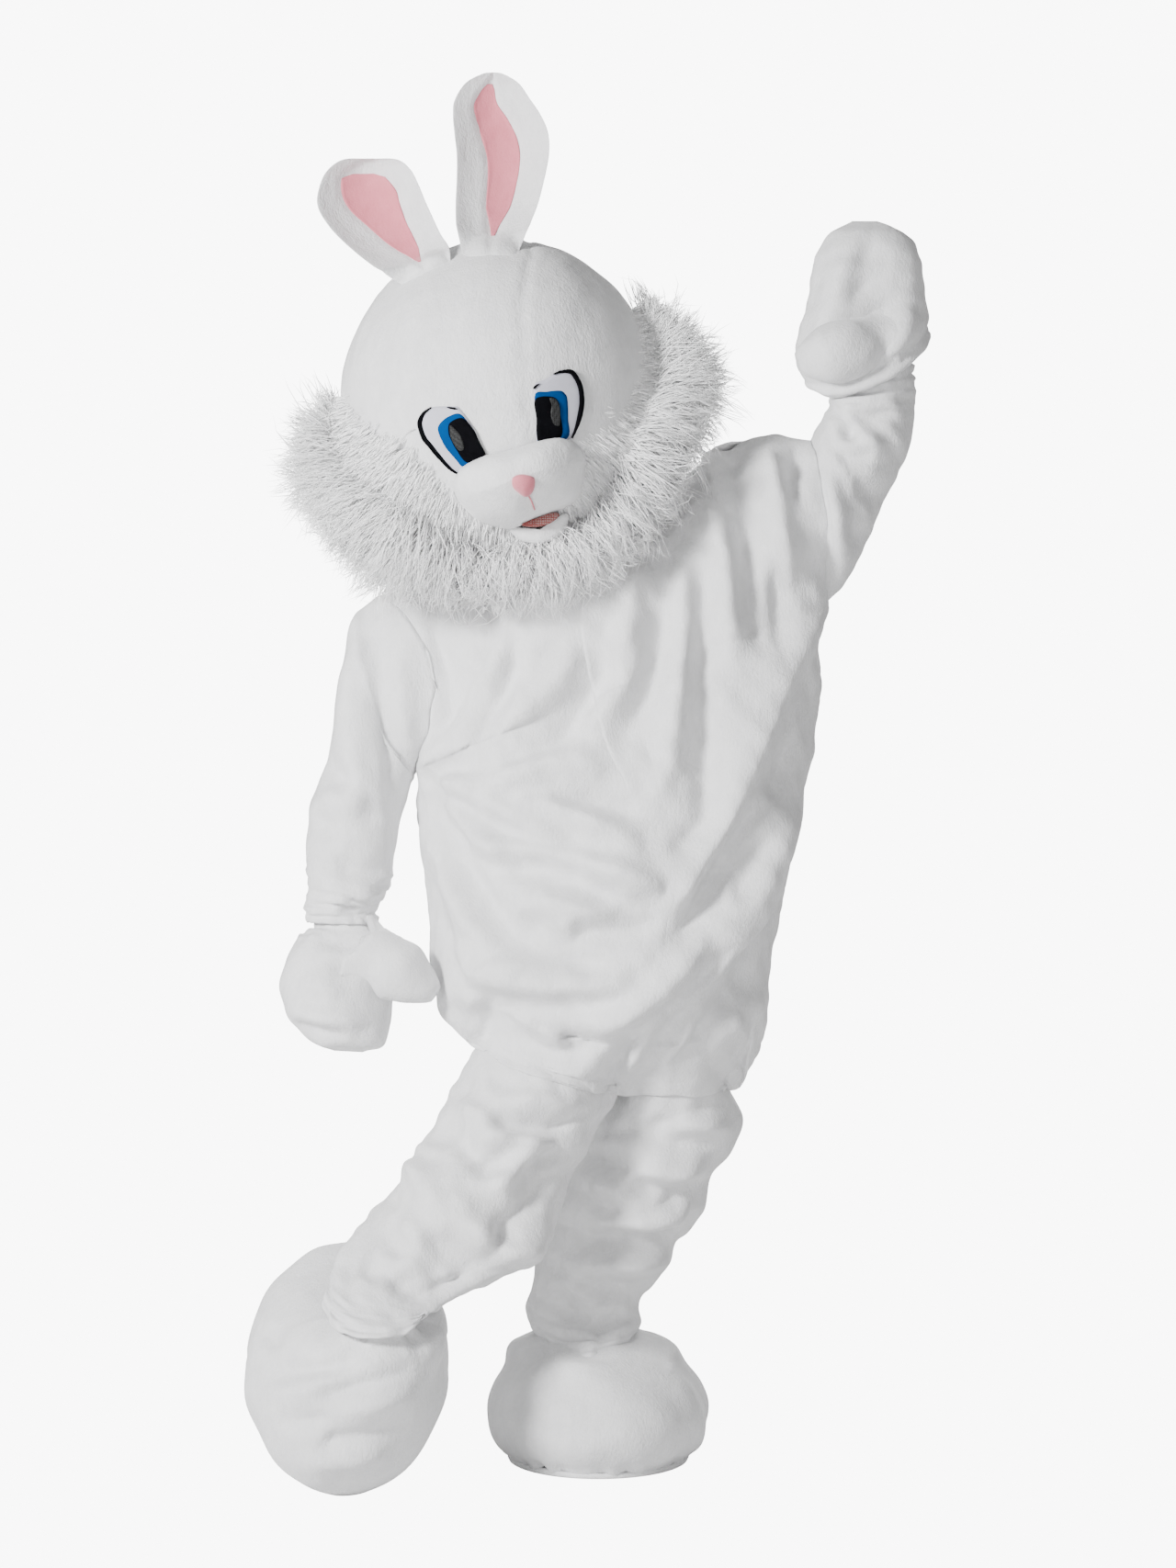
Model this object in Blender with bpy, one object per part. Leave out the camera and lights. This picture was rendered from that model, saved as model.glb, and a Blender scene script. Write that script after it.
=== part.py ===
"""Rabbit mascot costume: plush suit, mittens, foot covers and a foam head.

Metres, +Z up. The wearer faces -Y, so the wearer's left is +X. The origin is the middle
of the neck's base. Every piece is a wall of real thickness, open where the costume is
open, so the inside stays hollow.

Limbs and the body are lofted through hoops. A hoop's row gives its two ends as they lie
in the front view, its place in depth, how far it stands out to the front and back, how
far its middle hangs down, and the tilt in degrees that lowers its front.
"""
import math

import bmesh
import bpy
import numpy as np

PLUSH_WALL = 0.003
HEAD_WALL = 0.008
SEAM_GAP = 0.0003
EDGE_GAP = 0.00025
LIMB_GAP = 0.0005
LIFT = 0.0005
MERGE = 1e-6

FLOOR_Z = -1.216
NECK_CENTRE = (0.0, 0.0, -0.015)
NECK_RADIUS = 0.085
NECK_ROLL = math.radians(10)
COLLAR_HEIGHT = 0.032

HEAD_CENTRE = np.array((-0.066, -0.030, 0.182))
HEAD_RADIUS = 0.207
HEAD_ROLL = math.radians(18.4)
HEAD_YAW = math.radians(-2.2)
NECK_HOLE_ANGLE = math.radians(34)
NECK_HOLE_TILT = math.radians(14)

WHITE_PLUSH = ("white_plush", (0.80, 0.80, 0.81), 0.95)
LONG_PILE = ("long_pile", (0.84, 0.84, 0.85), 0.95)
PINK_PLUSH = ("pink_plush", (0.86, 0.50, 0.54), 0.90)
WHITE_FELT = ("white_felt", (0.80, 0.80, 0.82), 0.80)
BLUE_FELT = ("blue_felt", (0.02, 0.20, 0.55), 0.80)
BLACK_FELT = ("black_felt", (0.01, 0.01, 0.012), 0.80)
DARK_MESH = ("dark_mesh", (0.02, 0.02, 0.025), 0.60)
RED_MESH = ("red_mesh", (0.45, 0.16, 0.14), 0.60)

HOOP = ("left_x", "left_z", "right_x", "right_z", "mid_y", "front", "back", "sag", "tilt")

# The body below the armholes, from the armpits down to the rolled blouson hem.
BODY_HOOPS = (
    (-0.178, -0.307, 0.356, -0.091, 0.000, 0.136, 0.122, 0.000, 0),
    (-0.176, -0.346, 0.355, -0.182, 0.000, 0.150, 0.131, 0.000, 0),
    (-0.174, -0.388, 0.347, -0.261, 0.000, 0.160, 0.138, 0.000, 0),
    (-0.170, -0.437, 0.332, -0.340, 0.000, 0.175, 0.147, 0.000, 0),
    (-0.165, -0.485, 0.320, -0.412, 0.000, 0.186, 0.156, 0.000, 0),
    (-0.160, -0.528, 0.303, -0.485, 0.000, 0.190, 0.163, 0.003, 0),
    (-0.156, -0.564, 0.290, -0.552, 0.000, 0.187, 0.167, 0.010, 0),
    (-0.149, -0.606, 0.286, -0.612, 0.000, 0.178, 0.165, 0.022, 0),
    (-0.132, -0.631, 0.277, -0.663, 0.000, 0.170, 0.162, 0.036, 0),
    (-0.106, -0.646, 0.256, -0.697, 0.000, 0.158, 0.152, 0.046, 0),
    (-0.094, -0.640, 0.238, -0.686, 0.000, 0.142, 0.138, 0.040, 0),
)
BODY_STEPS = 13
ARMHOLE_STEPS = 7
FRONT_STEPS_EACH_SIDE = 9
BACK_STEPS_EACH_SIDE = 8
BODY_SQUARENESS = 2.25

# Where the body's front and back end at each armhole, from the armpit to the shoulder.
ARMHOLE = ("right_x", "right_z", "left_x", "left_z")
ARMHOLE_EDGE = (
    (-0.178, -0.307, 0.356, -0.091),
    (-0.162, -0.262, 0.360, -0.048),
    (-0.155, -0.205, 0.361, 0.000),
    (-0.166, -0.145, 0.354, 0.052),
    (-0.193, -0.100, 0.348, 0.098),
    (-0.230, -0.070, 0.342, 0.135),
)
ARMHOLE_HALF_DEPTH = 0.075
YOKE_EDGE_POWER = 4

# The shoulder line from the right arm to the neck, and from the neck to the left arm.
SHOULDER_RIGHT = ((-0.230, -0.070), (-0.160, -0.054))
SHOULDER_LEFT = ((0.150, 0.058), (0.215, 0.118), (0.280, 0.137), (0.342, 0.135))
NECK_SHARE = (0.26, 0.60)

# The centre front closes along this line, from the neck down to the crotch.
CLOSURE = ("x", "z")
CLOSURE_LINE = (
    (0.045, -0.020),
    (0.060, -0.060),
    (0.064, -0.130),
    (0.086, -0.228),
    (0.119, -0.322),
    (0.145, -0.427),
    (0.137, -0.509),
    (0.107, -0.626),
    (0.070, -0.715),
)
PLACKET_HALF_WIDTH = 0.016
PLACKET_THICKNESS = 0.002

# Hanging right sleeve and raised left sleeve: left end, right end, depth, fullness.
SLEEVE_RIGHT_HOOPS = (
    (-0.261, -0.102, -0.181, -0.312, 0.002, 0.076, 0.074, 0.0, 0),
    (-0.272, -0.152, -0.182, -0.318, 0.000, 0.074, 0.072, 0.0, 0),
    (-0.281, -0.206, -0.185, -0.324, -0.004, 0.070, 0.068, 0.0, 0),
    (-0.286, -0.260, -0.187, -0.332, -0.008, 0.067, 0.064, 0.0, 0),
    (-0.302, -0.312, -0.190, -0.344, -0.012, 0.065, 0.062, 0.0, 0),
    (-0.316, -0.358, -0.197, -0.366, -0.018, 0.062, 0.060, 0.0, 0),
    (-0.319, -0.406, -0.205, -0.412, -0.024, 0.058, 0.056, 0.0, 0),
    (-0.318, -0.455, -0.212, -0.457, -0.030, 0.054, 0.052, 0.0, 0),
    (-0.322, -0.486, -0.228, -0.488, -0.034, 0.045, 0.044, 0.0, 0),
    (-0.318, -0.506, -0.226, -0.508, -0.036, 0.042, 0.041, 0.0, 0),
)
SLEEVE_LEFT_HOOPS = (
    (0.352, 0.146, 0.387, -0.062, 0.000, 0.078, 0.076, 0.0, 0),
    (0.358, 0.154, 0.411, -0.018, 0.000, 0.076, 0.074, 0.0, 0),
    (0.363, 0.162, 0.431, 0.028, -0.002, 0.072, 0.070, 0.0, 0),
    (0.367, 0.172, 0.450, 0.074, -0.004, 0.066, 0.064, 0.0, 0),
    (0.365, 0.182, 0.473, 0.120, -0.006, 0.058, 0.056, 0.0, 0),
    (0.364, 0.200, 0.479, 0.166, -0.009, 0.050, 0.048, 0.0, 0),
    (0.366, 0.214, 0.479, 0.206, -0.011, 0.045, 0.043, 0.0, 4),
    (0.372, 0.230, 0.474, 0.246, -0.012, 0.043, 0.042, 0.0, 8),
)
SLEEVE_STEPS = 11

# Bent right leg and standing left leg, from the tops inside the body to the ankle hems.
LEG_RIGHT_HOOPS = (
    (-0.074, -0.612, 0.078, -0.672, -0.010, 0.072, 0.074, 0.0, 0),
    (-0.080, -0.648, 0.083, -0.700, -0.014, 0.080, 0.082, 0.0, 0),
    (-0.112, -0.690, 0.086, -0.738, -0.028, 0.090, 0.090, 0.0, 0),
    (-0.142, -0.752, 0.060, -0.782, -0.056, 0.102, 0.094, 0.0, 0),
    (-0.174, -0.800, 0.028, -0.838, -0.082, 0.105, 0.094, 0.0, 0),
    (-0.196, -0.838, 0.002, -0.900, -0.106, 0.104, 0.092, 0.0, 4),
    (-0.226, -0.874, -0.026, -0.942, -0.134, 0.094, 0.084, 0.0, 10),
    (-0.252, -0.902, -0.092, -0.960, -0.168, 0.080, 0.070, 0.0, 16),
    (-0.270, -0.930, -0.134, -0.970, -0.206, 0.076, 0.064, 0.0, 22),
    (-0.278, -0.954, -0.150, -0.974, -0.232, 0.073, 0.062, 0.0, 24),
    (-0.281, -0.976, -0.158, -0.984, -0.252, 0.068, 0.060, 0.0, 24),
)
LEG_LEFT_HOOPS = (
    (0.090, -0.672, 0.214, -0.654, 0.022, 0.068, 0.062, 0.0, 0),
    (0.092, -0.706, 0.218, -0.694, 0.026, 0.072, 0.066, 0.0, 0),
    (0.090, -0.752, 0.247, -0.750, 0.038, 0.088, 0.082, 0.0, 0),
    (0.060, -0.798, 0.247, -0.804, 0.050, 0.098, 0.094, 0.0, 0),
    (0.042, -0.846, 0.214, -0.850, 0.052, 0.094, 0.092, 0.0, 0),
    (0.012, -0.898, 0.203, -0.892, 0.052, 0.092, 0.090, 0.0, 0),
    (-0.008, -0.946, 0.168, -0.936, 0.050, 0.086, 0.084, 0.0, 0),
    (-0.024, -0.990, 0.145, -0.982, 0.046, 0.080, 0.080, 0.0, 0),
    (-0.030, -1.018, 0.118, -1.016, 0.043, 0.072, 0.072, 0.0, 0),
    (-0.027, -1.038, 0.110, -1.038, 0.042, 0.064, 0.064, 0.0, 0),
)
LEG_STEPS = 15
LEG_COLUMNS = 16
LIMB_SQUARENESS = 2.1

# Mittens, from the wrist to the fingertips. Front and back meet in a seam at the tips.
MITTEN_RIGHT_HOOPS = (
    (-0.309, -0.490, -0.235, -0.491, -0.036, 0.032, 0.032, 0.0, 0),
    (-0.312, -0.511, -0.232, -0.511, -0.038, 0.034, 0.034, 0.0, 0),
    (-0.336, -0.534, -0.220, -0.528, -0.043, 0.050, 0.046, 0.0, 0),
    (-0.350, -0.566, -0.210, -0.562, -0.049, 0.059, 0.054, 0.0, 0),
    (-0.353, -0.598, -0.206, -0.602, -0.055, 0.060, 0.056, 0.0, 0),
    (-0.341, -0.630, -0.208, -0.638, -0.061, 0.054, 0.050, 0.0, 0),
    (-0.314, -0.658, -0.218, -0.664, -0.065, 0.038, 0.034, 0.0, 0),
    (-0.282, -0.672, -0.244, -0.674, -0.068, 0.001, 0.001, 0.0, 0),
)
MITTEN_LEFT_HOOPS = (
    (0.347, 0.207, 0.488, 0.268, -0.012, 0.069, 0.060, 0.0, 34),
    (0.330, 0.209, 0.499, 0.272, -0.012, 0.077, 0.067, 0.0, 34),
    (0.3218, 0.239, 0.499, 0.293, -0.014, 0.072, 0.064, 0.0, 26),
    (0.3266, 0.271, 0.4955, 0.314, -0.016, 0.063, 0.057, 0.0, 16),
    (0.3339, 0.3015, 0.4915, 0.340, -0.017, 0.057, 0.052, 0.0, 8),
    (0.3411, 0.338, 0.4865, 0.368, -0.016, 0.054, 0.050, 0.0, 3),
    (0.3484, 0.368, 0.476, 0.390, -0.014, 0.048, 0.044, 0.0, 0),
    (0.3653, 0.396, 0.4560, 0.406, -0.012, 0.034, 0.030, 0.0, 0),
    (0.396, 0.4165, 0.430, 0.4165, -0.010, 0.001, 0.001, 0.0, 0),
)
MITTEN_STEPS = 9
TIP_GAP = 0.0012
MITTEN_COLUMNS = 12
THUMB = ("x", "y", "z", "radius")
THUMB_RIGHT = (
    (-0.216, -0.070, -0.554, 0.041),
    (-0.196, -0.076, -0.567, 0.040),
    (-0.177, -0.080, -0.578, 0.032),
    (-0.164, -0.082, -0.586, 0.020),
)
THUMB_LEFT = (
    (0.392, -0.078, 0.262, 0.032),
    (0.370, -0.096, 0.250, 0.033),
    (0.350, -0.101, 0.240, 0.028),
    (0.337, -0.101, 0.233, 0.016),
)
THUMB_COLUMNS = 10
THUMB_STEPS = 4
THUMB_CLEAR = 1.10
THUMB_ROW = 0.006

# Foot covers: height over the sole, share of the ankle's place, half width and length.
FOOT = ("height", "share", "half_width", "half_length")
FOOT_RINGS = (
    (0.0085, 0.00, 0.114, 0.142),
    (0.022, 0.00, 0.134, 0.161),
    (0.045, 0.00, 0.145, 0.172),
    (0.070, 0.04, 0.1465, 0.173),
    (0.098, 0.12, 0.1365, 0.162),
    (0.122, 0.30, 0.120, 0.143),
    (0.143, 0.60, 0.100, 0.112),
    (0.156, 0.85, 0.078, 0.082),
    (0.168, 1.00, 0.056, 0.058),
    (0.181, 1.00, 0.046, 0.047),
)
FOOT_STEPS = 10
FOOT_COLUMNS = 18
FOOT_WALL = 0.006
SOLE_THICKNESS = 0.008
SOLE_EDGE = 0.006
FOOT_LEFT_PLACE = (0.062, 0.008, FLOOR_Z)
# How far the ankle stands aside and back, its lean back in degrees, and how far the
# cover spreads: the one that is stood on is the broader.
FOOT_ANKLE = {"left": (-0.014, 0.030, 0.0, 1.0), "right": (0.036, 0.016, 32.0, 0.88)}
FOOT_RIGHT_TOE = (-0.262, -0.205, FLOOR_Z)
FOOT_RIGHT_PITCH = math.radians(54)
FOOT_RIGHT_YAW = math.radians(4)
FOOT_RIGHT_ROLL = math.radians(5)

FOLD = ("start_x", "start_z", "bend_x", "bend_z", "end_x", "end_z", "height", "width")
# The largest folds of the body's front, as seen from the front: ridges +, troughs -.
BODY_FRONT_FOLDS = (
    (-0.175, -0.305, -0.070, -0.245, 0.036, -0.148, 0.013, 0.020),
    (-0.095, -0.272, -0.070, -0.235, -0.050, -0.208, -0.012, 0.020),
    (-0.060, -0.302, 0.036, -0.236, 0.088, -0.158, -0.010, 0.022),
    (-0.160, -0.322, -0.025, -0.378, 0.028, -0.394, 0.010, 0.024),
    (-0.045, -0.419, 0.030, -0.436, 0.092, -0.470, -0.013, 0.022),
    (0.052, -0.436, 0.100, -0.450, 0.146, -0.464, 0.010, 0.018),
    (-0.160, -0.335, -0.105, -0.450, -0.025, -0.535, -0.012, 0.024),
    (-0.025, -0.535, 0.036, -0.562, 0.082, -0.588, -0.012, 0.022),
    (-0.065, -0.558, 0.030, -0.566, 0.158, -0.604, 0.010, 0.022),
    (-0.086, -0.618, -0.012, -0.664, 0.056, -0.684, -0.010, 0.022),
    (0.350, -0.110, 0.268, -0.268, 0.156, -0.492, 0.015, 0.026),
    (0.256, -0.350, 0.218, -0.440, 0.168, -0.548, -0.012, 0.022),
    (0.312, -0.370, 0.226, -0.548, 0.048, -0.724, 0.014, 0.024),
    (0.246, -0.538, 0.190, -0.610, 0.106, -0.694, -0.012, 0.020),
    (0.290, -0.490, 0.234, -0.608, 0.160, -0.694, -0.010, 0.020),
    (0.226, 0.090, 0.252, -0.008, 0.268, -0.172, -0.011, 0.022),
    (0.200, 0.070, 0.226, -0.020, 0.244, -0.172, 0.010, 0.020),
    (0.194, -0.038, 0.200, -0.264, 0.158, -0.416, -0.009, 0.024),
    (0.150, -0.012, 0.140, -0.166, 0.078, -0.282, -0.008, 0.024),
)
# The back hangs from the raised shoulder, with swags across the seat.
BODY_BACK_FOLDS = (
    (0.340, -0.120, 0.250, -0.300, 0.110, -0.500, 0.012, 0.028),
    (0.345, -0.200, 0.280, -0.370, 0.180, -0.560, -0.011, 0.026),
    (0.250, 0.060, 0.240, -0.080, 0.200, -0.260, -0.010, 0.026),
    (-0.165, -0.310, -0.060, -0.300, 0.060, -0.220, 0.011, 0.026),
    (-0.160, -0.360, -0.040, -0.430, 0.080, -0.420, -0.011, 0.026),
    (-0.140, -0.470, -0.010, -0.560, 0.140, -0.580, -0.010, 0.026),
    (-0.110, -0.560, 0.040, -0.640, 0.220, -0.620, 0.011, 0.026),
)
SLEEVE_RIGHT_FOLDS = (
    (-0.228, -0.130, -0.218, -0.225, -0.208, -0.370, -0.008, 0.018),
    (-0.270, -0.180, -0.262, -0.270, -0.250, -0.350, 0.007, 0.020),
    (-0.318, -0.335, -0.270, -0.350, -0.215, -0.345, -0.007, 0.016),
    (-0.315, -0.432, -0.265, -0.440, -0.212, -0.432, -0.007, 0.014),
)
SLEEVE_LEFT_FOLDS = (
    (0.352, 0.080, 0.364, 0.010, 0.368, -0.048, -0.008, 0.018),
    (0.366, 0.140, 0.400, 0.110, 0.440, 0.085, -0.008, 0.018),
    (0.372, 0.168, 0.415, 0.140, 0.462, 0.120, -0.007, 0.014),
)
LEG_RIGHT_FOLDS = (
    (-0.062, -0.756, -0.010, -0.770, 0.050, -0.752, -0.010, 0.020),
    (-0.150, -0.790, -0.060, -0.776, 0.010, -0.768, 0.008, 0.020),
    (-0.088, -0.808, -0.050, -0.782, -0.012, -0.764, -0.011, 0.020),
    (-0.168, -0.814, -0.128, -0.876, -0.088, -0.922, 0.011, 0.022),
    (-0.150, -0.895, -0.118, -0.918, -0.150, -0.938, -0.010, 0.018),
    (-0.040, -0.830, 0.000, -0.800, 0.020, -0.788, -0.009, 0.020),
    (-0.240, -0.930, -0.215, -0.942, -0.190, -0.940, -0.007, 0.015),
)
LEG_LEFT_FOLDS = (
    (0.090, -0.846, 0.150, -0.850, 0.200, -0.840, -0.012, 0.016),
    (0.100, -0.808, 0.170, -0.815, 0.232, -0.802, 0.007, 0.018),
    (0.068, -0.902, 0.130, -0.908, 0.180, -0.900, -0.011, 0.016),
    (0.030, -0.976, 0.080, -0.980, 0.130, -0.966, -0.010, 0.016),
)
FOLD_TAPER = 0.18

# Ears: the two edges in the front view from base to tip, depth, and the lining's share.
EAR = ("left_x", "left_z", "right_x", "right_z", "mid_y", "lining_left", "lining_right")
EAR_LEFT_ROWS = (
    (-0.1170, 0.3570, -0.0360, 0.3570, -0.142, 0.46, 0.54),
    (-0.1212, 0.3920, -0.0267, 0.3920, -0.112, 0.42, 0.6),
    (-0.1225, 0.4240, -0.0155, 0.4250, -0.094, 0.36, 0.66),
    (-0.1215, 0.4568, -0.0055, 0.4672, -0.084, 0.34, 0.68),
    (-0.1215, 0.4889, -0.0015, 0.4951, -0.08, 0.32, 0.68),
    (-0.1245, 0.5169, -0.0035, 0.5201, -0.078, 0.28, 0.66),
    (-0.1265, 0.5399, -0.0135, 0.5431, -0.078, 0.26, 0.62),
    (-0.1245, 0.5599, -0.0265, 0.5621, -0.08, 0.26, 0.56),
    (-0.1105, 0.5825, -0.0415, 0.5825, -0.083, 0.36, 0.54),
    (-0.0885, 0.5945, -0.0615, 0.5945, -0.086, 0.45, 0.55),
)
EAR_RIGHT_ROWS = (
    (-0.2060, 0.3220, -0.1240, 0.3500, -0.146, 0.5, 0.58),
    (-0.2352, 0.3457, -0.1318, 0.3683, -0.116, 0.48, 0.66),
    (-0.2645, 0.3717, -0.1415, 0.3843, -0.098, 0.42, 0.72),
    (-0.2865, 0.3958, -0.1525, 0.4082, -0.088, 0.36, 0.74),
    (-0.3005, 0.4199, -0.1615, 0.4281, -0.084, 0.28, 0.76),
    (-0.3005, 0.4418, -0.1705, 0.4502, -0.082, 0.22, 0.76),
    (-0.2905, 0.4664, -0.1815, 0.4706, -0.084, 0.2, 0.66),
    (-0.2685, 0.4825, -0.1995, 0.4835, -0.088, 0.3, 0.6),
)
EAR_CUP = 0.030
EAR_EDGE_THICKNESS = 0.007
EAR_PADDING = 0.011
EAR_CLEAR = 0.002
EAR_STEPS = 8
LINING_THICKNESS = 0.002

# The head's centre strip: half width in degrees at angles from the face over the crown.
GUSSET = ("over", "half_width")
GUSSET_ROWS = (
    (-80, 9.0),
    (-45, 8.0),
    (-22, 8.5),
    (0, 12.0),
    (30, 21.0),
    (55, 28.5),
    (100, 29.0),
    (150, 24.0),
    (200, 18.0),
    (240, 16.0),
)
CROWN_SEAM = 100.0
GUSSET_STEPS = 10
SIDE_STEPS = 5

# Flat outlines on the face: across and up from the head's centre, along its own axes.
FACE = ("across", "up")
EYE_EDGE = ((0.042, -0.022), (0.064, -0.010), (0.090, -0.013), (0.103, -0.034),
            (0.100, -0.058), (0.080, -0.088), (0.056, -0.087), (0.036, -0.080))
EYE_WHITE = ((0.046, -0.026), (0.066, -0.015), (0.087, -0.018), (0.097, -0.037),
             (0.093, -0.058), (0.075, -0.082), (0.057, -0.083), (0.040, -0.078))
EYE_IRIS = ((0.047, -0.034), (0.074, -0.034), (0.084, -0.048), (0.080, -0.066),
            (0.067, -0.080), (0.055, -0.081), (0.041, -0.076))
EYE_PUPIL = ((0.047, -0.041), (0.065, -0.041), (0.074, -0.053), (0.070, -0.067),
             (0.060, -0.077), (0.042, -0.073))
FELT_THICKNESS = 0.0014
EYE_POINTS = 14
EYE_LIFT = 0.0009

MUZZLE_OUTLINE = ((-0.088, -0.118), (-0.068, -0.100), (-0.036, -0.095), (0.000, -0.090),
                  (0.036, -0.095), (0.068, -0.100), (0.088, -0.118), (0.082, -0.142),
                  (0.056, -0.164), (0.018, -0.171), (-0.018, -0.171), (-0.056, -0.164),
                  (-0.082, -0.142))
MUZZLE_RISE = 0.050
MUZZLE_EDGE = 0.004
MUZZLE_POINTS = 22
MUZZLE_DROP = 0.12
PHILTRUM_DEPTH = 0.007
NOSE_OUTLINE = ((-0.016, -0.115), (0.000, -0.113), (0.016, -0.115), (0.018, -0.127),
                (0.005, -0.144), (-0.005, -0.144), (-0.018, -0.127))
NOSE_RISE = 0.011
MOUTH_OUTLINE = ((-0.030, -0.1745), (0.000, -0.1745), (0.030, -0.1745), (0.026, -0.183),
                 (0.000, -0.185), (-0.026, -0.183))
MOUTH_BACK, MOUTH_FRONT = 0.116, 0.140
LIP_OUTLINE = ((-0.044, -0.178), (-0.031, -0.1865), (0.000, -0.1880), (0.031, -0.1865),
               (0.044, -0.178), (0.042, -0.192), (0.020, -0.203), (-0.020, -0.203),
               (-0.042, -0.192))
LIP_BACK, LIP_RISE = 0.118, 0.030

# The ruff: angle round the face, reach of its tips, how far forward they hang, and the
# front of its root on the ball.
RUFF = ("around", "reach", "forward", "root")
RUFF_ROWS = (
    (32, 0.232, 0.026, 8),
    (19, 0.278, 0.044, 12),
    (6, 0.296, 0.060, 18),
    (-9, 0.282, 0.084, 28),
    (-25, 0.266, 0.120, 33),
    (-40, 0.266, 0.142, 31),
    (-52, 0.272, 0.150, 28),
    (-63, 0.281, 0.146, 23),
    (-76, 0.272, 0.144, 21),
    (-88, 0.270, 0.144, 21),
    (-101, 0.270, 0.144, 24),
    (-115, 0.280, 0.140, 31),
    (-130, 0.304, 0.122, 32),
    (-146, 0.296, 0.094, 22),
    (-161, 0.292, 0.064, 14),
    (-171, 0.270, 0.046, 9),
    (-179, 0.226, 0.026, 5),
)
RUFF_PARTS = (("ruff_left", 32, -34), ("ruff_chin", -34, -108), ("ruff_right", -108, -179))
RUFF_BACK = -14
RUFF_BAND = 5
RUFF_OFF_HOLE = math.radians(2)
RUFF_STEP = 5.0
RUFF_TUFT = 0.012
RUFF_CLEAR = 0.0040


def columns(names, rows):
    """The columns of a table by name."""
    data = np.array(rows, dtype=float)
    return {name: data[:, k] for k, name in enumerate(names)}


def smooth(values, stations):
    """A smooth curve through values, read at stations counted in rows."""
    values = np.asarray(values, dtype=float)
    last = len(values) - 1
    stations = np.clip(np.asarray(stations, dtype=float), 0, last)
    padded = np.concatenate(
        [2 * values[:1] - values[1:2], values, 2 * values[-1:] - values[-2:-1]]
    )
    row = np.minimum(stations.astype(int), last - 1)
    part = (stations - row).reshape((-1,) + (1,) * (values.ndim - 1))
    a, b, c, d = padded[row], padded[row + 1], padded[row + 2], padded[row + 3]
    cubic = 2 * a - 5 * b + 4 * c - d + part * (3 * (b - c) + d - a)
    return b + 0.5 * part * (c - a + part * cubic)


def smooth_table(names, rows, steps):
    """A table's columns, each resampled to steps + 1 even rows."""
    stations = np.linspace(0, len(rows) - 1, steps + 1)
    return {name: smooth(value, stations) for name, value in columns(names, rows).items()}


def unit(vectors):
    length = np.linalg.norm(vectors, axis=-1, keepdims=True)
    return vectors / np.maximum(length, 1e-12)


def grid_normals(grid, closed, outward):
    """Normals of a grid of points, turned to face along outward."""
    along = np.gradient(grid, axis=0)
    if closed:
        across = np.roll(grid, -1, axis=1) - np.roll(grid, 1, axis=1)
    else:
        across = np.gradient(grid, axis=1)
    normals = unit(np.cross(along, across))
    if np.sum(normals * outward) < 0:
        normals = -normals
    return normals


def from_ring_centres(grid):
    return grid - grid.mean(axis=1, keepdims=True)


def fold_height(grid, folds):
    """Height of all the folds at each point, measured in the front view."""
    flat = grid[..., (0, 2)].reshape(-1, 2)
    total = np.zeros(len(flat))
    share = np.linspace(0, 1, 33)
    for row in folds:
        start, bend, end = np.array(row[0:2]), np.array(row[2:4]), np.array(row[4:6])
        height, width = row[6], row[7]
        pull = 2 * bend - (start + end) / 2
        t = share[:, None]
        path = (1 - t) ** 2 * start + 2 * t * (1 - t) * pull + t ** 2 * end
        away = np.linalg.norm(flat[:, None, :] - path[None], axis=2)
        nearest = away.argmin(axis=1)
        taper = np.clip(np.minimum(share, 1 - share) / FOLD_TAPER + 0.25, 0, 1)
        total += height * np.exp(-(away.min(axis=1) / width) ** 2) * taper[nearest]
    return total.reshape(grid.shape[:-1])


def add_folds(grid, normals, folds, facing):
    """Folds on the side that faces along facing, -1 for the front and 1 for the back."""
    weight = np.clip(normals[..., 1] * facing * 1.6, 0, 1)
    return grid + normals * (fold_height(grid, folds) * weight)[..., None]


def toward(points, neighbours, distance):
    """Points moved a small distance toward their neighbours."""
    return points + unit(neighbours - points) * distance


def pull_edges(grid, top=EDGE_GAP, bottom=EDGE_GAP, side=EDGE_GAP):
    """A panel's outer points with its share of the seams' gaps taken off each edge."""
    grid = grid.copy()
    left = toward(grid[:, 0], grid[:, 1], side)
    right = toward(grid[:, -1], grid[:, -2], side)
    grid[:, 0], grid[:, -1] = left, right
    grid[0] = toward(grid[0], grid[1], bottom)
    grid[-1] = toward(grid[-1], grid[-2], top)
    return grid


def material(slot):
    name, colour, roughness = slot
    finish = bpy.data.materials.get(name)
    if finish is None:
        finish = bpy.data.materials.new(name)
        finish.use_nodes = True
        shader = finish.node_tree.nodes["Principled BSDF"]
        shader.inputs["Base Color"].default_value = (*colour, 1.0)
        shader.inputs["Roughness"].default_value = roughness
        shader.inputs["Metallic"].default_value = 0.0
    return finish


def make_object(name, points, faces, slot):
    """One closed object, its faces pointing out."""
    mesh = bpy.data.meshes.new(name)
    mesh.from_pydata([tuple(point) for point in points], [], faces)
    work = bmesh.new()
    work.from_mesh(mesh)
    bmesh.ops.remove_doubles(work, verts=work.verts, dist=MERGE)
    if work.calc_volume(signed=True) < 0:
        bmesh.ops.reverse_faces(work, faces=work.faces)
    work.to_mesh(mesh)
    work.free()
    mesh.shade_smooth()
    mesh.materials.append(material(slot))
    piece = bpy.data.objects.new(name, mesh)
    bpy.context.scene.collection.objects.link(piece)
    return piece


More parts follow.
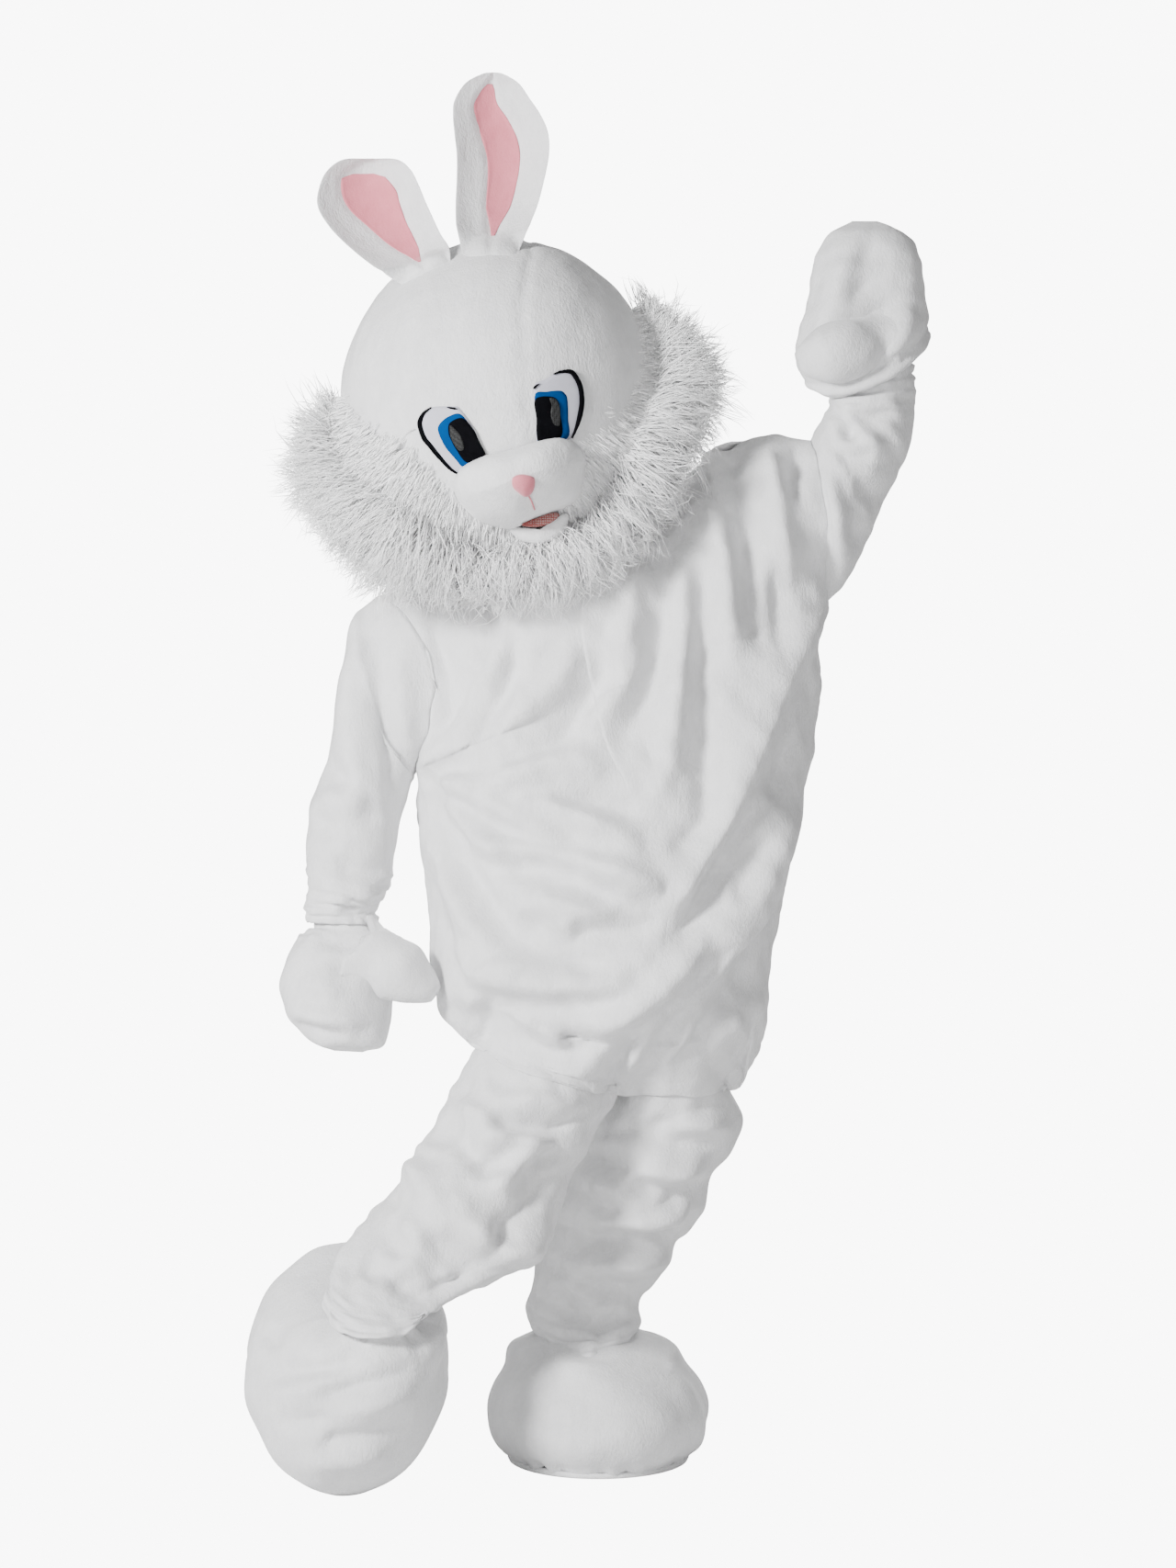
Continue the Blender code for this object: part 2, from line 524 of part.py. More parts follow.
def shell(name, outer, inner, slot, closed=False):
    """A closed wall between two grids of points with the same layout."""
    rows, cols = outer.shape[:2]
    points = np.concatenate([outer.reshape(-1, 3), inner.reshape(-1, 3)])
    skin = rows * cols
    faces = []

    def quad(a, b, c, d):
        faces.append((a, b, c))
        faces.append((a, c, d))

    last = cols if closed else cols - 1
    for i in range(rows - 1):
        for j in range(last):
            k = (j + 1) % cols
            a, b, c, d = i * cols + j, i * cols + k, (i + 1) * cols + k, (i + 1) * cols + j
            quad(a, b, c, d)
            faces.append((skin + a, skin + c, skin + b))
            faces.append((skin + a, skin + d, skin + c))
    for i, turn in ((0, False), (rows - 1, True)):
        for j in range(last):
            a, b = i * cols + j, i * cols + (j + 1) % cols
            if turn:
                a, b = b, a
            quad(b, a, skin + a, skin + b)
    if not closed:
        for j, turn in ((0, True), (cols - 1, False)):
            for i in range(rows - 1):
                a, b = i * cols + j, (i + 1) * cols + j
                if turn:
                    a, b = b, a
                quad(b, a, skin + a, skin + b)
    return make_object(name, points, faces, slot)


def hoop_ring(hoop, turns, squareness):
    """Points of one hoop. Turn 0 is its left end, a quarter turn its front."""
    power = 2 / squareness
    c, s = np.cos(turns), np.sin(turns)
    across = np.sign(c) * np.abs(c) ** power
    depth = np.sign(s) * np.abs(s) ** power
    left_x, left_z, right_x, right_z, mid_y, front, back, sag, tilt = hoop
    reach = np.where(depth > 0, front, back) * depth
    lean = math.radians(tilt)
    x = (left_x + right_x) / 2 + across * (left_x - right_x) / 2
    z = (left_z + right_z) / 2 + across * (left_z - right_z) / 2
    z = z - sag * np.abs(depth) - reach * math.sin(lean)
    return np.stack([x, mid_y - reach * math.cos(lean), z], axis=-1)


def tube(hoops, steps, turns, squareness=LIMB_SQUARENESS):
    """A tube through hoops, as rows of rings."""
    table = smooth_table(HOOP, hoops, steps)
    rows = zip(*(table[name] for name in HOOP))
    return np.stack([hoop_ring(row, turns, squareness) for row in rows])


def neck_point(angle, radius, lift):
    """A point of the neck's ring. Angle 0 is its right end, a quarter turn its front."""
    across = -radius * np.cos(angle)
    x = NECK_CENTRE[0] + across * math.cos(NECK_ROLL) - lift * math.sin(NECK_ROLL)
    z = NECK_CENTRE[2] + across * math.sin(NECK_ROLL) + lift * math.cos(NECK_ROLL)
    return np.stack([x, NECK_CENTRE[1] - radius * np.sin(angle), z], axis=-1)


def shoulder_curve(share, side):
    """The top edge of the front (side -1) or back (side 1), from right arm to left."""
    neck_from, neck_to = NECK_SHARE
    angle = np.clip((share - neck_from) / (neck_to - neck_from), 0, 1) * math.pi
    points = neck_point(angle, NECK_RADIUS, 0.0)
    points[:, 1] *= -side
    right_end = [(x, 0.0, z) for x, z in SHOULDER_RIGHT] + [tuple(neck_point(0.0, NECK_RADIUS, 0.0))]
    left_end = [tuple(neck_point(math.pi, NECK_RADIUS, 0.0))]
    left_end += [(x, 0.0, z) for x, z in SHOULDER_LEFT]
    for ends, mask, part in (
        (right_end, share < neck_from, share / neck_from),
        (left_end, share > neck_to, (share - neck_to) / (1 - neck_to)),
    ):
        path = smooth(ends, part * (len(ends) - 1))
        path[:, 1] = 0.0
        points[mask] = path[mask]
    return points


def yoke(low, side, dense):
    """The body above the armpits: arched between the armpit hoop and the shoulders."""
    share = np.linspace(0, 1, dense)
    top = shoulder_curve(share, side)
    rise = np.linspace(0, 1, ARMHOLE_STEPS + 1)
    edge = columns(ARMHOLE, ARMHOLE_EDGE)
    stations = rise * (len(ARMHOLE_EDGE) - 1)
    depth = ARMHOLE_HALF_DEPTH * np.sin(rise * math.pi) ** 0.8 * side
    right = np.stack([smooth(edge["right_x"], stations), depth, smooth(edge["right_z"], stations)], -1)
    left = np.stack([smooth(edge["left_x"], stations), depth, smooth(edge["left_z"], stations)], -1)
    rows = []
    for k, part in enumerate(rise):
        turn = part * math.pi / 2
        mix = np.array([part, 1 - math.cos(turn), math.sin(turn)])
        base = low * (1 - mix) + top * mix
        to_right = right[k] - base[0]
        to_left = left[k] - base[-1]
        near_right = (1 - share)[:, None] ** YOKE_EDGE_POWER
        near_left = share[:, None] ** YOKE_EDGE_POWER
        rows.append(base + near_right * to_right + near_left * to_left)
    return np.stack(rows)


def body_half(side, dense=97):
    """Front (side -1) or back (side 1) of the body, hem to shoulders, right to left."""
    turns = np.linspace(0, math.pi, dense) * -side
    lower = tube(BODY_HOOPS, BODY_STEPS, turns, BODY_SQUARENESS)[::-1]
    return np.concatenate([lower, yoke(lower[-1], side, dense)[1:]])


def place_columns(dense, shares):
    """Columns of a dense half at the given shares of each row."""
    count = dense.shape[1]
    even = np.linspace(0, 1, count)
    rows = []
    for row, share in zip(dense, shares):
        rows.append(np.stack([np.interp(share, even, row[:, k]) for k in range(3)], axis=-1))
    return np.stack(rows)


def front_shares(dense):
    """Column places on the front, with three columns on the closure's strip."""
    line = columns(CLOSURE, CLOSURE_LINE)
    even = np.linspace(0, 1, dense.shape[1])
    shares = []
    for row in dense:
        aim = np.interp(-row[:, 2], -line["z"], line["x"])
        off = row[:, 0] - aim
        cross = int(np.argmax((off[:-1] < 0) & (off[1:] >= 0)))
        part = even[cross] - off[cross] / (off[cross + 1] - off[cross]) * even[1]
        length = np.linalg.norm(np.diff(row, axis=0), axis=1).sum()
        half = PLACKET_HALF_WIDTH / length
        right = np.linspace(0, part - half, FRONT_STEPS_EACH_SIDE)
        left = np.linspace(part + half, 1, FRONT_STEPS_EACH_SIDE)
        shares.append(np.concatenate([right, [part], left]))
    return shares


def share_normals(first, second):
    """The same normal on both sides of a seam."""
    mean = unit(first + second)
    return mean, mean.copy()


def build_suit():
    """Body, sleeves, collar and the placket over the closure."""
    front_dense, back_dense = body_half(-1), body_half(1)
    front = place_columns(front_dense, front_shares(front_dense))
    even = np.linspace(0, 1, 2 * BACK_STEPS_EACH_SIDE + 1)
    back = place_columns(back_dense, [even] * len(back_dense))
    outward = np.zeros(3)
    outward[1] = -1
    front_n = grid_normals(front, False, outward)
    back_n = grid_normals(back, False, -outward)
    front = add_folds(front, front_n, BODY_FRONT_FOLDS, -1)
    back = add_folds(back, back_n, BODY_BACK_FOLDS, 1)
    armpit = BODY_STEPS
    for end in (0, -1):
        middle = (front[:armpit + 1, end] + back[:armpit + 1, end]) / 2
        front[:armpit + 1, end] = middle
        back[:armpit + 1, end] = middle
    front_n = grid_normals(front, False, outward)
    back_n = grid_normals(back, False, -outward)
    for end in (0, -1):
        low = slice(0, armpit + 1)
        front_n[low, end], back_n[low, end] = share_normals(front_n[low, end], back_n[low, end])

    sleeves = build_sleeve_grids(front, back, armpit)
    for end, (grid, normals) in zip((0, -1), sleeves):
        steps = ARMHOLE_STEPS
        edge = slice(armpit, armpit + steps + 1)
        front_n[edge, end], normals[0, :steps + 1] = share_normals(
            front_n[edge, end], normals[0, :steps + 1]
        )
        behind = np.concatenate([[normals[0, 0]], normals[0, :steps - 1:-1]])
        shared, _ = share_normals(back_n[edge, end], behind)
        back_n[edge, end] = shared
        normals[0, steps + 1:] = shared[1:-1][::-1]
        for at in (armpit, armpit + steps):
            front_n[at, end] = back_n[at, end] = normals[0, at - armpit]

    # On the shoulders, front and back share the top edge; both lean the same way there.
    front_top, back_top = front[-1], back[-1]
    for top, normals in ((front_top, front_n), (back_top, back_n)):
        on_neck = np.abs(top[:, 1]) > 1e-4
        lean = unit(np.array([-math.sin(NECK_ROLL), 0.0, 1.0]))
        radial = unit(top - np.array(NECK_CENTRE))
        neck_n = unit(radial + lean)
        shoulder = normals[-1].copy()
        shoulder[:, 1] = 0.0
        normals[-1] = np.where(on_neck[:, None], neck_n, unit(shoulder))
    front_n[-1], back_n[-1] = match_shoulders(front[-1], front_n[-1], back[-1], back_n[-1])

    split = FRONT_STEPS_EACH_SIDE
    for name, grid, normals, cut in (
        ("body_front_right", front, front_n, slice(0, split + 1)),
        ("body_front_left", front, front_n, slice(split, None)),
        ("body_back_right", back, back_n, slice(0, BACK_STEPS_EACH_SIDE + 1)),
        ("body_back_left", back, back_n, slice(BACK_STEPS_EACH_SIDE, None)),
    ):
        panel = pull_edges(grid[:, cut])
        shell(name, panel, panel - normals[:, cut] * PLUSH_WALL, WHITE_PLUSH)

    strip = front[2:-1, split - 1:split + 2]
    strip_n = front_n[2:-1, split - 1:split + 2]
    under = strip + strip_n * LIFT
    shell("front_placket", under + strip_n * PLACKET_THICKNESS, under, WHITE_PLUSH)

    for side, (grid, normals) in zip(("right", "left"), sleeves):
        halves(f"sleeve_{side}", grid, normals, ARMHOLE_STEPS)
    build_collar()


def match_shoulders(front_top, front_n, back_top, back_n):
    """One normal for each place of the shoulder line, whichever panel it is on."""
    front_n, back_n = front_n.copy(), back_n.copy()
    on_shoulder = np.abs(back_top[:, 1]) < 1e-4
    order = np.argsort(front_top[:, 0])
    for j in np.nonzero(on_shoulder)[0]:
        for k in range(3):
            back_n[j, k] = np.interp(back_top[j, 0], front_top[order, 0], front_n[order, k])
    return unit(front_n), unit(back_n)


def build_sleeve_grids(front, back, armpit):
    """Both sleeves: their first ring is the armhole, and hoops lead to the wrist."""
    grids = []
    for end, hoops, outer_is_left in (
        (0, SLEEVE_RIGHT_HOOPS, True),
        (-1, SLEEVE_LEFT_HOOPS, True),
    ):
        steps = ARMHOLE_STEPS
        loop = np.concatenate([front[armpit:, end], back[armpit + 1:-1, end][::-1]])
        turns = math.pi - np.arange(2 * steps) * math.pi / steps
        table = columns(HOOP, hoops)
        rows = zip(*(table[name] for name in HOOP))
        rings = np.stack([loop] + [hoop_ring(row, turns, LIMB_SQUARENESS) for row in rows])
        grid = smooth(rings, np.linspace(0, len(rings) - 1, SLEEVE_STEPS + 1))
        normals = grid_normals(grid, True, from_ring_centres(grid))
        folds = SLEEVE_RIGHT_FOLDS if end == 0 else SLEEVE_LEFT_FOLDS
        folded = add_folds(grid, normals, folds, -1)
        folded = add_folds(folded, normals, folds, 1)
        folded[0] = loop
        grids.append((folded, grid_normals(folded, True, from_ring_centres(folded))))
    return grids


def halves(name, grid, normals, half, end_gap=EDGE_GAP):
    """A closed tube cut into a front and a back half."""
    count = grid.shape[1]
    for part, index in (
        ("front", np.arange(0, half + 1)),
        ("back", np.arange(half, count + 1) % count),
    ):
        panel = pull_edges(grid[:, index], top=end_gap, side=LIMB_GAP)
        shell(f"{name}_{part}", panel, panel - normals[:, index] * PLUSH_WALL, WHITE_PLUSH)


def build_collar():
    """A short stand round the neck, inside the head."""
    turns = np.linspace(0, 2 * math.pi, 20, endpoint=False)
    rows = []
    for lift, radius in ((0.0035, NECK_RADIUS + 0.0006), (0.014, NECK_RADIUS - 0.001),
                         (COLLAR_HEIGHT, NECK_RADIUS - 0.002)):
        rows.append(neck_point(turns, radius, lift))
    grid = np.stack(rows)
    normals = grid_normals(grid, True, from_ring_centres(grid))
    shell("collar", grid, grid - normals * PLUSH_WALL, WHITE_PLUSH, closed=True)


def build_legs():
    turns = np.arange(LEG_COLUMNS) * 2 * math.pi / LEG_COLUMNS
    for side, hoops, folds in (
        ("right", LEG_RIGHT_HOOPS, LEG_RIGHT_FOLDS),
        ("left", LEG_LEFT_HOOPS, LEG_LEFT_FOLDS),
    ):
        grid = tube(hoops, LEG_STEPS, turns)
        normals = grid_normals(grid, True, from_ring_centres(grid))
        for facing in (-1, 1):
            grid = add_folds(grid, normals, folds, facing)
        normals = grid_normals(grid, True, from_ring_centres(grid))
        halves(f"leg_{side}", grid, normals, LEG_COLUMNS // 2)


def build_mittens():
    turns = np.arange(MITTEN_COLUMNS) * 2 * math.pi / MITTEN_COLUMNS
    for side, hoops, thumb in (
        ("right", MITTEN_RIGHT_HOOPS, THUMB_RIGHT),
        ("left", MITTEN_LEFT_HOOPS, THUMB_LEFT),
    ):
        grid = tube(hoops, MITTEN_STEPS, turns)
        normals = grid_normals(grid, True, from_ring_centres(grid))
        tip = grid[-1] - grid[-2]
        normals[-1] = unit(tip.mean(axis=0))
        halves(f"mitten_{side}", grid, normals, MITTEN_COLUMNS // 2, TIP_GAP)
        build_thumb(f"mitten_{side}_thumb", thumb, smooth_table(HOOP, hoops, MITTEN_STEPS))


def hand_fill(table, point):
    """How far out a point lies in the hand: under 1 inside, over 1 outside."""
    middle_z = (table["left_z"] + table["right_z"]) / 2
    order = np.argsort(middle_z)
    left_x, right_x, mid_y, front, back = (
        np.interp(point[2], middle_z[order], table[name][order])
        for name in ("left_x", "right_x", "mid_y", "front", "back")
    )
    across = abs(point[0] - (left_x + right_x) / 2) / ((right_x - left_x) / 2)
    depth = mid_y - point[1]
    depth = abs(depth) / (front if depth > 0 else back)
    return (across ** LIMB_SQUARENESS + depth ** LIMB_SQUARENESS) ** (1 / LIMB_SQUARENESS)


def build_thumb(name, rows, hand):
    """A rounded thumb, open where it meets the hand."""
    table = smooth_table(THUMB, rows, THUMB_STEPS)
    path = np.stack([table["x"], table["y"], table["z"]], axis=-1)
    run = unit(np.gradient(path, axis=0))
    turns = np.arange(THUMB_COLUMNS) * 2 * math.pi / THUMB_COLUMNS
    rings = []
    for centre, ahead, radius in zip(path, run, table["radius"]):
        side = unit(np.cross(ahead, (0.3, 1.0, 0.2)))
        up = np.cross(side, ahead)
        ring = np.outer(np.cos(turns), side) + np.outer(np.sin(turns), up)
        rings.append(centre + radius * ring)
    tip = path[-1] + run[-1] * table["radius"][-1] * 0.7
    rings.append(np.repeat(tip[None], THUMB_COLUMNS, axis=0))
    for k in range(THUMB_COLUMNS):
        while hand_fill(hand, rings[0][k]) < THUMB_CLEAR:
            rings[0][k] += run[0] * 0.0005
        ahead_of_base = np.dot(rings[1][k] - rings[0][k], run[0])
        if ahead_of_base < THUMB_ROW:
            rings[1][k] += run[0] * (THUMB_ROW - ahead_of_base)
    grid = np.stack(rings)
    shell(name, grid, grid - thumb_normals(grid, run[-1]) * PLUSH_WALL, WHITE_PLUSH, closed=True)


def thumb_normals(grid, ahead):
    normals = np.empty_like(grid)
    body = grid[:-1]
    normals[:-1] = grid_normals(body, True, from_ring_centres(body))
    normals[-1] = ahead
    normals[-2] = unit(normals[-2] + ahead)
    return normals


def foot_rings(aside, back, lean, spread):
    """A foot cover's rings from the sole up, its ankle set aside, back and leaning."""
    turns = np.arange(FOOT_COLUMNS) * 2 * math.pi / FOOT_COLUMNS
    table = smooth_table(FOOT, FOOT_RINGS, FOOT_STEPS)
    rows = []
    for height, share, wide, long in zip(*(table[name] for name in FOOT)):
        tilt = math.radians(lean) * share
        ahead = long * np.sin(turns)
        rows.append(np.stack([
            aside * share - wide * spread * np.cos(turns),
            back * share - ahead * math.cos(tilt),
            height + ahead * math.sin(tilt),
        ], axis=-1))
    return np.stack(rows)


def turn_matrix(pitch, yaw, roll):
    """Toe down by pitch, then rolled about Y, then turned by yaw."""
    cp, sp, cy, sy = math.cos(pitch), math.sin(pitch), math.cos(yaw), math.sin(yaw)
    cr, sr = math.cos(roll), math.sin(roll)
    tip = np.array([[1, 0, 0], [0, cp, -sp], [0, sp, cp]])
    lean = np.array([[cr, 0, sr], [0, 1, 0], [-sr, 0, cr]])
    spin = np.array([[cy, -sy, 0], [sy, cy, 0], [0, 0, 1]])
    return spin @ lean @ tip


def build_feet():
    """Padded covers: the left stands flat, the right hangs toe down."""
    wide, long = FOOT_RINGS[0][2] + SOLE_EDGE, FOOT_RINGS[0][3] + SOLE_EDGE
    turns = np.arange(FOOT_COLUMNS) * 2 * math.pi / FOOT_COLUMNS
    edge = np.stack([-wide * np.cos(turns), -long * np.sin(turns), np.zeros(FOOT_COLUMNS)], -1)
    sole = np.stack([edge, edge * 0.5, edge * 0.0])
    sole_lift = np.array([0, 0, SOLE_THICKNESS])
    turned = turn_matrix(FOOT_RIGHT_PITCH, FOOT_RIGHT_YAW, FOOT_RIGHT_ROLL)
    for side, matrix in (("left", np.eye(3)), ("right", turned)):
        rings = foot_rings(*FOOT_ANKLE[side])
        normals = grid_normals(rings, True, from_ring_centres(rings)) @ matrix.T
        rings = rings @ matrix.T
        base = sole * np.array([FOOT_ANKLE[side][3], 1.0, 1.0])
        low, high = base @ matrix.T, (base + sole_lift) @ matrix.T
        if side == "left":
            place = np.array(FOOT_LEFT_PLACE)
        else:
            every = np.concatenate([rings.reshape(-1, 3), low.reshape(-1, 3)])
            place = np.array(FOOT_RIGHT_TOE) - every[every[:, 2].argmin()]
        half = FOOT_COLUMNS // 2
        for part, index in (
            ("vamp", np.arange(0, half + 1)),
            ("heel", np.arange(half, FOOT_COLUMNS + 1) % FOOT_COLUMNS),
        ):
            panel = pull_edges(rings[:, index] + place, top=0.0, bottom=0.0, side=LIMB_GAP)
            shell(f"foot_{side}_{part}", panel, panel - normals[:, index] * FOOT_WALL, WHITE_PLUSH)
        shell(f"foot_{side}_sole", high + place, low + place, WHITE_PLUSH, closed=True)


ROLLED_ACROSS = np.array((math.cos(HEAD_ROLL), 0.0, math.sin(HEAD_ROLL)))
HEAD_UP = np.array((-math.sin(HEAD_ROLL), 0.0, math.cos(HEAD_ROLL)))
AHEAD = np.array((0.0, -1.0, 0.0))
HEAD_FORWARD = math.cos(HEAD_YAW) * AHEAD + math.sin(HEAD_YAW) * ROLLED_ACROSS
HEAD_ACROSS = math.cos(HEAD_YAW) * ROLLED_ACROSS - math.sin(HEAD_YAW) * AHEAD
HOLE_OVER = math.radians(-90) - NECK_HOLE_TILT


def on_head(across, over, radius=HEAD_RADIUS):
    """A point of the ball: angle from its middle plane, and angle over the crown."""
    sideways = np.sin(across)[..., None] * HEAD_ACROSS
    forward = (np.cos(across) * np.cos(over))[..., None] * HEAD_FORWARD
    up = (np.cos(across) * np.sin(over))[..., None] * HEAD_UP
    return HEAD_CENTRE + radius * (sideways + forward + up)


def gusset_edge(over):
    """Half width of the centre strip at each angle over the crown."""
    table = columns(GUSSET, GUSSET_ROWS)
    return np.radians(np.interp(np.degrees(over), table["over"], table["half_width"]))


def hole_reach(over):
    """Angle from the middle plane where the neck's hole ends, or 0 outside it."""
    apart = np.abs((over - HOLE_OVER + math.pi) % (2 * math.pi) - math.pi)
    inside = np.clip(math.cos(NECK_HOLE_ANGLE) / np.cos(np.minimum(apart, 1.3)), 0, 1)
    return np.where(apart < NECK_HOLE_ANGLE, np.arccos(inside), 0.0)


def hole_limit(across, sign):
    """Angle over the crown where a line of the strip meets the neck's hole."""
    apart = np.arccos(np.clip(math.cos(NECK_HOLE_ANGLE) / np.cos(across), -1, 1))
    return HOLE_OVER + sign * apart


def strip_corner(sign):
    """Where the strip's edge meets the neck's hole, in front (1) or behind (-1)."""
    tries = HOLE_OVER + sign * np.linspace(0, NECK_HOLE_ANGLE, 400)
    apart = np.abs(hole_reach(tries) - gusset_edge(unwrap(tries)))
    return tries[int(np.argmin(apart))]


def unwrap(over):
    """Angles over the crown counted on from below the face to the back of the neck."""
    return np.radians((np.degrees(over) + 90) % 360 - 90)


def build_head():
    gap = SEAM_GAP * 0.6 / HEAD_RADIUS
    first, last = strip_corner(1), strip_corner(-1) + 2 * math.pi
    crown = math.radians(CROWN_SEAM)
    front_over = np.linspace(first, crown, GUSSET_STEPS + 1)
    back_over = np.linspace(crown, last, GUSSET_STEPS + 1)
    share = np.linspace(-1, 1, 5)
    for name, stations, sign in (
        ("head_gusset_front", front_over, 1),
        ("head_gusset_back", back_over, -1),
    ):
        fade = np.clip(1 - np.arange(GUSSET_STEPS + 1) / 3, 0, 1)[::sign]
        across = share * (gusset_edge(stations)[:, None] - gap)
        corner = stations[0] if sign > 0 else stations[-1]
        end_row = across[0] if sign > 0 else across[-1]
        reach = hole_limit(end_row, sign) + (0 if sign > 0 else 2 * math.pi) - corner
        over = stations[:, None] + fade[:, None] * reach
        crown_row = -1 if sign > 0 else 0
        over[crown_row] -= sign * gap
        shell(name, on_head(across, over), on_head(across, over, HEAD_RADIUS - HEAD_WALL), WHITE_PLUSH)

    hole_rays = np.linspace(last - 2 * math.pi, first, 7)[1:-1]
    over = np.concatenate([front_over, back_over[1:], hole_rays])
    edge = np.maximum(gusset_edge(unwrap(over)), hole_reach(over)) + gap
    part = np.linspace(0, 1, SIDE_STEPS + 1)[:, None]
    across = edge + (math.pi / 2 - edge) * part
    over = np.broadcast_to(over, across.shape)
    for name, sign in (("head_side_left", 1), ("head_side_right", -1)):
        shell(name, on_head(sign * across, over),
              on_head(sign * across, over, HEAD_RADIUS - HEAD_WALL), WHITE_PLUSH, closed=True)


def closed_outline(points, count):
    """A smooth closed outline through the given points."""
    points = np.array(points, dtype=float)
    looped = np.concatenate([points[-2:], points, points[:3]])
    return smooth(looped, 2 + np.arange(count) * len(points) / count)


def face_disc(points, count, rings):
    """Rings of an outline shrinking to its middle, as across and up."""
    outline = closed_outline(points, count)
    middle = outline.mean(axis=0)
    part = np.linspace(0, 1, rings + 1)[:, None, None]
    return outline[None] + (middle - outline[None]) * part


def on_ball(flat, lift):
    """Face places moved onto the ball, lifted off it."""
    radius = HEAD_RADIUS + lift
    ahead = np.sqrt(np.maximum(HEAD_RADIUS ** 2 - (flat ** 2).sum(axis=-1), 1e-6))
    ray = flat[..., :1] * HEAD_ACROSS + flat[..., 1:] * HEAD_UP + ahead[..., None] * HEAD_FORWARD
    return HEAD_CENTRE + ray * (np.asarray(radius) / HEAD_RADIUS)[..., None]


def mirrored(points, sign):
    return tuple((sign * across, up) for across, up in points)


def dome(flat, rise, edge):
    """Height of a padded dome by how far in from its outline each ring lies."""
    part = np.linspace(0, 1, flat.shape[0])[:, None]
    return edge + rise * np.sqrt(np.clip(1 - (1 - part) ** 2.2, 0, 1)) * np.ones(flat.shape[1])


def muzzle_height(flat):
    """Two cheeks with the groove between them."""
    part = np.linspace(0, 1, flat.shape[0])[:, None]
    rise = MUZZLE_RISE * np.sqrt(np.clip(1 - (1 - part) ** 3, 0, 1))
    middle = np.exp(-(flat[..., 0] / 0.012) ** 2)
    low = np.clip((-0.132 - flat[..., 1]) / 0.02, 0, 1)
    return MUZZLE_EDGE + rise - PHILTRUM_DEPTH * middle * low * part


def raised(flat, height):
    """Face places stood off the ball, forward and a little down."""
    way = unit(HEAD_FORWARD - MUZZLE_DROP * HEAD_UP)
    return on_ball(flat, LIFT) + height[..., None] * way


def on_plane(flat, forward):
    """Face places at a distance ahead of the head's centre."""
    ahead = np.broadcast_to(forward, flat.shape[:2])[..., None]
    return HEAD_CENTRE + flat[..., :1] * HEAD_ACROSS + flat[..., 1:] * HEAD_UP + ahead * HEAD_FORWARD


def build_face():
    for side, sign in (("left", 1), ("right", -1)):
        base = EYE_LIFT
        for name, outline, slot in (
            ("edge", EYE_EDGE, BLACK_FELT),
            ("white", EYE_WHITE, WHITE_FELT),
            ("iris", EYE_IRIS, BLUE_FELT),
            ("pupil", EYE_PUPIL, DARK_MESH),
        ):
            flat = face_disc(mirrored(outline, sign), EYE_POINTS, 2)
            top = on_ball(flat, base + FELT_THICKNESS)
            shell(f"eye_{side}_{name}", top, on_ball(flat, base), slot, closed=True)
            base += FELT_THICKNESS + SEAM_GAP

    flat = face_disc(MUZZLE_OUTLINE, MUZZLE_POINTS, 5)
    shell("muzzle", raised(flat, muzzle_height(flat)), on_ball(flat, EYE_LIFT), WHITE_PLUSH, closed=True)

    flat = face_disc(NOSE_OUTLINE, 14, 3)
    base = np.full(flat.shape[:2], MUZZLE_EDGE + MUZZLE_RISE + 0.001)
    shell("nose", raised(flat, base + dome(flat, NOSE_RISE, 0.002)), raised(flat, base), PINK_PLUSH,
          closed=True)

    flat = face_disc(MOUTH_OUTLINE, 14, 2)
    shell("mouth", on_plane(flat, MOUTH_FRONT), on_plane(flat, MOUTH_BACK), RED_MESH, closed=True)
    flat = face_disc(LIP_OUTLINE, 18, 3)
    front = LIP_BACK + dome(flat, LIP_RISE, 0.006)
    shell("lower_lip", on_plane(flat, front), on_plane(flat, LIP_BACK), WHITE_PLUSH, closed=True)


def build_ears():
    for side, rows in (("left", EAR_LEFT_ROWS), ("right", EAR_RIGHT_ROWS)):
        table = smooth_table(EAR, rows, EAR_STEPS)
        shape = np.stack([table[name] for name in EAR], axis=-1)
        front, back = [], []
        for left_x, left_z, right_x, right_z, mid_y, lining_left, lining_right in shape:
            inner = np.linspace(lining_left, lining_right, 5)
            share = np.concatenate([[0.0, lining_left / 2], inner, [(1 + lining_right) / 2, 1.0]])
            bow = 1 - (2 * share - 1) ** 2
            wide = math.hypot(right_x - left_x, right_z - left_z)
            cup = EAR_CUP * wide / 0.11
            x = left_x + (right_x - left_x) * share
            z = left_z + (right_z - left_z) * share
            y = mid_y + cup * bow - 0.3 * cup
            front.append(np.stack([x, y, z], axis=-1))
            thick = EAR_EDGE_THICKNESS + EAR_PADDING * np.sqrt(np.clip(bow, 0, 1)) * wide / 0.11
            back.append(np.stack([x, y + thick, z], axis=-1))
        front, back = np.stack(front), np.stack(back)
        from_centre = back[..., (0, 2)] - HEAD_CENTRE[[0, 2]]
        ball = (HEAD_RADIUS + EAR_CLEAR) ** 2 - (from_centre ** 2).sum(axis=-1)
        face = HEAD_CENTRE[1] - np.sqrt(np.maximum(ball, 0))
        push = np.where(ball > 0, np.maximum(back[..., 1] - face, 0), 0)
        front[..., 1] -= push
        back[..., 1] -= push
        shell(f"ear_{side}", front, back, WHITE_PLUSH)
        patch = front[1:, 2:7]
        under = patch + np.array([0.0, -LIFT, 0.0])
        over = under + np.array([0.0, -LINING_THICKNESS, 0.0])
        shell(f"ear_{side}_lining", over, under, PINK_PLUSH)


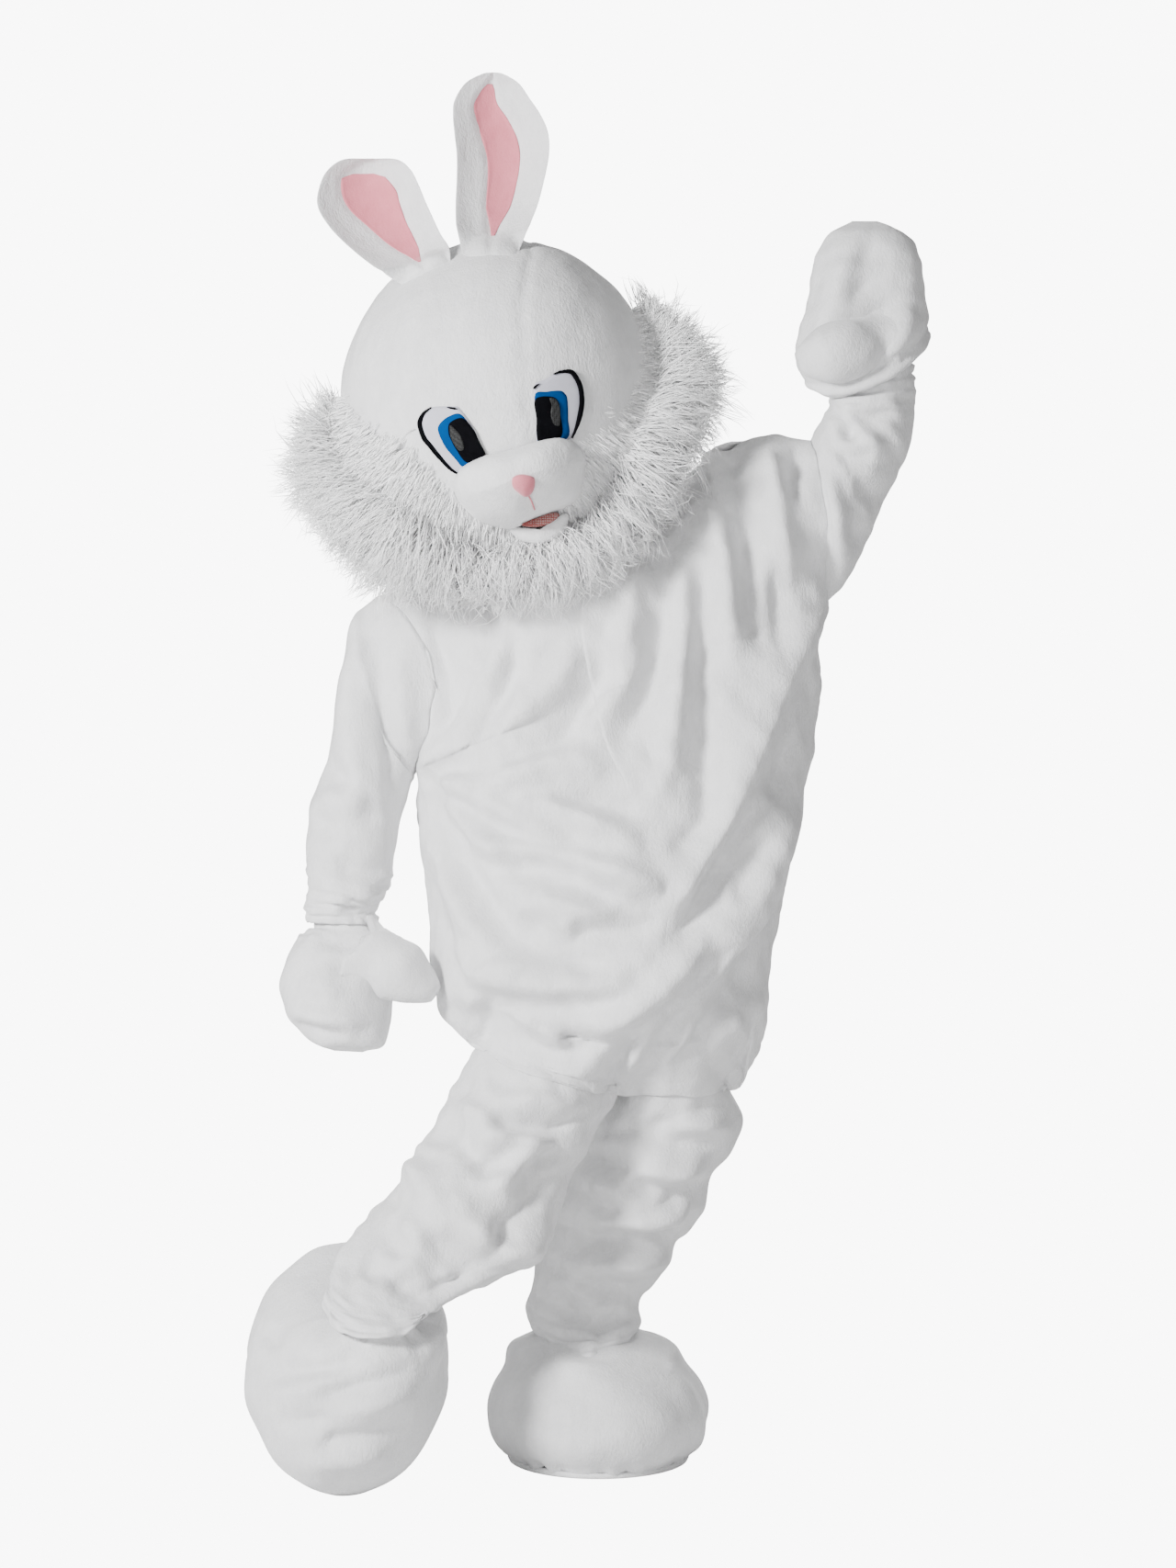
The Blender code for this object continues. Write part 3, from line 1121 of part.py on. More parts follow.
def ruff_section(around, reach, forward, root):
    """One section of the ruff in the plane of its angle, from root to tips."""
    out = np.array((math.cos(around), 0.0, math.sin(around)))
    hole_axis = math.cos(HOLE_OVER) * HEAD_FORWARD + math.sin(HOLE_OVER) * HEAD_UP
    behind = RUFF_BACK
    while True:
        angle = math.radians(behind)
        ray = math.cos(angle) * out + math.sin(angle) * HEAD_FORWARD
        if np.dot(ray, hole_axis) < math.cos(NECK_HOLE_ANGLE + RUFF_OFF_HOLE):
            break
        behind += 1
    root = max(root, behind + RUFF_BAND)
    near = HEAD_RADIUS + RUFF_CLEAR
    angles = np.radians(np.linspace(behind, root, 5))
    inner = [near * np.array((math.cos(a), math.sin(a))) for a in angles]
    tip = np.array((reach, forward))
    across = unit(np.array((-forward, reach)))
    first = (near + 0.012) * np.array((math.cos(angles[-1]), math.sin(angles[-1])))
    last = (near + 0.012) * np.array((math.cos(angles[0]), math.sin(angles[0])))
    outer = [
        first,
        first * 0.45 + tip * 0.55 + across * 0.010,
        tip + across * 0.004,
        tip - across * 0.004,
        last * 0.45 + tip * 0.55 - across * 0.010,
        last,
    ]
    return np.stack([HEAD_CENTRE + a * out + b * HEAD_FORWARD for a, b in inner + outer])


def build_ruff():
    table = columns(RUFF, RUFF_ROWS)
    order = np.argsort(table["around"])
    places = {name: table[name][order] for name in RUFF}
    for name, start, stop in RUFF_PARTS:
        count = int(round(abs(stop - start) / RUFF_STEP))
        gap = 0.12
        angles = np.linspace(start - gap, stop + gap, count + 1)
        sections = []
        for k, angle in enumerate(angles):
            row = [np.interp(angle, places["around"], places[key]) for key in RUFF[1:]]
            row[0] += RUFF_TUFT * (1 if k % 2 else -1)
            sections.append(ruff_section(math.radians(angle), row[0], row[1], row[2]))
        closed_solid(name, np.stack(sections), LONG_PILE)


def closed_solid(name, rings, slot):
    """A solid through closed rings, with a fan at each end."""
    rows, cols = rings.shape[:2]
    points = np.concatenate([rings.reshape(-1, 3), rings[:1].mean(axis=1), rings[-1:].mean(axis=1)])
    faces = []
    for i in range(rows - 1):
        for j in range(cols):
            k = (j + 1) % cols
            a, b, c, d = i * cols + j, i * cols + k, (i + 1) * cols + k, (i + 1) * cols + j
            faces.append((a, b, c))
            faces.append((a, c, d))
    for j in range(cols):
        k = (j + 1) % cols
        faces.append((k, j, rows * cols))
        faces.append(((rows - 1) * cols + j, (rows - 1) * cols + k, rows * cols + 1))
    make_object(name, points, faces, slot)


def main():
    for item in list(bpy.data.objects):
        bpy.data.objects.remove(item, do_unlink=True)
    build_suit()
    build_legs()
    build_mittens()
    build_feet()
    build_head()
    build_face()
    build_ears()
    build_ruff()


main()
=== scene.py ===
"""Rabbit mascot costume as it looks worn: plush suit, mittens, padded feet and head.

Metres, +Z up; the wearer faces -Y, so the wearer's left is +X. The main sizes and hoops
are the sewn costume's own. Each piece is a grid of points with its folds, seams and
swelling worked into it, and then given its thickness.
"""

import math

import bpy
import numpy as np
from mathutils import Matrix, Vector
from mathutils.bvhtree import BVHTree


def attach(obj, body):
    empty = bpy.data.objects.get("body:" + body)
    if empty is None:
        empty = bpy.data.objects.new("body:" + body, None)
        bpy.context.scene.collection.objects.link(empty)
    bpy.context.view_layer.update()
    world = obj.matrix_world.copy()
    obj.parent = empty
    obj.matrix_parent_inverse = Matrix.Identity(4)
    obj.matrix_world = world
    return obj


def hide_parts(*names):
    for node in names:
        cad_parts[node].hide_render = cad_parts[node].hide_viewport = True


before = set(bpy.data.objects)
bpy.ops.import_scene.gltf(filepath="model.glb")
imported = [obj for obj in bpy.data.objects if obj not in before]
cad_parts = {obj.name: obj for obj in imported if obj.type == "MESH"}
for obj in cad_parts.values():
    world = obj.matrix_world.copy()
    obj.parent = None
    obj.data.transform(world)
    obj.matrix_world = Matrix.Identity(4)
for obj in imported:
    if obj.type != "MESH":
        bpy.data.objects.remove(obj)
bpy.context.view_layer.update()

# Rows and columns of the sewn pieces' grids.
LOWER_ROWS = 128
YOKE_ROWS = 40
FRONT_COLUMNS = 82
FLAP_COLUMNS = 11
BACK_COLUMNS = 92
SLEEVE_ROWS = 96
LEG_ROWS, LEG_COLUMNS = 120, 108
MITTEN_ROWS, MITTEN_COLUMNS = 72, 78
THUMB_ROWS, THUMB_COLUMNS = 34, 36
FOOT_ROWS, FOOT_COLUMNS = 74, 104
HEAD_ROWS, HEAD_COLUMNS = 104, 144

PLUSH_WALL = 0.003
FOOT_WALL = 0.006
HEAD_WALL = 0.008
FELT_WALL, FELT_GAP = 0.0011, 0.0002
# The closure's flap, and from where and over what height it comes to stand clear.
FLAP_HALF_WIDTH, FLAP_RISE = 0.016, 0.0005
FLAP_CLEAR_FROM, FLAP_CLEAR_OVER = -0.36, 0.16

# The folds are laid out on an upright plan, as they look from in front of the wearer.
LOOK_FROM = np.array((0.0485, -4.6, -0.325))
PLAN_Y = -0.15
# Soft swellings: how high each stands, where its middle is and how far it reaches. Each
# thigh's place is a height. On the hanging mitten, and on the raised one's rolled hem, it's
# from the hem. The raised palm's two places are across and up.
THIGH_SWELL = {"right": (0.024, -0.700, 0.075), "left": (0.016, -0.700, 0.060)}
CUFF_SWELL = (0.10, 0.034, 0.014)
HEM_ROLL, HEM_HOLLOW = (0.0075, 0.0, 0.009), (-0.0055, 0.022, 0.008)
PALM_ACROSS, PALM_UP = (0.008, 0.425, 0.030), (1.0, 0.330, 0.055)
SOLE_PUCKER = (0.0011, 0.0, 0.020)
SEAM_EDGE_SWELL = (0.0006, 0.014, 0.010)
CHEEK_SWELL = (0.004, 0.040, 0.024)
# How far up the body is drawn in over the legs, how far from the side seams it starts, how
# far it sinks between the legs and stays clear of them, and the least and the most it moves.
HEM_TUCK_REACH, HEM_TUCK_ASIDE = 0.15, 0.09
HEM_SINK, HEM_CLEAR = 0.075, 0.002
HEM_TUCK_LIMITS = (-0.01, 0.12)
# The most that folds and small creases stand out, and how soon they fade as cloth turns away.
FOLD_LIMIT, CREASE_LIMIT, TURNING_FADE = 0.030, 0.006, 1.7
# How each kind of piece folds: its soft swelling, how far round toward the back its front
# folds reach, and how strongly they stand out.
WORKED = {
    "front": (0.0024, 0.0, 2.75),
    "back": (0.0024, 0.0, 1.6),
    "sleeve": (0.0018, 0.3, 2.1),
    "leg": (0.0026, 0.45, 2.3),
    "mitten": (0.0018, 0.1, 2.2),
}
FOOT_FOLD_STRENGTH = 1.5
# Wrinkles pushed up beside a hem: depth, spacing and reach.
SCRUNCH = {
    "sleeve": (0.0034, 0.016, 0.085),
    "leg": (0.0026, 0.019, 0.070),
    "mitten": (0.0022, 0.015, 0.060),
}
# Pleats where a tube is drawn up: the rows that they run over, depth and count.
GATHERS = {"sleeve": (18, 0.0014, 14), "leg": (20, 0.0030, 12), "foot": (26, 0.0042, 11)}
# How deep and how wide cloth is drawn in beside each kind of seam.
SEAM = {
    "armhole": (0.0008, 0.006),
    "side": (0.0012, 0.006),
    "shoulder": (0.0020, 0.006),
    "mitten": (0.0022, 0.004),
    "sole": (-0.0030, 0.009),
    "foot": (0.0012, 0.004),
    "head": (0.0020, 0.0040),
}

FLOOR_Z = -1.216
NECK_CENTRE = (0.0, 0.0, -0.015)
NECK_RADIUS = 0.085
NECK_ROLL = math.radians(10)
COLLAR_HEIGHT = 0.032
HEAD_CENTRE = np.array((-0.066, -0.030, 0.182))
HEAD_RADIUS = 0.207
HEAD_ROLL = math.radians(18.4)
HEAD_YAW = math.radians(-2.2)
NECK_HOLE_ANGLE = math.radians(34)
NECK_HOLE_TILT = math.radians(14)


def hoop_table(*rows):
    """Rows of a hoop table, given in millimetres but for the tilt in degrees."""
    return tuple(tuple(size / 1000 for size in sizes) + (tilt,) for *sizes, tilt in rows)


def fold_table(*rows):
    """Rows of a fold table: height and width in millimetres, lean, crispness, then the path."""
    return tuple((height / 1000, width / 1000, lean, crisp, np.array(path) / 1000)
                 for height, width, lean, crisp, *path in rows)


HOOP = ("left_x", "left_z", "right_x", "right_z", "mid_y", "front", "back", "sag", "tilt")
# The body below the armholes, from the armpits down to the rolled blouson hem.
BODY_HOOPS = hoop_table(
    (-178, -307, 356, -91, 0, 136, 122, 0, 0),
    (-176, -346, 355, -182, 0, 150, 131, 0, 0),
    (-174, -388, 347, -261, 0, 160, 138, 0, 0),
    (-170, -437, 332, -340, 0, 175, 147, 0, 0),
    (-165, -485, 320, -412, 0, 186, 156, 0, 0),
    (-160, -528, 303, -485, 0, 190, 163, 3, 0),
    (-156, -564, 290, -552, 0, 187, 167, 10, 0),
    (-149, -606, 286, -612, 0, 178, 165, 22, 0),
    (-132, -631, 277, -663, 0, 170, 162, 36, 0),
    (-106, -646, 256, -697, 0, 158, 152, 46, 0),
    (-94, -640, 238, -686, 0, 142, 138, 40, 0),
)
BODY_SQUARENESS = 2.25
# Where the body's front and back end at each armhole, from the armpit to the shoulder.
ARMHOLE = ("right_x", "right_z", "left_x", "left_z")
ARMHOLE_EDGE = (
    (-0.178, -0.307, 0.356, -0.091),
    (-0.162, -0.262, 0.360, -0.048),
    (-0.155, -0.205, 0.361, 0.000),
    (-0.166, -0.145, 0.354, 0.052),
    (-0.193, -0.100, 0.348, 0.098),
    (-0.230, -0.070, 0.342, 0.135),
)
ARMHOLE_HALF_DEPTH = 0.075
YOKE_EDGE_POWER = 4
# The shoulder line from the right arm to the neck, and from the neck to the left arm.
SHOULDER_RIGHT = ((-0.230, -0.070), (-0.160, -0.054))
SHOULDER_LEFT = ((0.150, 0.058), (0.215, 0.118), (0.280, 0.137), (0.342, 0.135))
NECK_SHARE = (0.26, 0.60)
# The centre front closes along this line, from the neck down to the crotch.
CLOSURE = ("x", "z")
CLOSURE_LINE = (
    (0.045, -0.020),
    (0.060, -0.060),
    (0.064, -0.130),
    (0.086, -0.228),
    (0.119, -0.322),
    (0.145, -0.427),
    (0.137, -0.509),
    (0.107, -0.626),
    (0.070, -0.715),
)
# Hanging right sleeve and raised left sleeve, from the armholes to the wrists.
SLEEVE_RIGHT_HOOPS = hoop_table(
    (-261, -102, -181, -312, 2, 76, 74, 0, 0),
    (-272, -152, -182, -318, 0, 74, 72, 0, 0),
    (-281, -206, -185, -324, -4, 70, 68, 0, 0),
    (-286, -260, -187, -332, -8, 67, 64, 0, 0),
    (-302, -312, -190, -344, -12, 65, 62, 0, 0),
    (-316, -358, -197, -366, -18, 62, 60, 0, 0),
    (-319, -406, -205, -412, -24, 58, 56, 0, 0),
    (-318, -455, -212, -457, -30, 54, 52, 0, 0),
    (-322, -486, -228, -488, -34, 45, 44, 0, 0),
    (-318, -506, -226, -508, -36, 42, 41, 0, 0),
)
SLEEVE_LEFT_HOOPS = hoop_table(
    (352, 146, 387, -62, 0, 78, 76, 0, 0),
    (358, 154, 411, -18, 0, 76, 74, 0, 0),
    (363, 162, 431, 28, -2, 72, 70, 0, 0),
    (367, 172, 450, 74, -4, 66, 64, 0, 0),
    (365, 182, 473, 120, -6, 58, 56, 0, 0),
    (364, 200, 479, 166, -9, 50, 48, 0, 0),
    (366, 214, 479, 206, -11, 45, 43, 0, 4),
    (372, 230, 474, 246, -12, 43, 42, 0, 8),
)
# Bent right leg and standing left leg, from the tops inside the body to the ankle hems.
LEG_RIGHT_HOOPS = hoop_table(
    (-74, -612, 78, -672, -10, 72, 74, 0, 0),
    (-80, -648, 83, -700, -14, 80, 82, 0, 0),
    (-112, -690, 86, -738, -28, 90, 90, 0, 0),
    (-142, -752, 60, -782, -56, 102, 94, 0, 0),
    (-174, -800, 28, -838, -82, 105, 94, 0, 0),
    (-196, -838, 2, -900, -106, 104, 92, 0, 4),
    (-226, -874, -26, -942, -134, 94, 84, 0, 10),
    (-252, -902, -92, -960, -168, 80, 70, 0, 16),
    (-270, -930, -134, -970, -206, 76, 64, 0, 22),
    (-278, -954, -150, -974, -232, 73, 62, 0, 24),
    (-281, -976, -158, -984, -252, 68, 60, 0, 24),
)
LEG_LEFT_HOOPS = hoop_table(
    (90, -672, 214, -654, 22, 68, 62, 0, 0),
    (92, -706, 218, -694, 26, 72, 66, 0, 0),
    (76, -752, 247, -750, 38, 88, 82, 0, 0),
    (46, -798, 247, -804, 50, 98, 94, 0, 0),
    (26, -846, 214, -850, 52, 94, 92, 0, 0),
    (-4, -898, 203, -892, 52, 92, 90, 0, 0),
    (-18, -946, 168, -936, 50, 86, 84, 0, 0),
    (-24, -990, 145, -982, 46, 80, 80, 0, 0),
    (-30, -1018, 118, -1016, 43, 72, 72, 0, 0),
    (-28, -1040, 114, -1040, 36, 84, 66, 10, 0),
    (-14, -1058, 100, -1058, 28, 100, 60, 18, 0),
)
LIMB_SQUARENESS = 2.1
# Mittens, from the wrist to the fingertips. Front and back meet in a seam at the tips.
MITTEN_RIGHT_HOOPS = hoop_table(
    (-309, -490, -235, -491, -36, 32, 32, 0, 0),
    (-312, -511, -232, -511, -38, 34, 34, 0, 0),
    (-336, -534, -220, -528, -43, 50, 46, 0, 0),
    (-350, -566, -210, -562, -49, 59, 54, 0, 0),
    (-353, -598, -206, -602, -55, 60, 56, 0, 0),
    (-341, -630, -208, -638, -61, 54, 50, 0, 0),
    (-314, -658, -218, -664, -65, 38, 34, 0, 0),
    (-282, -672, -244, -674, -68, 1, 1, 0, 0),
)
MITTEN_LEFT_HOOPS = hoop_table(
    (347, 207, 488, 268, -12, 69, 60, 0, 34),
    (330, 209, 499, 272, -12, 77, 67, 0, 34),
    (321.8, 239, 499, 293, -14, 72, 64, 0, 26),
    (326.6, 271, 495.5, 314, -16, 63, 57, 0, 16),
    (333.9, 301.5, 491.5, 340, -17, 57, 52, 0, 8),
    (341.1, 338, 486.5, 368, -16, 54, 50, 0, 3),
    (348.4, 368, 476, 390, -14, 48, 44, 0, 0),
    (365.3, 396, 456, 406, -12, 34, 30, 0, 0),
    (396, 416.5, 430, 416.5, -10, 1, 1, 0, 0),
)
# How far a thumb's root runs into the hand, how much wider it gets there and how deep its
# edge is let into the wall; then how far its cap runs on past its last ring, and how full.
THUMB_ROOT_RUN, THUMB_ROOT_SPREAD, THUMB_ROOT_SINK = 0.022, 1.35, 0.0014
THUMB_CAP_RUN, THUMB_CAP_SIZE, THUMB_TIP_RUN = 0.62, 0.62, 0.45
# Thumbs from root to tip: x, y, z and radius.
THUMB_RIGHT = (
    (-0.224, -0.068, -0.554, 0.045),
    (-0.198, -0.076, -0.568, 0.042),
    (-0.180, -0.080, -0.579, 0.034),
    (-0.168, -0.082, -0.586, 0.026),
)
THUMB_LEFT = (
    (0.414, -0.056, 0.248, 0.036),
    (0.388, -0.072, 0.240, 0.039),
    (0.364, -0.078, 0.233, 0.038),
    (0.347, -0.079, 0.228, 0.032),
)
# Foot covers: height over the sole, share of the ankle's place, half width and length.
FOOT = ("height", "share", "half_width", "half_length")
FOOT_RINGS = (
    (0.0085, 0.00, 0.114, 0.142),
    (0.022, 0.00, 0.134, 0.161),
    (0.045, 0.00, 0.145, 0.172),
    (0.070, 0.04, 0.1465, 0.173),
    (0.098, 0.12, 0.1365, 0.162),
    (0.122, 0.30, 0.120, 0.143),
    (0.143, 0.60, 0.110, 0.116),
    (0.156, 0.85, 0.092, 0.088),
    (0.168, 1.00, 0.056, 0.058),
    (0.181, 1.00, 0.046, 0.047),
)
SOLE_EDGE = 0.006
# The sole pad from the middle of its underside out and over: share of its width, and height.
SOLE_ROWS = (
    (0.15, 0.0),
    (0.5, 0.0),
    (0.9, 0.0),
    (0.985, 0.0006),
    (1.0, 0.0040),
    (0.985, 0.0074),
    (0.93, 0.0080),
    (0.5, 0.0080),
    (0.15, 0.0080),
)
FOOT_LEFT_PLACE = (0.062, 0.008, FLOOR_Z)
# How far the ankle stands aside and back, its lean back in degrees, and how far the
# cover spreads: the one that is stood on is the broader.
FOOT_ANKLE = {"left": (-0.014, 0.030, 0.0, 1.0), "right": (0.036, 0.016, 32.0, 0.88)}
FOOT_RIGHT_TOE = (-0.262, -0.205, FLOOR_Z)
FOOT_RIGHT_PITCH = math.radians(54)
FOOT_RIGHT_YAW = math.radians(4)
FOOT_RIGHT_ROLL = math.radians(5)
# Ears: the two edges in the front view from base to tip, depth, and the lining's share.
EAR = ("left_x", "left_z", "right_x", "right_z", "mid_y", "lining_left", "lining_right")
EAR_LEFT_ROWS = (
    (-0.1170, 0.3570, -0.0360, 0.3570, -0.142, 0.46, 0.54),
    (-0.1212, 0.3920, -0.0267, 0.3920, -0.112, 0.42, 0.6),
    (-0.1225, 0.4240, -0.0155, 0.4250, -0.094, 0.36, 0.66),
    (-0.1215, 0.4568, -0.0055, 0.4672, -0.084, 0.34, 0.68),
    (-0.1215, 0.4889, -0.0015, 0.4951, -0.08, 0.32, 0.68),
    (-0.1245, 0.5169, -0.0035, 0.5201, -0.078, 0.28, 0.66),
    (-0.1265, 0.5399, -0.0135, 0.5431, -0.078, 0.26, 0.62),
    (-0.1245, 0.5599, -0.0265, 0.5621, -0.08, 0.26, 0.56),
    (-0.1105, 0.5825, -0.0415, 0.5825, -0.083, 0.36, 0.54),
    (-0.0885, 0.5945, -0.0615, 0.5945, -0.086, 0.45, 0.55),
)
EAR_RIGHT_ROWS = (
    (-0.2060, 0.3220, -0.1240, 0.3500, -0.146, 0.5, 0.58),
    (-0.2352, 0.3457, -0.1318, 0.3683, -0.116, 0.48, 0.66),
    (-0.2645, 0.3717, -0.1415, 0.3843, -0.098, 0.42, 0.72),
    (-0.2865, 0.3958, -0.1525, 0.4082, -0.088, 0.36, 0.74),
    (-0.3005, 0.4199, -0.1615, 0.4281, -0.084, 0.28, 0.76),
    (-0.3005, 0.4418, -0.1705, 0.4502, -0.082, 0.22, 0.76),
    (-0.2905, 0.4664, -0.1815, 0.4706, -0.084, 0.2, 0.66),
    (-0.2685, 0.4825, -0.1995, 0.4835, -0.088, 0.3, 0.6),
)
EAR_CUP = 0.030
EAR_CLEAR = 0.002
# The head's centre strip: half width in degrees at angles from the face over the crown.
GUSSET = ("over", "half_width")
GUSSET_ROWS = (
    (-80, 9.0),
    (-45, 8.0),
    (-22, 8.5),
    (0, 12.0),
    (30, 21.0),
    (55, 28.5),
    (100, 29.0),
    (150, 24.0),
    (200, 18.0),
    (240, 16.0),
)
CROWN_SEAM = 100.0
MUZZLE_OUTLINE = ((-0.0890, -0.1085), (-0.0818, -0.0971), (-0.0677, -0.0869), (-0.0365, -0.0836),
                  (-0.0105, -0.0864), (0.0202, -0.0875), (0.0352, -0.0880), (0.0501, -0.0895),
                  (0.0639, -0.0940), (0.0780, -0.1064), (0.0808, -0.1255), (0.0703, -0.1477),
                  (0.0590, -0.1649), (0.0340, -0.1725), (0.0014, -0.1742), (-0.0256, -0.1759),
                  (-0.0435, -0.1735), (-0.0720, -0.1537), (-0.0867, -0.1279))
MUZZLE_RISE = 0.050
MUZZLE_EDGE = 0.004
MUZZLE_DROP = 0.12
MOUTH_OUTLINE = ((-0.0219, -0.1772), (-0.0090, -0.1845), (0.0060, -0.1869), (0.0198, -0.1845),
                 (0.0270, -0.1791), (0.0174, -0.1755), (0.0010, -0.1758))
MOUTH_BACK, MOUTH_FRONT, MOUTH_RISE = 0.116, 0.140, 0.001
LIP_OUTLINE = ((-0.0376, -0.1747), (-0.0220, -0.1800), (-0.0080, -0.1868), (0.0080, -0.1888),
               (0.0220, -0.1868), (0.0330, -0.1790), (0.0377, -0.1846), (0.0251, -0.2013),
               (0.0113, -0.2067), (-0.0067, -0.2069), (-0.0212, -0.2010), (-0.0327, -0.1913),
               (-0.0397, -0.1792))
LIP_BACK, LIP_EDGE, LIP_RISE = 0.104, 0.006, 0.014
# The ruff: angle round the face, reach of its tips, how far forward they hang, and the
# front of its root on the ball.
RUFF = ("around", "reach", "forward", "root")
RUFF_ROWS = (
    (32, 0.232, 0.026, 8),
    (19, 0.278, 0.044, 12),
    (6, 0.296, 0.060, 18),
    (-9, 0.282, 0.084, 28),
    (-25, 0.266, 0.120, 33),
    (-40, 0.266, 0.142, 31),
    (-52, 0.272, 0.150, 28),
    (-63, 0.281, 0.146, 23),
    (-76, 0.272, 0.144, 21),
    (-88, 0.270, 0.144, 21),
    (-101, 0.270, 0.144, 24),
    (-115, 0.280, 0.140, 31),
    (-130, 0.304, 0.122, 32),
    (-146, 0.296, 0.094, 22),
    (-161, 0.292, 0.064, 14),
    (-171, 0.270, 0.046, 9),
    (-179, 0.226, 0.026, 5),
)
RUFF_PARTS = (("ruff_left", 32, -34), ("ruff_chin", -34, -108), ("ruff_right", -108, -179))
RUFF_BACK = -14
RUFF_BAND = 5
RUFF_OFF_HOLE = math.radians(2)
RUFF_CLEAR = 0.0040
# Its thickness at the root, how far out it's fullest and by how much, and half its tip.
RUFF_ROOT, RUFF_FULL_AT, RUFF_FULLNESS, RUFF_TIP = 0.012, 0.55, 0.010, 0.004
ROLLED_ACROSS = np.array((math.cos(HEAD_ROLL), 0.0, math.sin(HEAD_ROLL)))
HEAD_UP = np.array((-math.sin(HEAD_ROLL), 0.0, math.cos(HEAD_ROLL)))
AHEAD = np.array((0.0, -1.0, 0.0))
HEAD_FORWARD = math.cos(HEAD_YAW) * AHEAD + math.sin(HEAD_YAW) * ROLLED_ACROSS
HEAD_ACROSS = math.cos(HEAD_YAW) * ROLLED_ACROSS - math.sin(HEAD_YAW) * AHEAD
HOLE_OVER = math.radians(-90) - NECK_HOLE_TILT
HOLE_AXIS = math.cos(HOLE_OVER) * HEAD_FORWARD + math.sin(HOLE_OVER) * HEAD_UP
RUFF_HOLE_LIMIT = math.cos(NECK_HOLE_ANGLE + RUFF_OFF_HOLE)

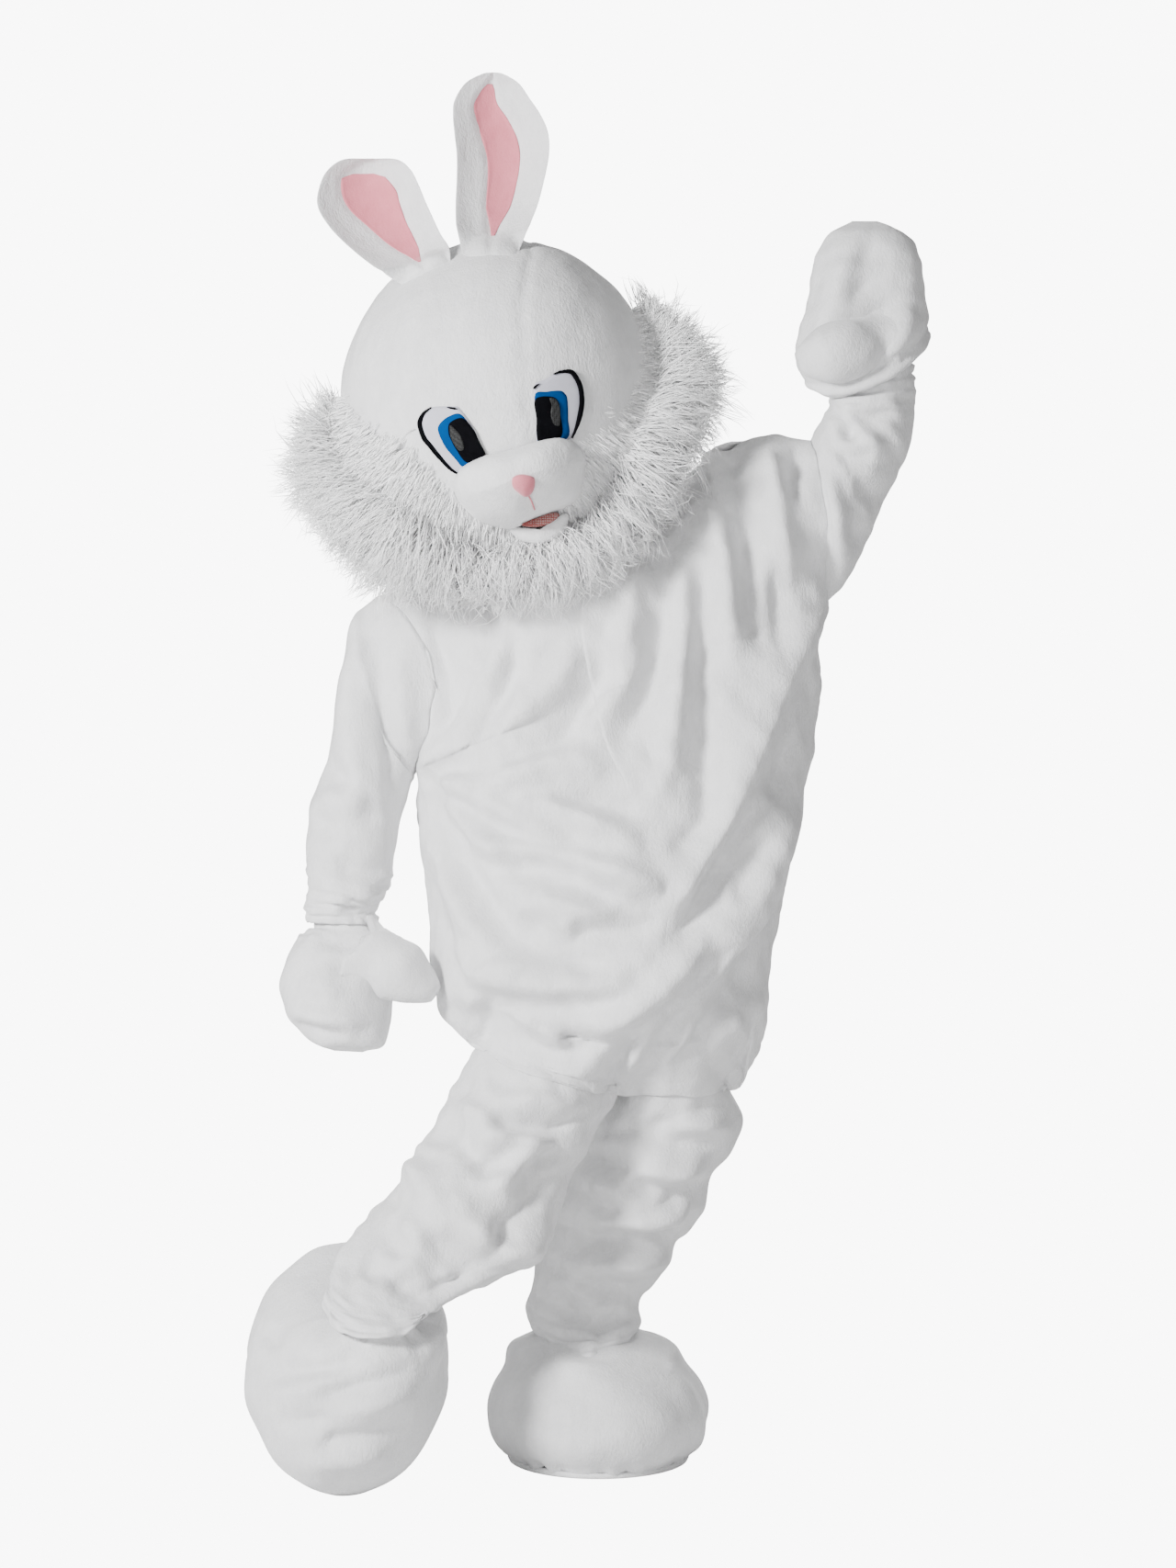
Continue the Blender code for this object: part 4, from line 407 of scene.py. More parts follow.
BODY_FOLDS = fold_table(
    (-10, 16, 0.3, 0.3, (-152, -115), (-143, -170), (-140, -220), (-148, -275)),
    (-8, 14, 0, 0.3, (-153, -262), (-115, -205), (-65, -170)),
    (8, 16, 0, 0, (-130, -250), (-92, -195), (-50, -155)),
    (-7, 14, 0, 0.3, (-148, -292), (-100, -262), (-50, -245)),
    (-8, 16.3, 0.4, 0.35, (-143, -551), (-96, -594), (-25, -612), (60, -610), (142, -568)),
    (8, 18, 0, 0.1, (-143, -527), (-92, -568), (-25, -582), (60, -577), (148, -533)),
    (-9, 15, 0.4, 0.35, (-136, -605), (-81, -645), (-18, -676), (37, -669), (115, -636)),
    (-8, 13.7, -0.4, 0.35, (-104, -643), (-42, -691), (29, -709), (92, -685)),
    (-7, 15, 0.4, 0.35, (-166, -316), (-93, -361), (-37, -393), (84, -409)),
    (-8, 15, -0.4, 0.35, (-146, -357), (-85, -425), (-13, -436), (60, -462), (141, -486)),
    (8, 16, 0, 0.1, (-139, -343), (-81, -404), (-10, -415), (66, -436), (148, -460)),
    (-8, 16.3, -0.4, 0.35, (-143, -390), (-93, -474), (-37, -533), (44, -558), (119, -556)),
    (-17, 17, 0, 0.5, (232, -520), (203, -560), (166, -600), (124, -634), (98, -662), (82, -700),
     (74, -730)),
    (10, 26, 0, 0, (180, -540), (140, -585), (95, -625), (60, -665), (45, -715)),
    (-10, 13, 0, 0.3, (268, -560), (238, -610), (196, -655), (140, -690)),
    (8, 14, 0, 0.2, (258, -590), (222, -640), (170, -680)),
    (14, 19, 0, 0, (-170, -307), (-122, -276), (-65, -245), (6, -195), (37, -149)),
    (-11, 17, 0, 0, (-96, -271), (-69, -235), (-45, -205)),
    (-10, 17, 0, 0, (-56, -302), (6, -271), (37, -236), (87, -157)),
    (10, 20, 0, 0, (-139, -329), (-106, -319), (6, -297), (72, -306)),
    (-9, 16, 0, 0, (-147, -298), (-92, -312), (-28, -289)),
    (9, 18, 0, 0, (-147, -321), (-96, -343), (-25, -378), (26, -393)),
    (-13, 18, 0, 0, (-69, -406), (-45, -419), (6, -432), (57, -447), (92, -469)),
    (10, 16, 0, 0, (37, -418), (57, -434), (107, -448), (144, -465)),
    (-13, 19, 0, 0.3, (-157, -332), (-137, -388), (-106, -449), (-65, -495), (-25, -530),
     (37, -561), (83, -587)),
    (-11, 15, 0, 0, (-45, -489), (-25, -506), (16, -536), (67, -558)),
    (-9, 15, 0, 0, (25, -514), (41, -515), (98, -513), (144, -497)),
    (10, 18, 0, 0, (-81, -549), (-65, -556), (-4, -551), (67, -582), (159, -602)),
    (-10, 16, 0, 0, (-98, -605), (-86, -617), (-45, -652), (-15, -678), (57, -683)),
    (-8, 14, 0, 0, (13, -652), (37, -658), (118, -658)),
    (15, 22, -0.45, 0.5, (359, -66), (344, -99), (316, -154), (290, -210), (268, -266),
     (244, -327), (220, -388), (179, -460), (153, -490)),
    (-12, 18, 0, 0, (250, -347), (224, -419), (199, -465), (168, -530)),
    (14, 20, -0.45, 0.5, (330, -321), (311, -368), (281, -419), (255, -485), (224, -546),
     (189, -591), (138, -632), (107, -678), (72, -709), (46, -724)),
    (-13, 17, 0, 0.3, (254, -515), (244, -536), (209, -591), (159, -637), (102, -693)),
    (9, 15, -0.3, 0.4, (316, -345), (301, -388), (260, -480), (235, -556), (183, -637),
     (144, -693)),
    (-10, 15, 0, 0, (295, -462), (285, -490), (250, -582), (209, -632), (159, -693)),
    (-11, 19, 0, 0.2, (222, 124), (227, 104), (236, 46), (251, -6), (258, -77), (269, -171)),
    (9, 18, 0, 0, (194, 115), (203, 54), (219, -6), (227, -77), (232, -171)),
    (-9, 19, 0, 0, (194, -38), (194, -122), (194, -225), (201, -358), (179, -393), (159, -414)),
    (-8, 18, 0, 0, (151, -12), (146, -108), (138, -169), (113, -230), (77, -282)),
    (8, 18, 0, 0, (171, -16), (171, -122), (163, -216), (149, -310), (119, -357)),
    (-7, 14, 0, 0, (187, 89), (189, 74), (208, 22)),
    (-8, 14, 0, 0, (311, 107), (314, 94), (314, 66), (314, 39)),
    (8, 15, 0, 0, (278, 110), (285, 66), (295, -5), (302, -75)),
    (-7, 12, 0, 0, (290, -28), (295, -99), (290, -169)),
    (7, 15, 0, 0, (107, -52), (100, -122), (77, -192)),
    (8, 16, 0, 0, (-151, -380), (-132, -439), (-104, -497), (-69, -540)),
    (-8, 14, 0, 0, (-172, -380), (-160, -451), (-139, -521), (-110, -580)),
    (7, 14, 0, 0, (-45, -345), (13, -357), (72, -380), (119, -415)),
    (-7, 13, 0, 0, (2, -340), (60, -347), (107, -359)),
    (7, 14, 0, 0, (-22, -468), (25, -480), (84, -497)),
    (-8, 13, 0, 0, (277, -386), (250, -439), (236, -480)),
    (-7, 13, 0, 0, (312, -263), (295, -310), (278, -345)),
    (8, 16, 0, 0, (119, -146), (84, -216), (25, -263)),
    (-6, 14, 0, 0, (-45, -134), (-50, -181), (-59, -216)),
    (-7, 13, 0, 0, (-151, -216), (-116, -222), (-81, -207)),
    (7, 15, 0, 0, (195, -509), (166, -556), (119, -597)),
)
SLEEVE_RIGHT_FOLDS = fold_table(
    (-9, 12, 0, 0.4, (-224, -122), (-220, -136), (-213, -225), (-203, -286), (-198, -368)),
    (7, 14, 0, 0, (-191, -134), (-186, -216), (-177, -286)),
    (6, 18, 0, 0, (-257, -146), (-259, -216), (-252, -298), (-242, -368)),
    (-6, 13, 0, 0, (-242, -75), (-238, -122), (-235, -181)),
    (-9, 11, 0, 0.2, (-274, -422), (-259, -432), (-233, -436), (-203, -434)),
    (-8, 10, 0, 0.2, (-268, -486), (-254, -490), (-213, -497)),
    (7, 14, 0, 0, (-298, -453), (-257, -460), (-210, -465)),
    (-6, 12, 0, 0, (-301, -361), (-285, -380), (-266, -392)),
    (-7, 12, 0, 0, (-289, -292), (-273, -312), (-245, -321)),
    (6, 13, 0, 0, (-292, -333), (-266, -347), (-233, -345)),
)
SLEEVE_LEFT_FOLDS = fold_table(
    (-9, 13, 0, 0.2, (336, 70), (341, 22), (348, -33), (351, -77)),
    (8, 14, 0, 0, (359, 66), (364, 19), (369, -33)),
    (-9, 12, 0, 0.3, (369, 129), (380, 124), (395, 121)),
    (-8, 12, 0, 0.2, (368, 89), (376, 94), (395, 94), (413, 97)),
    (7, 13, 0, 0, (359, 110), (389, 108), (433, 113)),
    (-6, 12, 0, 0, (389, 66), (407, 54), (424, 33)),
    (-7, 11, 0, 0, (383, 152), (410, 145), (441, 150)),
    (6, 12, 0, 0, (359, 164), (395, 157), (447, 164)),
    (-5, 12, 0, 0, (377, 19), (391, -5), (398, -28)),
)
LEG_RIGHT_FOLDS = fold_table(
    (-9, 11, 0, 0.7, (-122, -699), (-81, -738), (-2, -763), (60, -741)),
    (-10, 11, 0, 0.8, (-142, -756), (-89, -798), (-42, -813), (34, -802)),
    (-10, 11, 0, 0.8, (-81, -922), (-42, -875), (5, -836), (43, -808)),
    (-11, 11, 0, 0.8, (-160, -834), (-116, -905), (-72, -948), (-18, -953), (6, -908)),
    (-9, 10, 0, 0.8, (-204, -885), (-166, -922), (-136, -961), (-81, -967)),
    (10, 16, 0, 0.1, (-116, -849), (-81, -902), (-34, -922), (2, -885)),
    (9, 14, 0, 0.1, (-116, -720), (-63, -770), (13, -785)),
    (-8, 9, 0, 0.8, (-233, -920), (-198, -957), (-160, -985)),
    (-11, 15, 0, 0.3, (-75, -760), (-62, -761), (-15, -758), (32, -759)),
    (-12, 15, 0, 0.2, (-98, -820), (-89, -814), (-48, -787), (-17, -770)),
    (-11, 14, 0, 0.2, (-45, -849), (-30, -833), (-3, -809), (24, -792)),
    (-8, 12, 0, 0, (-95, -798), (-106, -792), (-124, -784)),
    (13, 17, 0, 0.5, (-177, -805), (-170, -819), (-151, -849), (-129, -882), (-89, -927)),
    (-12, 14, 0, 0.3, (-151, -899), (-147, -909), (-127, -929), (-106, -949), (-133, -968)),
    (-8, 11, 0, 0, (-196, -949), (-187, -956), (-151, -971), (-106, -968)),
    (-7, 10, 0, 0, (-242, -934), (-234, -941), (-214, -968)),
    (9, 14, 0, 0, (-116, -750), (-69, -738), (2, -737), (49, -738)),
    (9, 14, 0, 0, (-104, -786), (-63, -779), (-10, -774)),
    (8, 13, 0, 0, (-81, -849), (-45, -820), (2, -797)),
    (9, 15, 0, 0, (-198, -885), (-174, -908), (-151, -943)),
    (-7, 12, 0, 0, (-221, -896), (-198, -910), (-186, -934)),
    (8, 12, 0, 0, (-110, -885), (-86, -902), (-92, -943)),
    (-8, 12, 0, 0, (-45, -885), (-63, -908), (-75, -937)),
    (-6, 12, 0, 0, (-157, -785), (-139, -770), (-116, -758)),
)
LEG_LEFT_FOLDS = fold_table(
    (-7, 10, 0, 0.6, (60, -771), (115, -767), (178, -747), (228, -732)),
    (-12, 11, 0, 0.8, (31, -785), (60, -805), (95, -820)),
    (-10, 10, 0, 0.8, (25, -826), (68, -865), (131, -868), (201, -834)),
    (-9, 10, 0, 0.8, (2, -880), (60, -905), (115, -913), (146, -907), (192, -870)),
    (-8, 9, 0, 0.8, (-4, -929), (60, -967), (136, -958)),
    (-7, 9, 0, 0.8, (-22, -975), (37, -1002), (107, -990)),
    (8, 12, 0, 0.2, (49, -838), (119, -846), (195, -805)),
    (8, 12, 0, 0.2, (49, -885), (131, -890), (186, -853)),
    (7, 12, 0, 0.2, (13, -934), (72, -941), (160, -927)),
    (-13, 12, 0, 0.4, (91, -847), (105, -846), (142, -842), (194, -836)),
    (9, 13, 0, 0, (95, -824), (142, -819), (201, -814)),
    (10, 13, 0, 0, (84, -870), (131, -873), (178, -870)),
    (-12, 12, 0, 0.4, (60, -896), (73, -900), (119, -906), (167, -901)),
    (9, 14, 0, 0, (60, -934), (107, -941), (154, -934)),
    (-11, 12, 0, 0.3, (49, -973), (64, -976), (95, -976), (126, -971)),
    (-8, 11, 0, 0, (54, -1021), (68, -1017), (95, -998)),
    (8, 12, 0, 0, (49, -1000), (72, -995), (107, -990)),
    (8, 14, 0, 0, (142, -750), (189, -758), (237, -767)),
    (-8, 13, 0, 0, (119, -774), (166, -786), (224, -788)),
    (-7, 12, 0, 0, (107, -805), (119, -832), (138, -849)),
    (-6, 12, 0, 0, (2, -967), (19, -990), (27, -1014)),
    (-6, 12, 0, 0, (37, -885), (49, -908), (60, -920)),
)
MITTEN_RIGHT_FOLDS = fold_table(
    (7, 14, 0, 0.2, (-339, -609), (-303, -622), (-268, -626), (-233, -629)),
    (-6, 12, 0, 0, (-329, -629), (-298, -641), (-257, -645)),
    (-6, 10, 0, 0, (-298, -523), (-268, -528), (-233, -521)),
    (-5, 10, 0, 0, (-292, -554), (-257, -558), (-227, -551)),
    (6, 14, 0, 0, (-315, -568), (-292, -585), (-266, -594)),
    (-6, 9, 0, 0.2, (-205, -521), (-210, -556), (-212, -603)),
)
MITTEN_LEFT_FOLDS = fold_table(
    (-10, 16, 0, 0, (359, 206), (389, 230), (415, 265), (438, 298)),
    (7, 15, 0, 0, (342, 239), (359, 271), (371, 312), (383, 347)),
    (8, 14, 0, 0, (424, 212), (447, 242), (461, 283)),
    (-6, 12, 0, 0, (383, 289), (400, 312), (418, 324)),
    (-5, 12, 0, 0, (395, 335), (406, 353), (418, 368)),
)
FOOT_RIGHT_FOLDS = fold_table(
    (-8, 13, 0, 0.2, (-356, -1077), (-344, -1075), (-303, -1070), (-264, -1062), (-214, -1044)),
    (7, 15, 0, 0, (-362, -1102), (-315, -1098), (-257, -1086)),
    (-8, 13, 0, 0.2, (-298, -1105), (-281, -1102), (-233, -1090), (-170, -1071)),
    (7, 14, 0, 0, (-268, -1125), (-221, -1117), (-169, -1102)),
    (-7, 13, 0, 0.2, (-292, -1164), (-281, -1165), (-219, -1156), (-178, -1138)),
    (6, 15, 0, 0, (-315, -1190), (-268, -1190), (-210, -1180)),
    (-6, 12, 0, 0, (-380, -1014), (-362, -1031), (-339, -1039)),
    (-6, 12, 0, 0, (-350, -1137), (-315, -1140), (-280, -1133)),
)
FOOT_LEFT_FOLDS = fold_table(
    (-7, 14, 0, 0.2, (-22, -1000), (-30, -1012), (-42, -1043), (-48, -1075)),
    (-6, 12, 0, 0, (25, -1037), (49, -1044), (81, -1039)),
    (5, 14, 0, 0, (2, -1061), (49, -1072), (107, -1063)),
    (-5, 12, 0, 0, (119, -1025), (138, -1044), (152, -1072)),
    (-5, 16, 0, 0, (-22, -1131), (25, -1150), (84, -1152)),
)
BODY_BACK_FOLDS = fold_table(
    (12, 26, -0.3, 0.3, (340, -120), (250, -300), (110, -500)),
    (-11, 21, 0, 0, (345, -200), (280, -370), (180, -560)),
    (-10, 23, 0, 0, (250, 60), (240, -80), (200, -260)),
    (11, 24, 0, 0, (-165, -310), (-60, -300), (60, -220)),
    (-11, 21, 0, 0, (-160, -360), (-40, -430), (80, -420)),
    (-10, 22, 0, 0, (-140, -470), (-10, -560), (140, -580)),
    (11, 22, 0, 0.2, (-110, -560), (40, -640), (220, -620)),
    (9, 18, 0, 0.3, (330, -260), (240, -430), (120, -600)),
    (-9, 16, 0, 0, (-150, -400), (-60, -490), (60, -500)),
    (8, 18, 0, 0, (100, -60), (80, -200), (20, -330)),
    (-8, 18, 0, 0, (160, -30), (150, -180), (110, -320)),
    (-8, 18, 0, 0, (-80, -110), (-90, -230), (-70, -330)),
    (8, 20, 0, 0, (-120, -90), (-135, -200), (-120, -290)),
    (10, 18, 0, 0.3, (-120, -520), (0, -600), (180, -640)),
    (-9, 15, 0, 0, (-90, -620), (30, -670), (160, -670)),
    (8, 16, 0, 0, (50, -380), (140, -440), (250, -440)),
    (-8, 15, 0, 0, (300, -40), (318, -140), (310, -240)),
    (8, 16, 0, 0, (-150, -330), (-110, -400), (-30, -440)),
)
SLEEVE_RIGHT_BACK_FOLDS = fold_table(
    (-8, 14, 0, 0.2, (-318, -335), (-270, -350), (-212, -342)),
    (-7, 12, 0, 0, (-315, -432), (-265, -440), (-215, -432)),
    (7, 15, 0, 0, (-300, -200), (-270, -260), (-220, -300)),
    (-6, 13, 0, 0, (-310, -380), (-270, -392), (-220, -386)),
    (-7, 14, 0, 0, (-235, -130), (-225, -220), (-215, -310)),
)
SLEEVE_LEFT_BACK_FOLDS = fold_table(
    (-8, 16, 0, 0, (366, 140), (400, 110), (440, 85)),
    (-7, 13, 0, 0, (372, 168), (415, 140), (462, 120)),
    (8, 16, 0, 0, (352, 80), (390, 50), (410, 10)),
    (-7, 13, 0, 0, (352, 110), (366, 40), (368, -40)),
)
LEG_RIGHT_BACK_FOLDS = fold_table(
    (-10, 16, 0, 0.2, (-90, -740), (-20, -760), (60, -752)),
    (8, 16, 0, 0, (-110, -790), (-30, -800), (40, -784)),
    (-10, 15, 0, 0.2, (-170, -822), (-90, -850), (0, -840)),
    (8, 15, 0, 0, (-200, -868), (-130, -900), (-50, -900)),
    (-8, 13, 0, 0, (-240, -910), (-180, -934), (-110, -940)),
)
LEG_LEFT_BACK_FOLDS = fold_table(
    (-12, 14, 0, 0.3, (70, -850), (140, -860), (210, -846)),
    (8, 15, 0, 0, (70, -820), (150, -830), (230, -815)),
    (-10, 14, 0, 0.3, (30, -905), (110, -915), (190, -900)),
    (8, 14, 0, 0, (20, -930), (90, -942), (170, -930)),
    (-9, 13, 0, 0.2, (0, -972), (70, -982), (140, -968)),
)
NO_FOLDS = ()

# Ears, ruff strands, face and light.
EAR_ROWS, EAR_COLUMNS = 64, 34
EAR_EDGE, EAR_PADDING, EAR_RIM = 0.0075, 0.012, 0.0065
EAR_USUAL_WIDTH = 0.11
# How far an ear runs on into the ball and how deep its root sinks there; how far its tip is
# left from closing; how narrow it is at its root, and the rows over which it comes to its
# full width, to its set on the ball and, near the tip, down to its edge.
EAR_ROOT_RUN, EAR_ROOT_SINK = 0.45, 0.004
EAR_TIP_SHARE, EAR_TIP_RUN = 0.08, 0.0022
EAR_ROOT_WIDTH, EAR_WIDE_ROWS, EAR_SET_ROWS, EAR_TIP_ROWS = 0.80, 12, 9, 9
# The pink: its first row, its columns, how far it stands off at its edge and more within,
# how far it sinks in, and its edge's height above the ear's tip.
PINK_FIRST_ROW, PINK_COLUMNS = 10, 22
PINK_EDGE, PINK_RISE, PINK_SINK = 0.0004, 0.0016, 0.0012
PINK_BELOW_TIP = {"left": 0.020, "right": 0.027}
RUFF_BODY_SHARE = 0.50
RING_STRANDS, CHEEK_STRANDS = 3500, 4250
STRAND_RADIUS, LONGEST_STRAND = 0.00085, 0.105
STRAND_DROOP, STRANDS_PER_LOCK = 0.14, 26
# How far a strand's foot is sunk in, how much it bends and bows, and its stations along it
# with their thickness.
STRAND_FOOT, STRAND_BEND, STRAND_BOW = 0.002, 0.10, 0.06
STRAND_STATIONS = ((0.0, 1.0), (0.4, 0.8), (0.75, 0.5), (1.0, 0.0))
# How far round, and how much every way, the outer strands stray from the line to the tips,
# how much they lean out of the body, and the shortest one's share of the way there.
STRAY_DEGREES, STRAY, STRAND_LEAN, SHORTEST_SHARE = 7.0, 0.11, 0.18, 0.40
# Cheek strands' length at the ruff, and how much shorter they are beside the face.
CHEEK_LENGTH, CHEEK_SHORTER = 0.074, 0.054
# The part of the soft body's round, over its tip, that strands grow from.
PILE_FROM, PILE_TO = 4.3 / 11, 10.6 / 11
# How far toward the face the ruff's strands are sewn, in degrees ahead of the ball's rim.
CHEEK = ("around", "ahead")
CHEEK_ROWS = (
    (32, 6), (26, 12), (8, 24), (-11, 36), (-24, 43), (-35, 46), (-47, 44), (-59, 30), (-72, 26),
    (-84, 27), (-97, 30), (-110, 37), (-132, 45), (-145, 44), (-155, 38), (-167, 26), (-179, 10),
)
PHILTRUM_DEPTH = 0.010
PHILTRUM_PATH = ((-0.0002, -0.1440), (0.0007, -0.1513), (0.0006, -0.1590), (0.0, -0.1650))
PHILTRUM_HALF = 0.00109
NOSE_RISE = 0.011
NOSE_OUTLINE = ((-0.0129, -0.1194), (-0.0058, -0.1170), (0.0033, -0.1188), (0.0124, -0.1240),
                (0.0141, -0.1291), (0.0091, -0.1391), (0.0009, -0.1445), (-0.0061, -0.1435),
                (-0.0111, -0.1373), (-0.0153, -0.1290))
EYE_LAYERS = {
    "white": "white_felt",
    "iris": "blue_felt",
    "pupil": "black_felt",
    "mesh": "dark_mesh",
}
EYE_LIFT = 0.0012
EYE_LINE_HALF, EYE_CORNER_HALF = 0.0030, 0.00126
EYE_LEFT = {
    "white": ((0.0490, -0.0237), (0.0638, -0.0186), (0.0853, -0.0148), (0.0994, -0.0192),
              (0.1030, -0.0405), (0.0975, -0.0604), (0.0858, -0.0806), (0.0733, -0.0958),
              (0.0319, -0.0935), (0.0400, -0.0600)),
    "iris": ((0.0471, -0.0325), (0.0623, -0.0337), (0.0773, -0.0367), (0.0822, -0.0419),
             (0.0829, -0.0497), (0.0762, -0.0721), (0.0675, -0.0941), (0.0324, -0.0930),
             (0.0400, -0.0600)),
    "pupil": ((0.0452, -0.0381), (0.0657, -0.0413), (0.0710, -0.0505), (0.0687, -0.0641),
              (0.0604, -0.0898), (0.0324, -0.0890), (0.0390, -0.0600)),
    "mesh": ((0.0619, -0.0420), (0.0684, -0.0445), (0.0705, -0.0530), (0.0675, -0.0662),
             (0.0622, -0.0766), (0.0563, -0.0722), (0.0570, -0.0602), (0.0612, -0.0512)),
    "line": ((0.0768, -0.0152), (0.0853, -0.0148), (0.0943, -0.0166), (0.0994, -0.0200),
             (0.1025, -0.0298), (0.1030, -0.0405), (0.0995, -0.0562), (0.0935, -0.0687),
             (0.0864, -0.0800), (0.0796, -0.0882), (0.0730, -0.0957)),
    "corner": ((0.0470, -0.0255), (0.0510, -0.0235), (0.0560, -0.0215)),
}
EYE_RIGHT = {
    "white": ((0.0470, -0.0210), (0.0550, -0.0141), (0.0810, -0.0057), (0.0952, -0.0100),
              (0.1015, -0.0221), (0.1014, -0.0377), (0.0933, -0.0605), (0.0844, -0.0809),
              (0.0746, -0.0950), (0.0480, -0.0960), (0.0380, -0.0600)),
    "iris": ((0.0473, -0.0277), (0.0635, -0.0239), (0.0794, -0.0300), (0.0821, -0.0409),
             (0.0798, -0.0575), (0.0731, -0.0744), (0.0661, -0.0879), (0.0450, -0.0900),
             (0.0400, -0.0600)),
    "pupil": ((0.0475, -0.0316), (0.0641, -0.0316), (0.0697, -0.0415), (0.0697, -0.0519),
              (0.0675, -0.0640), (0.0601, -0.0834), (0.0363, -0.0865), (0.0373, -0.0621),
              (0.0392, -0.0485)),
    "mesh": ((0.0647, -0.0346), (0.0596, -0.0413), (0.0560, -0.0521), (0.0573, -0.0658),
             (0.0629, -0.0674), (0.0665, -0.0612), (0.0685, -0.0473)),
    "line": ((0.0810, -0.0057), (0.0915, -0.0086), (0.0988, -0.0147), (0.1021, -0.0219),
             (0.1020, -0.0375), (0.0978, -0.0487), (0.0936, -0.0604), (0.0846, -0.0813),
             (0.0749, -0.0945)),
    "corner": ((0.0500, -0.0190), (0.0558, -0.0160), (0.0620, -0.0125)),
}
PAPER_GLOW = 9.0
FLOOR_HALF = 14.0
SKY_STRENGTH = 0.30
LENS, SENSOR_WIDTH = 80.0, 36.0
LIGHTS_AIM = (0.03, 0.0, -0.35)
LIGHTS = (
    ("key", (-2.2, -2.4, 0.7), 0.8, 238.0),
    ("rear", (0.5, 4.0, 0.9), 2.0, 190.0),
    ("fill", (0.8, -3.6, -0.3), 2.2, 40.0),
)


def columns(names, rows):
    """The columns of a table by name."""
    data = np.array(rows, dtype=float)
    return {name: data[:, k] for k, name in enumerate(names)}


def smooth(values, stations):
    """A smooth curve through values, read at stations counted in rows."""
    values = np.asarray(values, dtype=float)
    last = len(values) - 1
    stations = np.clip(np.asarray(stations, dtype=float), 0, last)
    padded = np.concatenate(
        [2 * values[:1] - values[1:2], values, 2 * values[-1:] - values[-2:-1]]
    )
    row = np.minimum(stations.astype(int), last - 1)
    part = (stations - row).reshape((-1,) + (1,) * (values.ndim - 1))
    a, b, c, d = padded[row], padded[row + 1], padded[row + 2], padded[row + 3]
    cubic = 2 * a - 5 * b + 4 * c - d + part * (3 * (b - c) + d - a)
    return b + 0.5 * part * (c - a + part * cubic)


def smooth_table(names, rows, steps):
    """A table's columns, each resampled to steps + 1 even rows."""
    return {name: smooth_line(value, steps + 1) for name, value in columns(names, rows).items()}


def unit(vectors):
    length = np.linalg.norm(vectors, axis=-1, keepdims=True)
    return vectors / np.maximum(length, 1e-12)


def panel_normals(grid, outward):
    """Normals of a panel's grid of points, turned to face along outward."""
    return facing(np.cross(np.gradient(grid, axis=0), np.gradient(grid, axis=1)), outward)


def ring_normals(rings):
    """Normals of a tube's rings, turned to face away from their centres."""
    across = np.roll(rings, -1, axis=1) - np.roll(rings, 1, axis=1)
    return facing(np.cross(np.gradient(rings, axis=0), across), from_ring_centres(rings))


def facing(ways, outward):
    """Unit lengths of ways, all turned over if most look against outward."""
    normals = unit(ways)
    return -normals if np.sum(normals * outward) < 0 else normals


def from_ring_centres(grid):
    return grid - grid.mean(axis=1, keepdims=True)


def moved_out(grid, ways, lift):
    """Points moved along their ways by a height for each."""
    return grid + ways * lift[..., None]


def around(count):
    """Even turns round a ring."""
    return np.arange(count) * 2 * math.pi / count


def smooth_line(path, count):
    """An even count of points along a smooth curve through a path."""
    return smooth(path, np.linspace(0, len(path) - 1, count))


def dome(away, power=2):
    """Height of a rounded top, 1 in the middle and 0 at 1 away from it."""
    return np.sqrt(np.clip(1 - np.abs(away) ** power, 0, 1))


def bump(away, reach):
    """A soft swelling, 1 in the middle."""
    return np.exp(-(away / reach) ** 2)


def swell(at, height, place, reach):
    """A soft swelling of a given height about a place."""
    return height * bump(at - place, reach)


def hoop_ring(hoop, turns, squareness):
    """Points of one hoop. Turn 0 is its left end, a quarter turn its front."""
    power = 2 / squareness
    c, s = np.cos(turns), np.sin(turns)
    across = np.sign(c) * np.abs(c) ** power
    depth = np.sign(s) * np.abs(s) ** power
    left_x, left_z, right_x, right_z, mid_y, front, back, sag, tilt = hoop
    reach = np.where(depth > 0, front, back) * depth
    lean = math.radians(tilt)
    x = (left_x + right_x) / 2 + across * (left_x - right_x) / 2
    z = (left_z + right_z) / 2 + across * (left_z - right_z) / 2
    z = z - sag * np.abs(depth) - reach * math.sin(lean)
    return np.stack([x, mid_y - reach * math.cos(lean), z], axis=-1)


def tube(hoops, steps, turns, squareness=LIMB_SQUARENESS):
    """A tube through hoops, as rows of rings."""
    rows = zip(*smooth_table(HOOP, hoops, steps).values())
    return np.stack([hoop_ring(row, turns, squareness) for row in rows])


def neck_point(angle, radius, lift):
    """A point of the neck's ring. Angle 0 is its right end, a quarter turn its front."""
    across = -radius * np.cos(angle)
    x = NECK_CENTRE[0] + across * math.cos(NECK_ROLL) - lift * math.sin(NECK_ROLL)
    z = NECK_CENTRE[2] + across * math.sin(NECK_ROLL) + lift * math.cos(NECK_ROLL)
    return np.stack([x, NECK_CENTRE[1] - radius * np.sin(angle), z], axis=-1)


